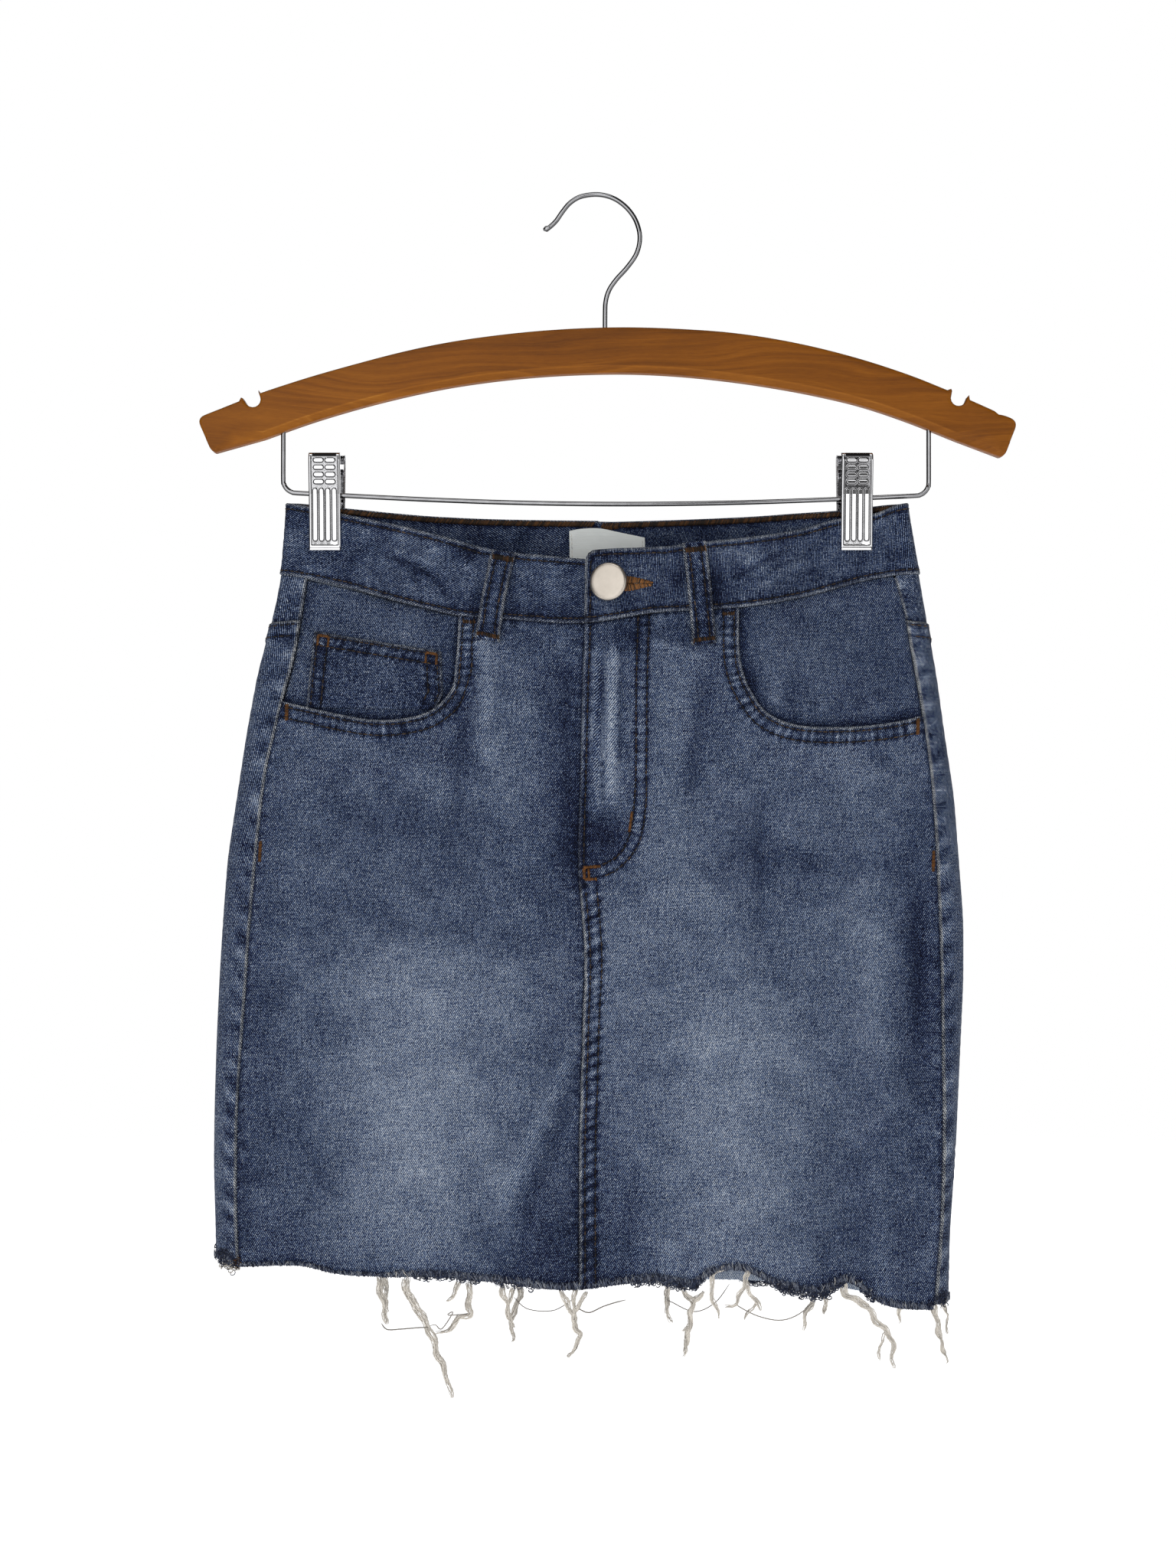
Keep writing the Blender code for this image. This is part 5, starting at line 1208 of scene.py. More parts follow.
# ---- Layers behind the pocket openings ---------------------------------------------------------------
def facing(side, out):
    """The cloth seen inside a pocket's opening. The right one sags from its band edge."""
    pocket, seam_side = POCKETS[side], SIDES[side]
    lower = pocket + sideways(pocket) * FACING_REACH
    if lower[len(lower) // 2, 1] < pocket[len(lower) // 2, 1]:
        lower = pocket - sideways(pocket) * FACING_REACH
    lower[0, 1] = np.interp(lower[0, 0], BAND_BOTTOM[:, 0], BAND_BOTTOM[:, 1])
    low = between_drops(seam_side, BAND_BOTTOM_SIDE + 2, lower[-1, 1])
    if side > 0:
        band_edge = stretch(BAND_BOTTOM, lower[0, 0], low[0, 0])
        outline = joined(band_edge[:-1], low, lower[::-1][1:-1])
        ridge = chart(curve(((84, 262), (100, 272), (126, 274.5), (158, 268)), 2.0))
        seams = [
            Seam(ridge, rope=0.0, pucker=0.5, raised=0.7, pitch=14.0, reach=1.0),
            Seam(pocket, rope=0.0, pucker=0.0, raised=0.0, shadow=0.22, shadow_width=4.0),
        ]

        def level(points):
            return out - 1.3 * np.exp(-((points[:, 0] - 122) / 30) ** 2 - ((points[:, 1] - 277) / 14) ** 2)
    else:
        band_edge = stretch(BAND_BOTTOM, low[0, 0], lower[0, 0])
        outline = joined(band_edge[::-1][:-1], lower, low[::-1][:-1])
        level = out
        seams = [Seam(pocket, rope=0.0, pucker=0.0, raised=0.0, shadow=0.20, shadow_width=3.2)]
    under = out - DENIM - (1.2 if side > 0 else 0.0)
    name = "cloth_facing_" + WORD[side]
    return Cloth(name, outline, level, under, FRONT, "facing", seams, layer=9 + side, shade=-0.05)


def polygon(corners):
    """The edges of a closed outline, each with points along it."""
    return [divide([one, two], FINE_SPACING) for one, two in zip(corners, np.roll(corners, -1, axis=0))]


def coin_pocket():
    """The small pocket on the left facing."""
    corners = chart(COIN_POCKET)
    top, right, slope, bottom, left = edges = polygon(corners)
    right = joined(right, slope[1:])
    top_rows, side_rows = (2.0, 7.2), (2.3, 7.8)
    seams = [Seam(top, top_rows, rope=0.9, pucker=0.9, raised=0.5, pitch=5.0)]
    seams += [Seam(edge, side_rows, rope=0.8, pucker=0.8, raised=0.3, pitch=5.5) for edge in (right, left)]
    outline = joined(*[edge[:-1] for edge in edges])
    made = Cloth(
        "cloth_coin_pocket", outline, COIN_OUT, COIN_OUT - 1.1, FRONT, "facing", seams, layer=14, shade=-0.10,
    )
    sew(made, top, top_rows)
    for row in side_rows:
        sew(made, right, (row,))
        sew(made, left, (row,))
    for corner, toward in ((corners[0], 1), (corners[1], -1)):
        box = corner + [toward * 2.2, 1.9 + (0.4 if toward > 0 else -0.4)]
        reach, low = np.array([toward * 5.7, 0.96 * toward]), np.array([0, 5.6])
        for one, two, width, tint in (
            (box, box + reach, 1.3, 0.55), (box, box + low, 1.3, 0.40),
            (box + reach, box + reach + low, 1.1, 0.45),
        ):
            bartack(made, one, two, width=width, tint=tint)
    return made


facings = {-1: facing(-1, FACING_LEFT_OUT), 1: facing(1, FACING_RIGHT_OUT)}
coin = coin_pocket()


# ---- Back panels, yokes and pockets ------------------------------------------------------------------
YOKE_LINE = YOKE_SIDE - 3.0


def yoke_line(side):
    """The yoke's lower edge on the back chart, from the side seam to the centre back."""
    x, drop = np.transpose(SIDE_SEAM[side])
    start = other_chart(chart([(np.interp(YOKE_LINE, drop, x), YOKE_LINE)]), side)[0]
    part = np.linspace(0, 1, 130)
    edge = abs(side_place(side, YOKE_LINE)[0])
    fall = np.clip((1 - part * abs(start[0]) / edge + 0.08), 0, 1)[::-1] ** 1.2
    drops = YOKE_LINE + (YOKE_CENTRE - YOKE_LINE) * fall
    drops[0], drops[-1] = YOKE_LINE, YOKE_CENTRE
    return np.stack([start[0] * (1 - part), drops], -1)


def back_panels(side):
    """One half of the back: its yoke, its panel and its patch pocket, with their stitching."""
    word = WORD[side]
    yoke = yoke_line(side)
    seam_side = other_chart(SIDES[side], side)
    top_side = between_drops(seam_side, BAND_BOTTOM_SIDE + 2, YOKE_LINE)
    low_side = between_drops(seam_side, YOKE_LINE, seam_side[-1, 1])
    band_edge = other_chart(BAND_BOTTOM[side * BAND_BOTTOM[:, 0] > 0], side)
    band_edge = band_edge[np.argsort(side * band_edge[:, 0])]
    away = side * band_edge[:, 0]
    band_edge = band_edge[(away > 0.8) & (away < side * top_side[0, 0] - 0.4)]
    outline = joined([[0.0, BAND_TOP_CENTRE_BACK + BAND_HEIGHT_BACK]], band_edge, top_side, yoke[1:])
    seams = [
        Seam(yoke, rope=0.0, pucker=0.5, raised=-0.2, pitch=7.0, reach=2.0, shadow=0.16, shadow_width=2.0),
        Seam(top_side, rope=0.9, pucker=0.8, raised=0.3, pitch=12.0, reach=3.0),
    ]
    upper = Cloth("cloth_yoke_" + word, outline, DENIM, 0.0, BACK, "denim", seams, layer=20 + side)

    hem = chart([point for point in BACK_HEM if side * (point[0] + 2) > 6])
    hem = hem[np.argsort(side * hem[:, 0])]
    hem_centre = [[0.0, HEM_CENTRE_BACK]]
    hem = curve(joined(hem_centre, hem, [side_place(side, HEM_SIDE[side])], seam_side[-1:]), SPACING)
    centre = divide(joined([[0.0, YOKE_CENTRE]], hem_centre), SPACING)
    outline = joined(yoke[:-1], centre[:-1], hem[:-1], low_side[::-1][:-1])
    yoke_rows, centre_rows = (2.2, 8.4), (2.6, 8.4)
    seams = [
        Seam(low_side, rope=1.1, pucker=1.0, raised=0.35, pitch=15.0, reach=5.0, slant=0.8),
        Seam(yoke, yoke_rows, rope=1.0, pucker=1.0, raised=0.7, pitch=6.5),
    ]
    if side > 0:
        seams.append(Seam(centre, centre_rows, rope=1.0, pucker=1.1, raised=0.7, pitch=6.2, slant=0.5))
    else:
        seams.append(Seam(centre, rope=0.0, pucker=0.4, raised=-0.35, pitch=7.0, reach=4.0))
    lower = Cloth("cloth_back_" + word, outline, DENIM, 0.0, BACK, "denim", seams, layer=24 + side)
    sew(lower, yoke, yoke_rows)
    if side > 0:
        sew(lower, centre, centre_rows)

    corners = chart(np.array(BACK_POCKET) + (side * BACK_POCKET_X, BACK_POCKET_DROP))
    edges = polygon(corners)
    around = joined(*[edge[:-1] for edge in edges[1:4]], edges[4])
    rows, hem_rows = (1.9, 7.4), (2.0, 12.0)
    seams = [
        Seam(around, rows, rope=0.9, pucker=0.9, raised=0.5, pitch=6.0),
        Seam(edges[0], hem_rows, rope=0.9, pucker=0.8, raised=0.5, pitch=6.0),
    ]
    outline = joined(*[edge[:-1] for edge in edges])
    patch = Cloth("cloth_back_pocket_" + word, outline, 2.7, 1.5, BACK, "denim", seams, layer=28 + side)
    sew(patch, around, rows)
    sew(patch, edges[0], hem_rows, start=3.0, end=3.0)
    for corner, inner in zip(corners[:2], (2.0, -2.0)):
        bartack(patch, corner + [inner, 1.2], corner + [inner, 9.5], width=1.8)
    return upper, lower, patch, hem


backs = {side: back_panels(side) for side in (-1, 1)}


# ---- Waistband and belt loops ------------------------------------------------------------------------
LAP = chart([(LAP_FLAT_X, BUTTON_DROP), (LAP_END_X, BUTTON_DROP)])[:, 0]


def lap(points):
    """How far the right half of the waistband stands off where it laps over the left."""
    return BAND_LIFT * smooth((LAP[1] - points[:, 0]) / (LAP[1] - LAP[0]))


def band_top(side):
    """Upper edge of one half of the waistband, from the centre back to its front end."""
    table = BAND_TOP_LEFT if side < 0 else BAND_TOP_RIGHT
    line = whole_round(table, BAND_TOP_SIDE, BAND_TOP_BACK, BAND_TOP_CENTRE_BACK)
    front_line = chart(curve(table, SPACING))
    if side < 0:
        return joined(line[line[:, 0] < front_line[0, 0] - 0.8], front_line)
    return joined(front_line, line[line[:, 0] > front_line[-1, 0] + 0.8])


def band_half(side):
    """One half of the waistband. The right one has the buttonhole."""
    top = band_top(side)
    centre = half_round(BAND_TOP_CENTRE_BACK + BAND_HEIGHT_BACK)
    if side < 0:
        end = chart([(UNDERLAP_X, BUTTON_DROP)])[0, 0]
        bottom = stretch(BAND_BOTTOM, -centre, end)
        tail = divide([top[-1], [end, UNDERLAP_CORNER], bottom[-1]], SPACING)
        outline = joined(top[:-1], tail[:-1], bottom[::-1])
        out, under, hole = BAND_OUT, BAND_OUT - BAND_WALL, None
    else:
        end = chart([(CENTRE_X, BUTTON_DROP)])[0, 0]
        bottom = stretch(BAND_BOTTOM, end, centre)
        corner = chart([(-4.9, 199), (-4.4, 196), (-3.2, 193.6)])
        tail = joined(divide([bottom[0], [end, 200.5]], SPACING), corner, top[:1])
        outline = joined(top, bottom[::-1][:-1], tail[:-1])
        angle = np.linspace(0.25, 2 * math.pi - 0.25, 15)
        eye = np.stack([BUTTON_X + 3.6 * np.cos(angle), BUTTON_DROP + 3.6 * np.sin(angle)], -1)
        hole = chart(joined([(28.5, BUTTON_DROP + 0.45)], eye, [(28.5, BUTTON_DROP - 0.45)]))
        out = lambda points: BAND_OUT + lap(points)
        under = lambda points: BAND_OUT - BAND_WALL + lap(points)
    top_row, bottom_row = (3.1,), (2.5,)
    seams = [
        Seam(top, top_row, rope=0.75, pucker=0.45, raised=0.1, pitch=7.0, reach=4.2),
        Seam(bottom, bottom_row, rope=0.65, pucker=0.55, raised=0.15, pitch=6.0, reach=3.6),
        Seam(tail, top_row, rope=0.9, pucker=0.4, raised=0.1, pitch=7.0, reach=4.2),
    ]
    made = Cloth(
        "cloth_waistband_" + WORD[side], outline, out, under, FRONT, "band_" + WORD[side], seams, hole=hole,
        reverse=0.0, grid=2.4, layer=34 + side, shade=-0.075, under_shade=-0.05,
    )
    sew(made, top, top_row)
    sew(made, bottom, bottom_row)
    sew(made, tail, top_row)
    return made


bands = {side: band_half(side) for side in (-1, 1)}


def belt_loop(name, home, top_x, top_drop, low_x, low_drop, sway, layer):
    """A belt loop, folded over at its ends and sewn down at both."""
    half = LOOP_WIDTH / 2
    top, low = chart([(top_x, top_drop)])[0], chart([(low_x, low_drop)])[0]
    along = low - top
    height = np.linalg.norm(along)
    bow = np.array([-along[1], along[0]]) / height
    part = np.linspace(0, 1, 34)[:, None]
    lean = np.sin(part * math.pi) * sway
    left = top + along * part + bow * (half + lean)
    right = top + along * part - bow * (half - lean)
    low_end, top_end = divide([left[-1], right[-1]], FINE_SPACING), divide([right[0], left[0]], FINE_SPACING)
    outline = joined(left, low_end[1:-1], right[::-1], top_end[1:-1])

    def share_down(points):
        return np.clip(((points - top) @ along) / height ** 2, 0, 1)

    def stand(points):
        return BAND_OUT + 0.3 + LOOP_STAND * np.sin(share_down(points) * math.pi) ** 0.7

    def over(points):
        share = share_down(points)
        folded = 0.7 * smooth((share - 0.80) / 0.05) + 0.5 * smooth((0.10 - share) / 0.04)
        return stand(points) + DENIM + 0.5 + folded

    edges, row = (left, right), (3.2,)
    seams = [Seam(edge, row, rope=1.0, pucker=0.7, raised=0.1, pitch=5.0, reach=3.8) for edge in edges]
    made = Cloth(
        "cloth_" + name, outline, over, stand, home, "loop", seams, reverse=0.0, grid=2.2, layer=layer,
        shade=-0.09,
    )
    for edge in edges:
        sew(made, edge, row, start=2.0, end=2.0)
    for share, width in ((0.075, 2.8), (0.955, 2.0)) if home == FRONT else ((0.06, 2.6), (0.93, 2.0)):
        middle = top + along * share
        bartack(made, middle - bow * (half - 0.7), middle + bow * (half - 0.7), width=width, tint=0.08)
    return made


loops = {row[0]: belt_loop(*row, layer=40 + index) for index, row in enumerate(LOOPS)}


# ---- Waistband's thread, label and the fly's hidden layers -------------------------------------------
def overcast(cloth, path, near, far, step=0.72):
    """A dense band of slanting thread along an edge, on the cloth's inner face."""
    line = inward(divide(path, 1.2), near, cloth.outline)
    deep = inward(divide(path, 1.2), far, cloth.outline)
    size = lengths(line)[-1]
    starts = np.arange(1.0, size - 2.5, step)
    count = len(starts)
    starts = starts + rng.normal(0, 0.08, count)
    part = np.linspace(0, 1, 5)
    along = (starts[:, None] + 1.3 * part).ravel()
    share = np.tile(part, count)[:, None]
    flat = at_length(line, along) * (1 - share) + at_length(deep, along * lengths(deep)[-1] / size) * share
    rise = np.tile(np.sin(part * math.pi) ** 0.6 * 0.55 - 0.05, count)
    paths = cloth.behind(flat, rise).reshape(count, 5, 3)
    bartacks.add(paths, np.full((count, 5), 0.34), 4, tints(0.12, 0.13, count))


for side, half_band in bands.items():
    overcast(half_band, band_top(side), 0.7, 3.2)
    around = half_band.outline[:, 0]
    sew(half_band, stretch(BAND_BOTTOM, around.min() + 1, around.max() - 1), (2.5,), behind=True)
centre_back = half_round(BAND_TOP_CENTRE_BACK)
bartack(bands[1], [centre_back - 2.0, 176.8], [centre_back - 10.2, 176.6], width=3.0, tint=0.30, behind=True)

label_edge = chart([(LABEL_LEFT, 179.0), (-7, 177.8), (3, 177.6), (14, 179.8), (LABEL_RIGHT, 182.6)])
label_low = chart([(LABEL_RIGHT, LABEL_BOTTOM), (LABEL_LEFT, LABEL_BOTTOM)])
label_right = divide([label_edge[-1], label_low[0]], FINE_SPACING)
label_left = divide([label_edge[0], label_low[1]], FINE_SPACING)
label_outline = joined(
    curve(label_edge, FINE_SPACING), label_right[1:-1], divide(label_low, FINE_SPACING),
    divide([label_low[1], label_edge[0]], FINE_SPACING)[1:-1],
)
label = Cloth("cloth_label", label_outline, -1.2, -1.9, BACK, "satin", grid=2.6, layer=50)
pale = Collector()
for edge in (label_left, label_right):
    sew(label, edge, (1.3,), pitch=2.2, radius=0.16, collector=pale, tint=0.85, behind=True)

shield_outline = divide(closed(chart(FLY_SHIELD)), 2.0)[:-1]
shield = Cloth("cloth_fly_shield", shield_outline, -1.8, -3.0, FRONT, "facing", layer=54)
zip_corners = chart(((-2, 231.5), (10, 231), (9, 350), (-3, 350), (-2, 231.5)))
tape = Cloth("cloth_zip_tape", divide(zip_corners, 2.0)[:-1], -0.75, -1.45, FRONT, "tape", layer=55)


def zip_teeth():
    """Two rows of metal teeth that mesh down the middle of the tape."""
    drops = np.arange(236, 346, 1.3)
    middle = np.interp(drops, (231, 350), (4.0, 3.0))
    side = np.where(np.arange(len(drops)) % 2, 1.0, -1.0)
    part = np.linspace(-1, 1, 4)
    x = middle[:, None] + side[:, None] * 0.9 + part * 1.5
    flat = chart(np.stack([x.ravel(), np.repeat(drops, 4)], -1))
    paths = tape.on(flat, 0.12).reshape(len(drops), 4, 3)
    teeth = Collector()
    teeth.add(paths, np.tile([0.22, 0.33, 0.33, 0.22], (len(drops), 1)), 6, np.full(len(drops), 0.5))
    return teeth.piece("zip_teeth", FINISH["chrome"])


teeth = zip_teeth()


# ---- Button and buttonhole ---------------------------------------------------------------------------
def buttonhole_thread():
    """Thread laid side by side across the slit, tapering to a point."""
    x = np.arange(11.5, 30.6, 0.42)
    reach = 3.35 * np.clip((30.9 - x) / 12.6, 0.0, 1.0) ** 0.85 + 0.35
    part = np.linspace(0.0, 1.0, 5)
    for side in (-1, 1):
        lean = 0.9 * (part - 0.2)
        px = x[:, None] + lean + rng.normal(0, 0.06, (len(x), 1))
        pd = BUTTON_DROP + 0.4 + side * (0.25 + reach[:, None] * part) + rng.normal(0, 0.08, (len(x), 1))
        flat = chart(np.stack([px.ravel(), pd.ravel()], -1))
        rise = np.tile(0.75 * np.sin(np.clip(part * 1.1 + 0.15, 0, 1) * math.pi) ** 0.6, len(x))
        paths = bands[1].on(flat, rise).reshape(len(x), 5, 3)
        bartacks.add(paths, np.full((len(x), 5), 0.34), 5, tints(0.40, 0.28, len(x)))


def turned_piece(name, profile, steps, finish, where, turn):
    """A solid turned about Z from a profile of radius and height."""
    profile = np.asarray(profile, float)
    angle = np.arange(steps) / steps * 2 * math.pi
    ring = np.stack([np.cos(angle), np.sin(angle)], -1)
    points = [np.column_stack([ring * radius, np.full(steps, height)]) for radius, height in profile[1:-1]]
    points = np.vstack([[[0, 0, profile[0, 1]]]] + points + [[[0, 0, profile[-1, 1]]]])
    corner = 1 + np.arange((len(profile) - 2) * steps).reshape(-1, steps)
    after = np.roll(corner, -1, axis=1)
    faces = np.stack([corner[:-1], corner[1:], after[1:], after[:-1]], -1).reshape(-1, 4).tolist()
    faces += [[0, a, b] for a, b in zip(corner[0], after[0])]
    faces += [[len(points) - 1, b, a] for a, b in zip(corner[-1], after[-1])]
    return make_mesh(name, points, faces, finish, where=where, turn=turn)


def jeans_button(lean=16.0):
    """Domed button on its shank, which leans so that one side of its rim stands further out."""
    p, d = chart([(BUTTON_X, BUTTON_DROP)]).T
    surface, above = (place(p, d, FRONT, out)[0] for out in (0.0, 1.0))
    shank = 2.2
    foot = 0.3 + shank * math.sin(math.radians(lean))
    neck = BAND_WALL + 0.3 - foot + 3.6
    top = neck + 2.6
    profile = [
        (0, top), (7.2, top - 0.03), (8.7, top - 0.10), (9.3, top - 0.28), (9.75, top - 0.62),
        (10.05, top - 1.0), (10.2, top - 1.5), (10.2, neck + 0.6), (9.9, neck + 0.15), (9.3, neck),
        (3.0, neck - 0.1), (shank, neck - 0.5), (shank, 0.0), (0, 0.0),
    ]
    turn = Quaternion((0, 0, 1), math.radians(-lean)) @ Vector(above - surface).to_track_quat("Z", "Y")
    where = Vector(place(p, d, FRONT, BAND_OUT + foot)[0]) * MM
    return turned_piece("button_head", profile, 72, FINISH["button"], where, turn)


buttonhole_thread()
button = jeans_button()


# ---- Raw hem -----------------------------------------------------------------------------------------
WADS = {
    # x from, x to, reach above and below the edge, curls a millimetre
    FRONT: ((20, 58, 3.2, 1.6, 7.5), (95, 133, 3.4, 3.2, 9.0), (142, 150, 2.2, 1.2, 6.0),
            (-96, -60, 3.2, 0.6, 3.75), (-52, -30, 2.8, 0.5, 2.4)),
    BACK: ((-150, -120, 3.2, 2.6, 7.5), (-20, 24, 3.0, 2.2, 7.5), (80, 112, 3.2, 2.4, 7.5)),
}
CLEAN_TO = -106.0
BUNDLES = (
    # strands, width at the root, then x and drop down the bundle
    (9, 3.6, ((-114, 577.5), (-112.8, 586), (-110.7, 594.9), (-110.7, 602.6))),
    (1, 0.0, ((-113.2, 602.6), (-109.9, 605.5), (-102.2, 605.1), (-94.1, 604.3), (-87.6, 603.9))),
    (10, 4.0, ((-99.8, 577.9), (-98.6, 586.8), (-94.5, 592.1), (-91.3, 598.6), (-88, 603.9), (-84.4, 613.2),
               (-82.8, 619.3), (-80.3, 623.7), (-77.9, 631.8), (-75.1, 641.2))),
    (5, 2.4, ((-71.8, 579.5), (-73.8, 585.2), (-77.9, 590.1))),
    (7, 3.2, ((-66.5, 580.3), (-66.5, 590.1), (-65.7, 596.6), (-71.4, 598.2), (-72.6, 601), (-76.3, 604.3),
              (-83.6, 607.5))),
    (1, 0.0, ((-65.7, 596.6), (-77.5, 597.4), (-74.7, 595.8), (-80.7, 604.7), (-84, 602.6), (-86.8, 603.1))),
    (6, 2.6, ((-48.7, 581.2), (-47.9, 586.8), (-45.9, 593.3), (-43, 603.9))),
    (5, 2.2, ((-42.6, 582.8), (-44.7, 588.5), (-45.9, 593.3), (-43, 603.9))),
    (6, 2.6, ((-17.9, 584), (-14.7, 591.7), (-11, 598.2), (-9.8, 605.5), (-7.4, 609.5), (-13.8, 620.5))),
    (5, 2.2, ((-9.8, 584), (-11, 591.7), (-10.6, 598.2), (-9.8, 605.5), (-7.4, 609.5), (-13.8, 620.5))),
    (4, 2.0, ((-4.1, 585.6), (-8.2, 592.5), (-11, 598.2), (-9.8, 605.5), (-7.8, 609.1))),
    (1, 0.0, ((-10.6, 596.2), (-8.2, 594.9), (-2.5, 596.6), (5.6, 592.9), (17, 589.3))),
    (6, 2.6, ((45.4, 579.9), (48.6, 586), (51.8, 591.3), (50.2, 602.6), (47.4, 619.3))),
    (6, 2.6, ((57.9, 584.8), (55.1, 588.5), (51.8, 591.3), (50.6, 602.6), (47.8, 617.6))),
    (3, 1.2, ((51, 601.4), (48.6, 604.3), (46.6, 605.9))),
    (6, 2.4, ((69.3, 571.4), (63.6, 574.7), (62, 578.7), (62.8, 588.5), (66.4, 599))),
    (5, 2.4, ((81.8, 573), (78.6, 582.8), (74.5, 591.3), (69.3, 593.3))),
    (5, 2.4, ((80.2, 579.9), (84.3, 588.5), (88.7, 594.9))),
    (3, 1.4, ((85.9, 590.1), (84.3, 592.9), (79.4, 599.8))),
    (1, 0.0, ((74.5, 591.3), (77.4, 593.3), (87.1, 598.2), (98.5, 600.6), (108.2, 597.8), (117.9, 590.1))),
    (5, 2.2, ((121.6, 586.4), (122.8, 594.1), (122, 598.2))),
    (9, 3.4, ((132.1, 579.1), (134.5, 588.5), (144.7, 594.1), (151.6, 603.9), (158.5, 611.6),
              (159.3, 627.8))),
    (4, 1.8, ((165, 592.5), (163.3, 595.3), (162.5, 603.9))),
    (3, 1.4, ((155.6, 608.3), (153.2, 614.4), (151.6, 623.3))),
    (7, 3.0, ((180.8, 592.5), (183.6, 606.7), (186.4, 619.3), (190.5, 627.4))),
    (5, 2.2, ((184.4, 592.5), (189.3, 603.9), (193.7, 612))),
)
BUNDLES_BACK = (
    (7, 2.6, ((120, 588), (118.6, 598), (115, 606), (114, 614))),
    (7, 2.8, ((36, 582), (40, 592), (39.6, 602), (42, 611))),
    (8, 3.0, ((-40, 584), (-41, 598), (-45, 608), (-44, 621))),
    (6, 2.6, ((-118, 577), (-113, 588), (-114, 597), (-112, 604))),
    (1, 0.0, ((-44, 596), (-36, 603), (-22, 604), (-10, 597))),
    (1, 0.0, ((40, 598), (54, 604), (66, 599), (74, 589))),
)
CORNERS = (
    # x and drop, how far it scatters, curls, gathered in, size, radius, tint and its spread
    ((-195.5, 568.5), (3.0, 2.8), 130, "fray", (0.6, 1.5), 0.34, (0.12, 0.10)),
    ((185.5, 591.0), (2.0, 1.6), 60, "fray", (0.6, 1.4), 0.32, (0.14, 0.10)),
    ((-190.6, 571.0), (0.9, 1.6), 36, "knot", (0.5, 1.1), 0.30, (0.10, 0.12)),
    ((-195.0, 573.6), (2.2, 1.1), 26, "threads", (0.6, 1.5), 0.30, (0.55, 0.14)),
)
fray, threads = {}, {}


def fringe(home, path, count, out, tint, below, radius, rise, drift):
    """Short loosened fibres that lie on a hem's edge, from above it to just below it."""
    size = lengths(path)[-1]
    root = at_length(path, rng.uniform(0.5, size - 0.5, count))
    x = section(root[:, 1])[0] + root[:, 0]
    above = rng.uniform(*rise, count) * np.where((home == FRONT) & (x < CLEAN_TO), 0.6, 1.0)
    span = above + rng.uniform(*below, count)
    part = np.linspace(0, 1, 5)
    lean = rng.normal(0.20, 0.34, count)
    wave, turn = rng.uniform(0.1, 0.42, count), rng.uniform(0, 6.3, count)
    p = root[:, :1] + lean[:, None] * span[:, None] * (part - 0.6)
    p += wave[:, None] * np.sin(turn[:, None] + part * rng.uniform(3, 7, count)[:, None])
    d = root[:, 1:] - above[:, None] + span[:, None] * part
    height = rng.uniform(*out, count)[:, None] + drift * part * rng.uniform(-1, 1, count)[:, None]
    paths = place(p.ravel(), d.ravel(), home, height.ravel()).reshape(count, 5, 3)
    radii = radius * rng.uniform(0.7, 1.25, (count, 1)) * np.array([0.6, 1, 1, 0.9, 0.5])
    fray[home].add(paths, radii, 3, tints(*tint, count))


def curls(collector, home, middles, size, radius, tint):
    """Small tangled loops of fibre round the given chart places."""
    count = len(middles)
    part = np.linspace(0, 1, 8)
    start = rng.uniform(0, 6.3, (count, 1))
    turns = rng.uniform(0.5, 1.3, (count, 1)) * rng.choice((-1, 1), (count, 1))
    angle = start + turns * 2 * math.pi * part
    reach = rng.uniform(*size, (count, 1)) * (0.6 + 0.4 * np.sin(part * math.pi))
    p = middles[:, :1] + reach * np.cos(angle) + rng.normal(0, 0.7, (count, 1)) * part
    d = middles[:, 1:] + reach * 0.9 * np.sin(angle) + rng.uniform(-0.2, 1.2, (count, 1)) * part
    height = 1.2 + rng.uniform(-0.8, 1.1, (count, 1)) + 0.5 * np.sin(start + part * 5)
    paths = place(p.ravel(), d.ravel(), home, height.ravel()).reshape(count, 8, 3)
    radii = radius * rng.uniform(0.75, 1.2, (count, 1)) * np.array([0.6, 1, 1, 1, 1, 1, 0.9, 0.5])
    collector.add(paths, radii, 3, tints(*tint, count))


def wads(home, path):
    """Clumps of curled fibre where the hem has frayed most."""
    x = section(path[:, 1])[0] + path[:, 0]
    order = np.argsort(x)
    for x0, x1, above, below, density in WADS[home]:
        if x.max() < x0 or x.min() > x1:
            continue
        count = int((x1 - x0) * density)
        at = np.sort(rng.uniform(max(x0, x.min()), min(x1, x.max()), count))
        p, d = (np.interp(at, x[order], path[order, axis]) for axis in (0, 1))
        share = np.sin(np.clip((at - x0) / (x1 - x0), 0.04, 0.96) * math.pi) ** 0.5
        d = d + rng.uniform(-above, 1.0, count)
        d = d + np.maximum(rng.uniform(-0.6, 1.0, count), 0) * below * share
        light = rng.random(count) < 0.34
        middles = np.stack([p, d], -1)
        curls(fray[home], home, middles[~light], (0.6, 1.5), 0.34, (0.12, 0.09))
        curls(fray[home], home, middles[light], (0.6, 1.3), 0.22, (0.42, 0.08))


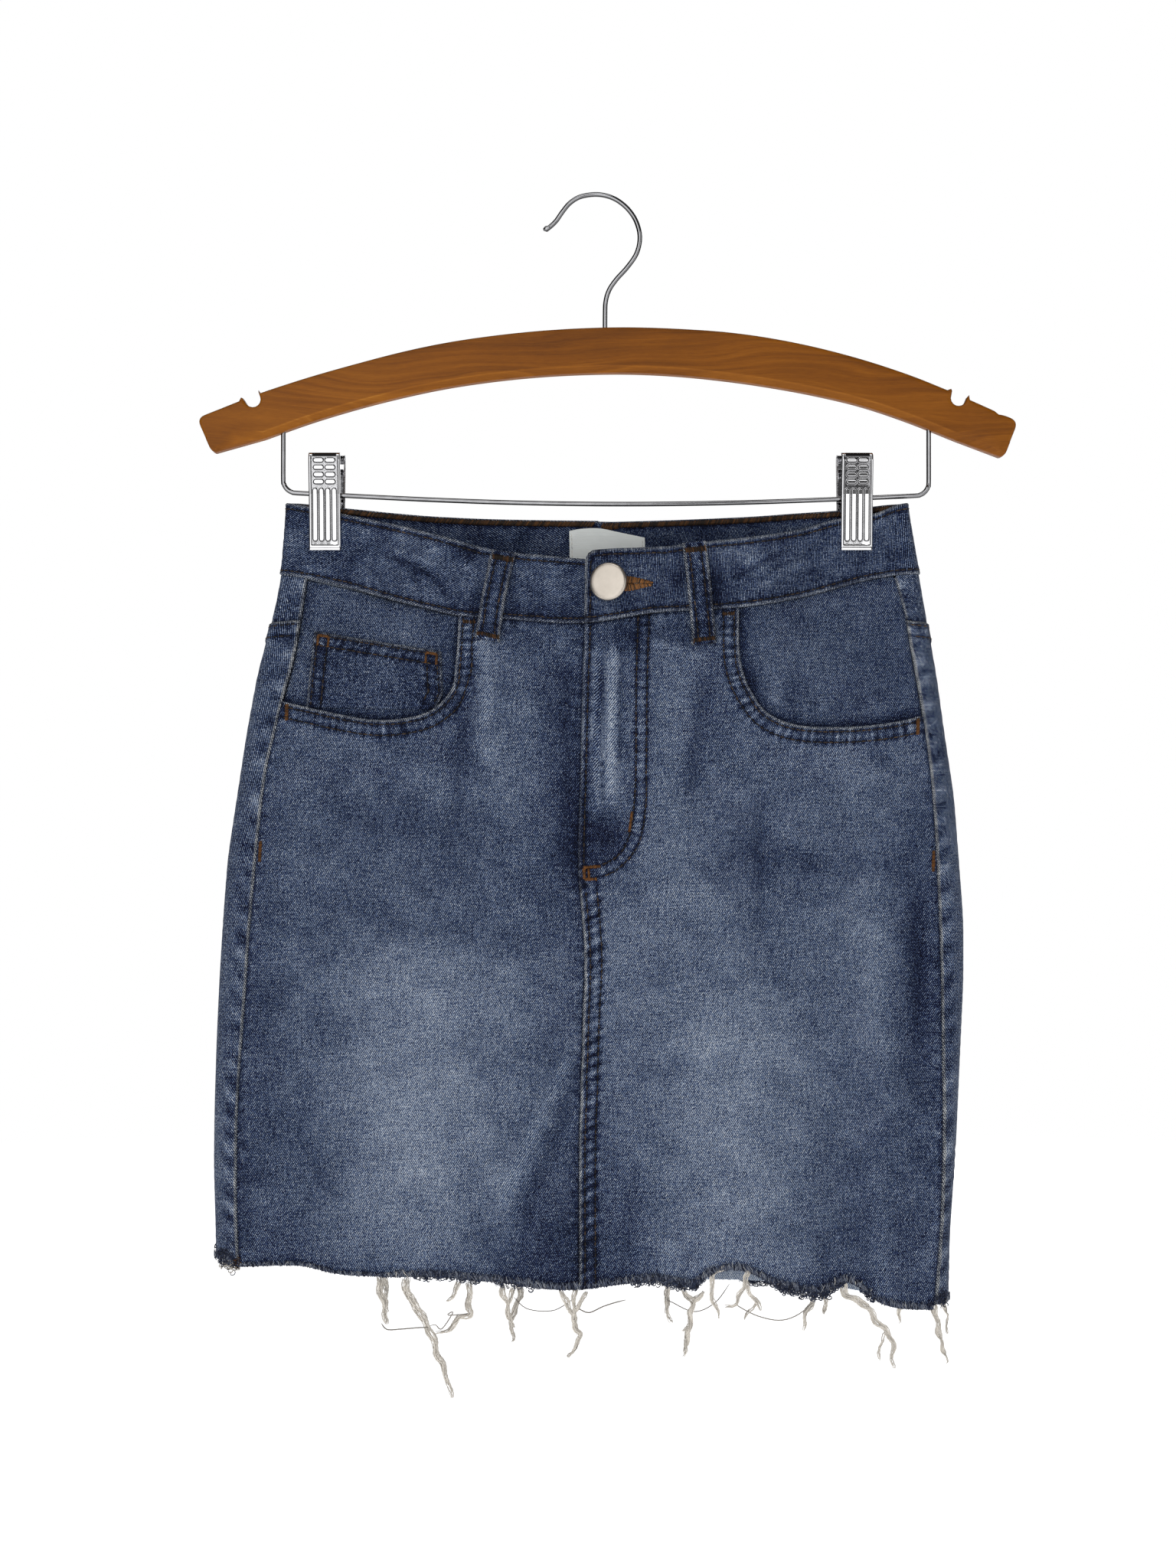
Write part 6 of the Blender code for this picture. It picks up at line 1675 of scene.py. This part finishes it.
def bundle(home, strands, width, route):
    """A flat ribbon of crimped threads that cling together. A single one is a loose thread."""
    single = strands == 1
    over = route[0][1] < 576
    line = curve(chart(np.asarray(route, float)), 0.75)
    size = lengths(line)[-1]
    along = np.linspace(0, 1, len(line))
    run = along * size
    across = sideways(line)
    if not single:
        strands = round(strands * 1.45)
        wander = 0.55 * np.sin(run / rng.uniform(9, 14) * 6.3 + rng.uniform(0, 6.3)) * np.minimum(1, run / 5)
        line = line + across * wander[:, None]
    twist = 0.72 + 0.28 * np.abs(np.sin(run / rng.uniform(11, 17) * math.pi + rng.uniform(0, 3.1)))
    closing = np.interp(along, (0, 0.25, 0.7, 1), (0.95, 1.0, 0.75, 0.40)) * twist
    for strand in range(strands):
        seat = 0.0 if single else (strand + 0.5) / strands - 0.5
        reach = 1.0 if strands < 3 or strand % 3 == 0 else rng.uniform(0.80, 1.0)
        count = max(8, int(len(line) * reach))
        loose = rng.uniform(0.15, 0.5) * np.sin(run / rng.uniform(8, 15) * 6.3 + rng.uniform(0, 6.3))
        crimp = (0.05 if single else 0.14) * np.sin(run / 2.3 * 6.3 + rng.uniform(0, 6.3))
        drift = width * 1.1 * seat * closing + (0.0 if single else loose) + crimp
        path = line + across * drift[:, None]
        roll = 0.0 if single else 0.5 * np.sin(run / 11 * 6.3 + 3.0 * seat) + rng.uniform(-0.3, 0.3)
        stand = np.interp(run, (1.0, 5.0), (0.9 if over else -0.6, 0.9))[:count]
        points = place(path[:count, 0], path[:count, 1], home, stand + (roll if single else roll[:count]))
        even = at_length(points, np.linspace(0, lengths(points)[-1], count))
        radius = (0.30 if single else 0.31) * rng.uniform(0.8, 1.15)
        radii = np.interp(np.linspace(0, 1, count), (0, 0.06, 0.85, 1), radius * np.array([0.4, 1, 1, 0.5]))
        tint = np.clip(rng.normal(0.15 if single else 0.72, 0.05 if single else 0.18), 0.1, 1.0)
        threads[home].add(even[None], radii[None], 4, np.array([tint]))


def raw_hem(home, word, paths, bundles, corners=()):
    """The fibres and the loose threads of one side's hem, as two pieces."""
    fray[home], threads[home] = Collector(), Collector()
    for path in paths:
        size = lengths(path)[-1] * (1.0 if home == FRONT else 0.65)
        fringe(home, path, int(size * 2.8), (0.9, 1.7), (0.10, 0.08), (-0.4, 0.5), 0.34, (2.0, 4.6), 0.3)
        fringe(home, path, int(size * 2.0), (1.7, 2.1), (0.47, 0.08), (-1.1, 0.2), 0.24, (2.2, 4.8), 0.1)
        wads(home, path)
    for strands, width, route in bundles:
        bundle(home, strands, width, route)
    collectors = {"fray": fray[home], "threads": threads[home], "knot": bartacks}
    for where, scatter, count, collector, size, radius, tint in corners:
        middles = chart([where])[0] + rng.normal(0, 1, (count, 2)) * scatter
        curls(collectors[collector], home, middles, size, radius, tint)
    fibres = fray[home].piece("fray_" + word, FINISH["fray"])
    return fibres, threads[home].piece("threads_" + word, FINISH["undyed"])


hem_front = raw_hem(FRONT, "front", [FRONT_HEM_LINE], BUNDLES, CORNERS)
hem_back = raw_hem(BACK, "back", [backs[-1][3], backs[1][3]], BUNDLES_BACK)


# ---- Hanger ------------------------------------------------------------------------------------------
ARM_TOP = (
    (-212.4, 121.4), (-210.6, 118.8), (-202, 115.2), (-190.6, 110.6), (-177.4, 105.6), (-153, 97.7),
    (-128, 90.6), (-103, 84.1), (-79, 79.1), (-54, 75.4), (-29, 72.8), (-4, 71.3), (20, 70.9), (45, 71.7),
    (70, 73.4), (94, 76.6), (119, 81.6), (144, 88.2), (169, 96.4), (189.6, 104.6), (203.4, 110.6),
    (218, 117.2), (225, 120.6), (227.2, 124),
)
ARM_BOTTOM = (
    (219.6, 141.6), (193, 131), (168.5, 121.2), (144, 113), (119, 107), (94, 102.4), (70, 99), (45, 96.5),
    (20, 95.3), (-4, 95.5), (-29, 96.8), (-54, 99.3), (-79, 103), (-103, 108), (-128, 114.4), (-153, 122),
    (-177, 130.6), (-204.6, 139.2),
)
NOTCHES = ((-184.0, 107.5, 20.0), (196.5, 106.8, -22.0))
ARM_HALF, ROUND_TOP, BEVEL, BEVEL_DEPTH = 6.0, 1.6, 3.45, 2.1
HOOK_ROUTE = (
    # x, drop, thickness
    (-27.4, 17.6, 1.35), (-25.8, 17.3, 1.3), (-24.2, 16.5, 1.0), (-20.5, 13, 1), (-17, 8, 1), (-13, 3.3, 1),
    (-7.6, 0, 1), (0, -1.3, 1), (6.5, -0.6, 1), (12.4, 1.8, 1), (18, 6.3, 1), (22.2, 12.2, 1), (24.4, 19, 1),
    (24.4, 25, 1), (22.4, 31.4, 1), (17.6, 38.2, 1), (12, 44.4, 1), (8.2, 50, 1), (6.3, 56, 1), (5.9, 64, 1),
    (5.9, 84, 1),
)
WIRE = 2.6
LEG_X, LEG_TOP, BAR_ENDS, BAR_SAG, BEND = (-167.3, 180.1), (118.0, 116.0), (159.0, 160.5), 5.6, 7.0


def rounded(corners, radius, step=0.8):
    """A closed outline with every corner turned in an arc."""
    path = []
    corners = np.asarray(corners, float)
    for before, corner, after in zip(np.roll(corners, 1, 0), corners, np.roll(corners, -1, 0)):
        one, two = before - corner, after - corner
        reach = min(radius, np.linalg.norm(one) * 0.48, np.linalg.norm(two) * 0.48)
        start = corner + one / np.linalg.norm(one) * reach
        end = corner + two / np.linalg.norm(two) * reach
        t = np.linspace(0, 1, 7)[:, None]
        path.append((1 - t) ** 2 * start + 2 * t * (1 - t) * corner + t ** 2 * end)
    path = np.vstack(path)
    return divide(closed(path), step)[:-1]


def arm_outline():
    """The arm's outline as x and drop, with its strap notches and its rounded ends."""
    top, low = curve(ARM_TOP[1:-1], 2.0), curve(ARM_BOTTOM[1:-1], 2.0)
    angle = np.linspace(math.pi, 0, 9)
    cup = np.stack([4.2 * np.cos(angle), 2.2 + 4.2 * np.sin(angle)], -1)
    across, down = joined([(-5.6, -0.9), (-4.7, -0.1)], cup, [(4.2, -0.4), (4.6, -1.4)]).T
    for notch_x, mouth, tilt in NOTCHES:
        cos, sin = math.cos(math.radians(tilt)), math.sin(math.radians(tilt))
        notch = np.stack([notch_x + across * cos + down * sin, mouth - across * sin + down * cos], -1)
        top = joined(top[top[:, 0] < notch[0, 0]], divide(notch, 0.8), top[top[:, 0] > notch[-1, 0]])
    right = rounded([ARM_TOP[-3], (227.6, 121.2), ARM_BOTTOM[0], ARM_BOTTOM[2]], 4.6)
    left = rounded([ARM_BOTTOM[-3], ARM_BOTTOM[-1], (-213.2, 119.6), ARM_TOP[3]], 4.6)
    right, left = right[right[:, 0] > 217], left[left[:, 0] < -203]
    right, left = right[np.argsort(right[:, 1])], left[np.argsort(-left[:, 1])]
    top = top[(top[:, 0] < 216) & (top[:, 0] > -202)]
    return joined(top, right, low[(low[:, 0] < 216) & (low[:, 0] > -203)], left)


def hanger_arm():
    """The wooden arm: rounded along its top, with a bevelled band along its lower edge."""
    outline = turned(arm_outline())
    flat, faces = net([outline], (0.12, 0.45, 1.0, 1.8, 2.8, 3.2, 3.45, 3.7, 4.2), [], 7.0)
    edge, _ = measure(flat, closed(outline))
    low_edge, _ = measure(flat, curve(ARM_BOTTOM, 2.0))
    top_edge, _ = measure(flat, np.asarray(ARM_TOP, float))
    below = low_edge < top_edge
    inner = np.clip(1 - edge / ROUND_TOP, 0, 1)
    rounding = ROUND_TOP * (1 - np.sqrt(1 - inner ** 2))
    bevel = BEVEL_DEPTH * np.clip(1 - np.maximum(edge, low_edge) / BEVEL, 0, 1)
    bevel += 0.5 * np.clip(1 - edge / 0.5, 0, 1) ** 2
    half = ARM_HALF - np.where(below, bevel, rounding)
    upper = np.stack([flat[:, 0], -half, -flat[:, 1]], -1)
    faces = shell([face[::-1] for face in faces], len(flat))
    made = make_mesh("arm", np.vstack([upper, upper * (1, -1, 1)]), faces, FINISH["wood"])
    # painted highlight along the bevel's upper edge and the arm's upper outline, and painted light over the
    # bevel, for the wood finish
    along = band(flat[:, 0], -198.0, 212.0, 8.0)
    low_ridge = along * np.exp(-((low_edge - BEVEL) / 0.40) ** 2)
    ridge = np.where(below, low_ridge, 0.5 * np.exp(-((edge - 0.6) / 0.5) ** 2))
    attribute(made, "ridge", np.tile(ridge, 2))
    attribute(made, "bevel", np.tile(along * np.where(below, smooth((BEVEL - low_edge) / 0.4), 0.0), 2))
    return made


def wire(name, points, thickness=None, sides=16):
    """A round wire through points given as x and drop, with rounded ends."""
    route = curve(np.asarray(points, float), 1.2)
    thick = np.ones(len(route)) if thickness is None else thickness(route)
    along = lengths(route)
    ends = np.minimum(along, along[-1] - along)
    thick = thick * np.sqrt(np.clip(1 - (1 - np.clip(ends / 1.2, 0, 1)) ** 2, 0.12, 1))
    path = np.stack([route[:, 0], np.zeros(len(route)), -route[:, 1]], -1)
    points, faces = tubes(path[None], (thick * WIRE / 2)[None], sides)
    made = make_mesh(name, points, faces, FINISH["wire"])
    # painted reflection: dark all round but for the front and back, which stands for the room that round wire
    # reflects
    facing = np.abs((points - np.repeat(path, sides, axis=0))[:, 1]) / (np.repeat(thick, sides) * WIRE / 2)
    attribute(made, "painted_shade_and_reflection", 0.85 * (1 - smooth((facing - 0.82) / 0.16)))
    return made


def bar_drop(x):
    """Drop of the sagging bar at x."""
    part = (x - LEG_X[0]) / (LEG_X[1] - LEG_X[0])
    return BAR_ENDS[0] + (BAR_ENDS[1] - BAR_ENDS[0]) * part + BAR_SAG * np.sin(part * math.pi)


def bar_bend(leg, inward_side, angles):
    """The rounded corner between a leg and the bar."""
    x = leg + inward_side * BEND
    drop = bar_drop(x) - BEND
    return [(x - inward_side * BEND * math.cos(angle), drop + BEND * math.sin(angle)) for angle in angles]


def clip_bar(straight_to=135, quarter=math.pi / 2):
    """The wire that hangs from the arm by two legs and carries the clips."""
    points = [(LEG_X[0], LEG_TOP[0]), (LEG_X[0], straight_to)]
    points += bar_bend(LEG_X[0], 1, np.linspace(0, quarter, 6))
    points += [(x, bar_drop(x)) for x in np.linspace(LEG_X[0] + 20, LEG_X[1] - 20, 22)]
    points += bar_bend(LEG_X[1], -1, np.linspace(quarter, 0, 6))
    return wire("bar", points + [(LEG_X[1], straight_to), (LEG_X[1], LEG_TOP[1])])


def hook():
    """The hook, thicker at its ball end."""
    table = np.array(HOOK_ROUTE)
    run = lengths(table[:, :2])
    return wire("hook", table[:, :2], lambda route: np.interp(lengths(route), run, table[:, 2]))


# ---- Clips -------------------------------------------------------------------------------------------
JAW_WIDTH, JAW_TOP, JAW_LENGTH, JAW_SHEET = 17.0, 138.5, 52.0, 0.45
JAW_PROFILE = np.array((
    # drop below the jaw's top, distance of the inner face from the bar
    (0, 7.6), (4, 8.6), (17, 6.5), (22, 5.6), (26.3, 5.1), (46, 3.5), (50.5, 3.4), (52, 4.4),
))
PILL_ROWS, PILL_COLUMNS, FLUTES = (4.2, 8.0, 11.8, 15.6), (-3.1, 3.1), (-5.1, -1.7, 1.7, 5.1)
FLUTE_TOP, FLUTE_BOTTOM, DOTS_DOWN, PATTERN_ROUNDING = 20.2, 46.0, 48.2, 1.5


def pressed(across, down):
    """Height of the pattern pressed into a clip's front."""
    frame_edge = smooth((np.abs(across) - 6.9) / 0.4)
    frame_edge = frame_edge + smooth((2.2 - down) / 0.5) + smooth((down - 49.0) / 0.5)
    height = 0.45 * np.minimum(frame_edge, 1)
    for row in PILL_ROWS:
        for column in PILL_COLUMNS:
            reach = np.hypot(np.maximum(abs(across - column) - 1.5, 0), down - row)
            height = np.maximum(height, 0.52 * smooth((PATTERN_ROUNDING - reach) / 0.5))
    for flute in FLUTES:
        reach = np.hypot(across - flute, np.maximum(np.maximum(FLUTE_TOP - down, down - FLUTE_BOTTOM), 0))
        height = np.maximum(height, 0.50 * smooth((PATTERN_ROUNDING - reach) / 0.5))
        height = height - 0.8 * dot(across, down, flute, 0.36)
    return height


def dot(across, down, flute, softness):
    """1 at the small round mark below a flute, falling to 0 beside it."""
    return np.exp(-((across - flute) ** 2 + (down - DOTS_DOWN) ** 2) / softness)


def painted_jaw_shade(across, down):
    """Painted shade and painted reflection on a clip's front: dark on the walls round its pressed pattern,
    the left and lower ones most, along its top bar and in the dots below the flutes.
    """
    step = 0.2
    right = (pressed(across + step, down) - pressed(across - step, down)) / (2 * step)
    below = (pressed(across, down + step) - pressed(across, down - step)) / (2 * step)
    wall = np.maximum(right, -0.45 * right) + np.maximum(-1.1 * below, 0.8 * below)
    bar = (1 - smooth((down - 2.0) / 0.5)) * smooth((6.8 - np.abs(across)) / 0.5)
    dots = sum(dot(across, down, flute, 0.6) for flute in FLUTES)
    return np.clip(np.maximum(2.0 * wall, bar) + dots, 0, 1)


def jaw(name, middle, side, patterned):
    """One pressed jaw as a shallow channel of sheet. side is -1 for the front one."""
    half, corner, flange = JAW_WIDTH / 2, 0.9, 2.6
    columns, rows = (75, 160) if patterned else (31, 60)
    left = [(-half, flange), (-half, corner)]
    for a in np.linspace(0, math.pi / 2, 5)[1:-1]:
        left.append((-half + corner * (1 - math.cos(a)), corner * (1 - math.sin(a))))
    face_points = [(x, 0.0) for x in np.linspace(-half + corner, half - corner, columns)]
    outer = np.array(left + face_points + [(-x, y) for x, y in left[::-1]])
    inner = outer * ((half - JAW_SHEET) / half, 1) + np.outer(outer[:, 1] < corner - 1e-6, (0, JAW_SHEET))
    ends = (0, 0.15, 0.45, 0.9, 1.5), (50.6, 51.2, 51.7, JAW_LENGTH)
    downs = np.concatenate([ends[0], np.linspace(2.1, 50.0, rows), ends[1]])
    points, painted_shade_and_reflection = [], []
    for is_outer, (across, sheet) in ((True, outer.T), (False, inner.T)):
        for down in downs:
            depth = sheet + 1.5 * (1 - min(down / 1.5, 1)) ** 2
            dark = np.zeros(len(across))
            if is_outer and patterned:
                # painted shade and painted reflection on the pressed pattern's walls, top bar and dots
                dark = painted_jaw_shade(across, down)
                depth = depth + (0.45 - pressed(across, down)) * smooth((half - 0.4 - np.abs(across)) / 0.6)
            elif is_outer:
                depth = depth + 0.25 * smooth((5.5 - np.abs(across)) / 0.8) * band(down, 5, 16, 1.0)
            painted_shade_and_reflection.append(dark)
            x = middle + across * (1 + 0.012 * down / JAW_LENGTH)
            y = side * np.maximum(np.interp(down, *JAW_PROFILE.T) + 1.0 - depth, 1.6)
            points.append(np.stack([x, y, np.full(len(x), -(JAW_TOP + down))], -1))
    rows, columns = len(downs), len(outer)
    corner_at = np.arange(2 * rows * columns).reshape(2, rows, columns)
    faces = []
    for layer, flip in ((0, side > 0), (1, side < 0)):
        at = corner_at[layer]
        quads = np.stack([at[:-1, :-1], at[1:, :-1], at[1:, 1:], at[:-1, 1:]], -1).reshape(-1, 4)
        faces += (quads[:, ::-1] if flip else quads).tolist()
    one, two = [np.concatenate([at[0, :-1], at[:-1, -1], at[-1, :0:-1], at[:0:-1, 0]]) for at in corner_at]
    edges = np.stack([one, np.roll(one, -1), np.roll(two, -1), two], -1)
    faces += (edges[:, ::-1] if side > 0 else edges).tolist()
    made = make_mesh(name, np.vstack(points), faces, FINISH["chrome"])
    attribute(made, "painted_shade_and_reflection", np.concatenate(painted_shade_and_reflection))
    return made


def ear(name, x, middle):
    """A tab of the front jaw that reaches back past the bar, with a hole for it."""
    drop = float(bar_drop(middle))
    corners = np.array([(-6.0, -6.5), (1.2, -4.6), (3.6, -1.5), (3.6, 1.8), (1.0, 4.4), (-5.6, 3.2)])
    outline = rounded(corners + (0, drop), 2.0)
    angle = np.arange(20) / 20 * 2 * math.pi
    hole = np.stack([1.7 * np.cos(angle), drop + 1.7 * np.sin(angle)], -1)
    flat, faces = net([turned(outline), turned(hole)], (0.3,), [], 1.6)
    y, down = flat.T
    layers = [np.stack([np.full(len(flat), x + offset), y, -down], -1) for offset in (-0.3, 0.3)]
    return make_mesh(name, np.vstack(layers), shell(faces, len(flat)), FINISH["chrome"])


def coil(name, middle):
    """Torsion spring round the bar, with an arm to each jaw."""
    turns, radius = 7.0, 3.1
    t = np.linspace(0, 1, 150)
    angle = t * turns * 2 * math.pi
    x = middle + (t - 0.5) * 8.0
    drop = bar_drop(middle)
    path = np.stack([x, radius * np.cos(angle), -(drop + radius * np.sin(angle))], -1)
    first = np.linspace([x[0], 3.6, -(drop - 12)], path[0], 8)[:-1]
    last = np.linspace(path[-1], [x[-1], 4.2, -(drop - 12)], 8)[1:]
    path = np.vstack([first, path, last])
    points, faces = tubes(path[None], np.full((1, len(path)), 0.5), 8)
    return make_mesh(name, points, faces, FINISH["chrome"])


arm = hanger_arm()
hook_wire = hook()
bar = clip_bar()
clip_pieces = {}
for word, middle in zip(("left", "right"), CLIP_X):
    toward = -math.copysign(1.0, middle)
    clip_pieces[f"clip_{word}_front"] = [jaw("jaw_front_" + word, middle, -1, True)] + [
        ear(f"ear_{word}_{side}", middle + side * 6.6, middle) for side in (-1, 1)
    ]
    clip_pieces[f"clip_{word}_back"] = [jaw("jaw_back_" + word, middle + 1.6 * toward, 1, False)]
    clip_pieces[f"clip_{word}_spring"] = [coil("coil_" + word, middle)]


# ---- Thread pieces, and hiding the CAD parts that the new pieces stand for -----------------------------
stitches.piece("stitches", FINISH["stitch"])
bartacks.piece("bartacks", FINISH["bartack"])
pale.piece("label_stitches", FINISH["fray"])


def pair(pieces, node, slot):
    """The rows of a piece that comes as a left and a right one."""
    return [(pieces[side], f"{node}_{word}", slot) for side, word in WORD.items()]


yokes, panels, patches = ({side: backs[side][part] for side in WORD} for part in range(3))
cloths = [
    # cloth, node, slot
    *pair(fronts, "front", "denim"), *pair(facings, "pocket_facing", "denim_facing"),
    (coin, "coin_pocket", "denim_facing"), *pair(yokes, "yoke", "denim"),
    *pair(panels, "back", "denim"), *pair(patches, "back_pocket", "denim"),
    *pair(bands, "waistband", "denim_waistband"), (shield, "fly_shield", "denim_facing"),
    (tape, "fly_zip", "zip_tape"), (label, "label", "label_satin"),
    *((made, name, "denim_waistband") for name, made in loops.items()),
]
for made, node, slot in cloths:
    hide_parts(node)
for pieces, node, slot in (
    (hem_front, "hem_fray_front", "warp_thread"), (hem_back, "hem_fray_back", "warp_thread"),
    ([button], "button", "button_metal"), ([arm], "hanger_arm", "wood"),
    ([hook_wire], "hanger_hook", "chrome"), ([bar], "clip_bar", "chrome"),
    *((group, name, "chrome") for name, group in clip_pieces.items()),
):
    for index, piece in enumerate(pieces):
        if index == 0:
            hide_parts(node)


# ---- Stage, light and camera -------------------------------------------------------------------------
def floor_finish():
    """Almost white, with a faint unevenness."""
    g = Graph("pale_floor", Roughness=0.9, Emission_Strength=0.80)
    cloud = g.noise(g.object_place(), 0.002)
    value = g.plus(0.5, g.spread(cloud, 0.4))
    shade = g.ramp(value, ((0.0, (246, 246, 247)), (1.0, (254, 254, 254))))
    g.shade(Base_Color=shade, Emission_Color=shade)
    return g.material


def floor(drop=800.0, radius=2400.0, count=96):
    """A pale disc below the object."""
    angle = np.arange(count) / count * 2 * math.pi
    edge = np.stack([radius * np.cos(angle), radius * np.sin(angle), np.full(count, -drop)], -1)
    mesh = bpy.data.meshes.new("floor")
    points = joined([[0.0, 0.0, -drop]], edge) * MM
    mesh.from_pydata(points.tolist(), [], [[0, 1 + i, 1 + (i + 1) % count] for i in range(count)])
    mesh.materials.append(floor_finish())
    link("floor", mesh)


def softbox(name, where, target, size, watts):
    """A rectangular lamp, its places and sizes in metres."""
    data = bpy.data.lights.new(name, "AREA")
    data.shape, data.size, data.size_y, data.energy = "RECTANGLE", *size, watts
    made = link(name, data)
    made.location = where
    made.rotation_euler = (Vector(target) - Vector(where)).to_track_quat("-Z", "Y").to_euler()


def studio():
    """A white surround to look at, which lights the object only faintly."""
    world = bpy.data.worlds.new("studio")
    world.use_nodes = True
    nodes, links = world.node_tree.nodes, world.node_tree.links
    seen, dim = nodes["Background"], nodes.new("ShaderNodeBackground")
    seen.inputs["Color"].default_value = dim.inputs["Color"].default_value = (1, 1, 1, 1)
    seen.inputs["Strength"].default_value, dim.inputs["Strength"].default_value = 1.0, 0.10
    ray, mix = nodes.new("ShaderNodeLightPath"), nodes.new("ShaderNodeMixShader")
    links.new(ray.outputs["Is Camera Ray"], mix.inputs[0])
    links.new(dim.outputs[0], mix.inputs[1])
    links.new(seen.outputs[0], mix.inputs[2])
    links.new(mix.outputs[0], nodes["World Output"].inputs["Surface"])
    bpy.context.scene.world = world


MIDDLE = (0, 0, -0.35)
floor()
studio()
softbox("key", (-0.78, -2.0, 0.12), MIDDLE, (1.8, 2.3), 23)
# the bright line down the right clip
softbox("strip", (0.42, -2.0, -0.12), (CLIP_X[1] * MM, 0, -0.17), (0.42, 0.8), 2.2)
softbox("fill", (1.7, -1.6, -0.1), MIDDLE, (0.9, 1.6), 8)
softbox("top", (-0.3, -0.7, 1.5), MIDDLE, (1.6, 0.8), 9)
softbox("back", (0.9, 1.9, 0.4), MIDDLE, (1.6, 1.6), 18)

CAMERA_X, CAMERA_AWAY, CAMERA_Z, FRAME_HEIGHT, SENSOR = -0.0033, 1.5, -0.316, 0.844, 36.0
camera = bpy.data.cameras.new("camera")
camera.sensor_fit, camera.sensor_width, camera.sensor_height = "AUTO", SENSOR, SENSOR
camera.lens = SENSOR * CAMERA_AWAY / FRAME_HEIGHT
camera.clip_start, camera.clip_end = 0.05, 20.0
viewer = link("camera", camera)
viewer.location = (CAMERA_X, -CAMERA_AWAY, CAMERA_Z)
viewer.rotation_euler = (math.pi / 2, 0, 0)
scene = bpy.context.scene
scene.camera = viewer
scene.view_settings.view_transform, scene.view_settings.look = "Standard", "None"
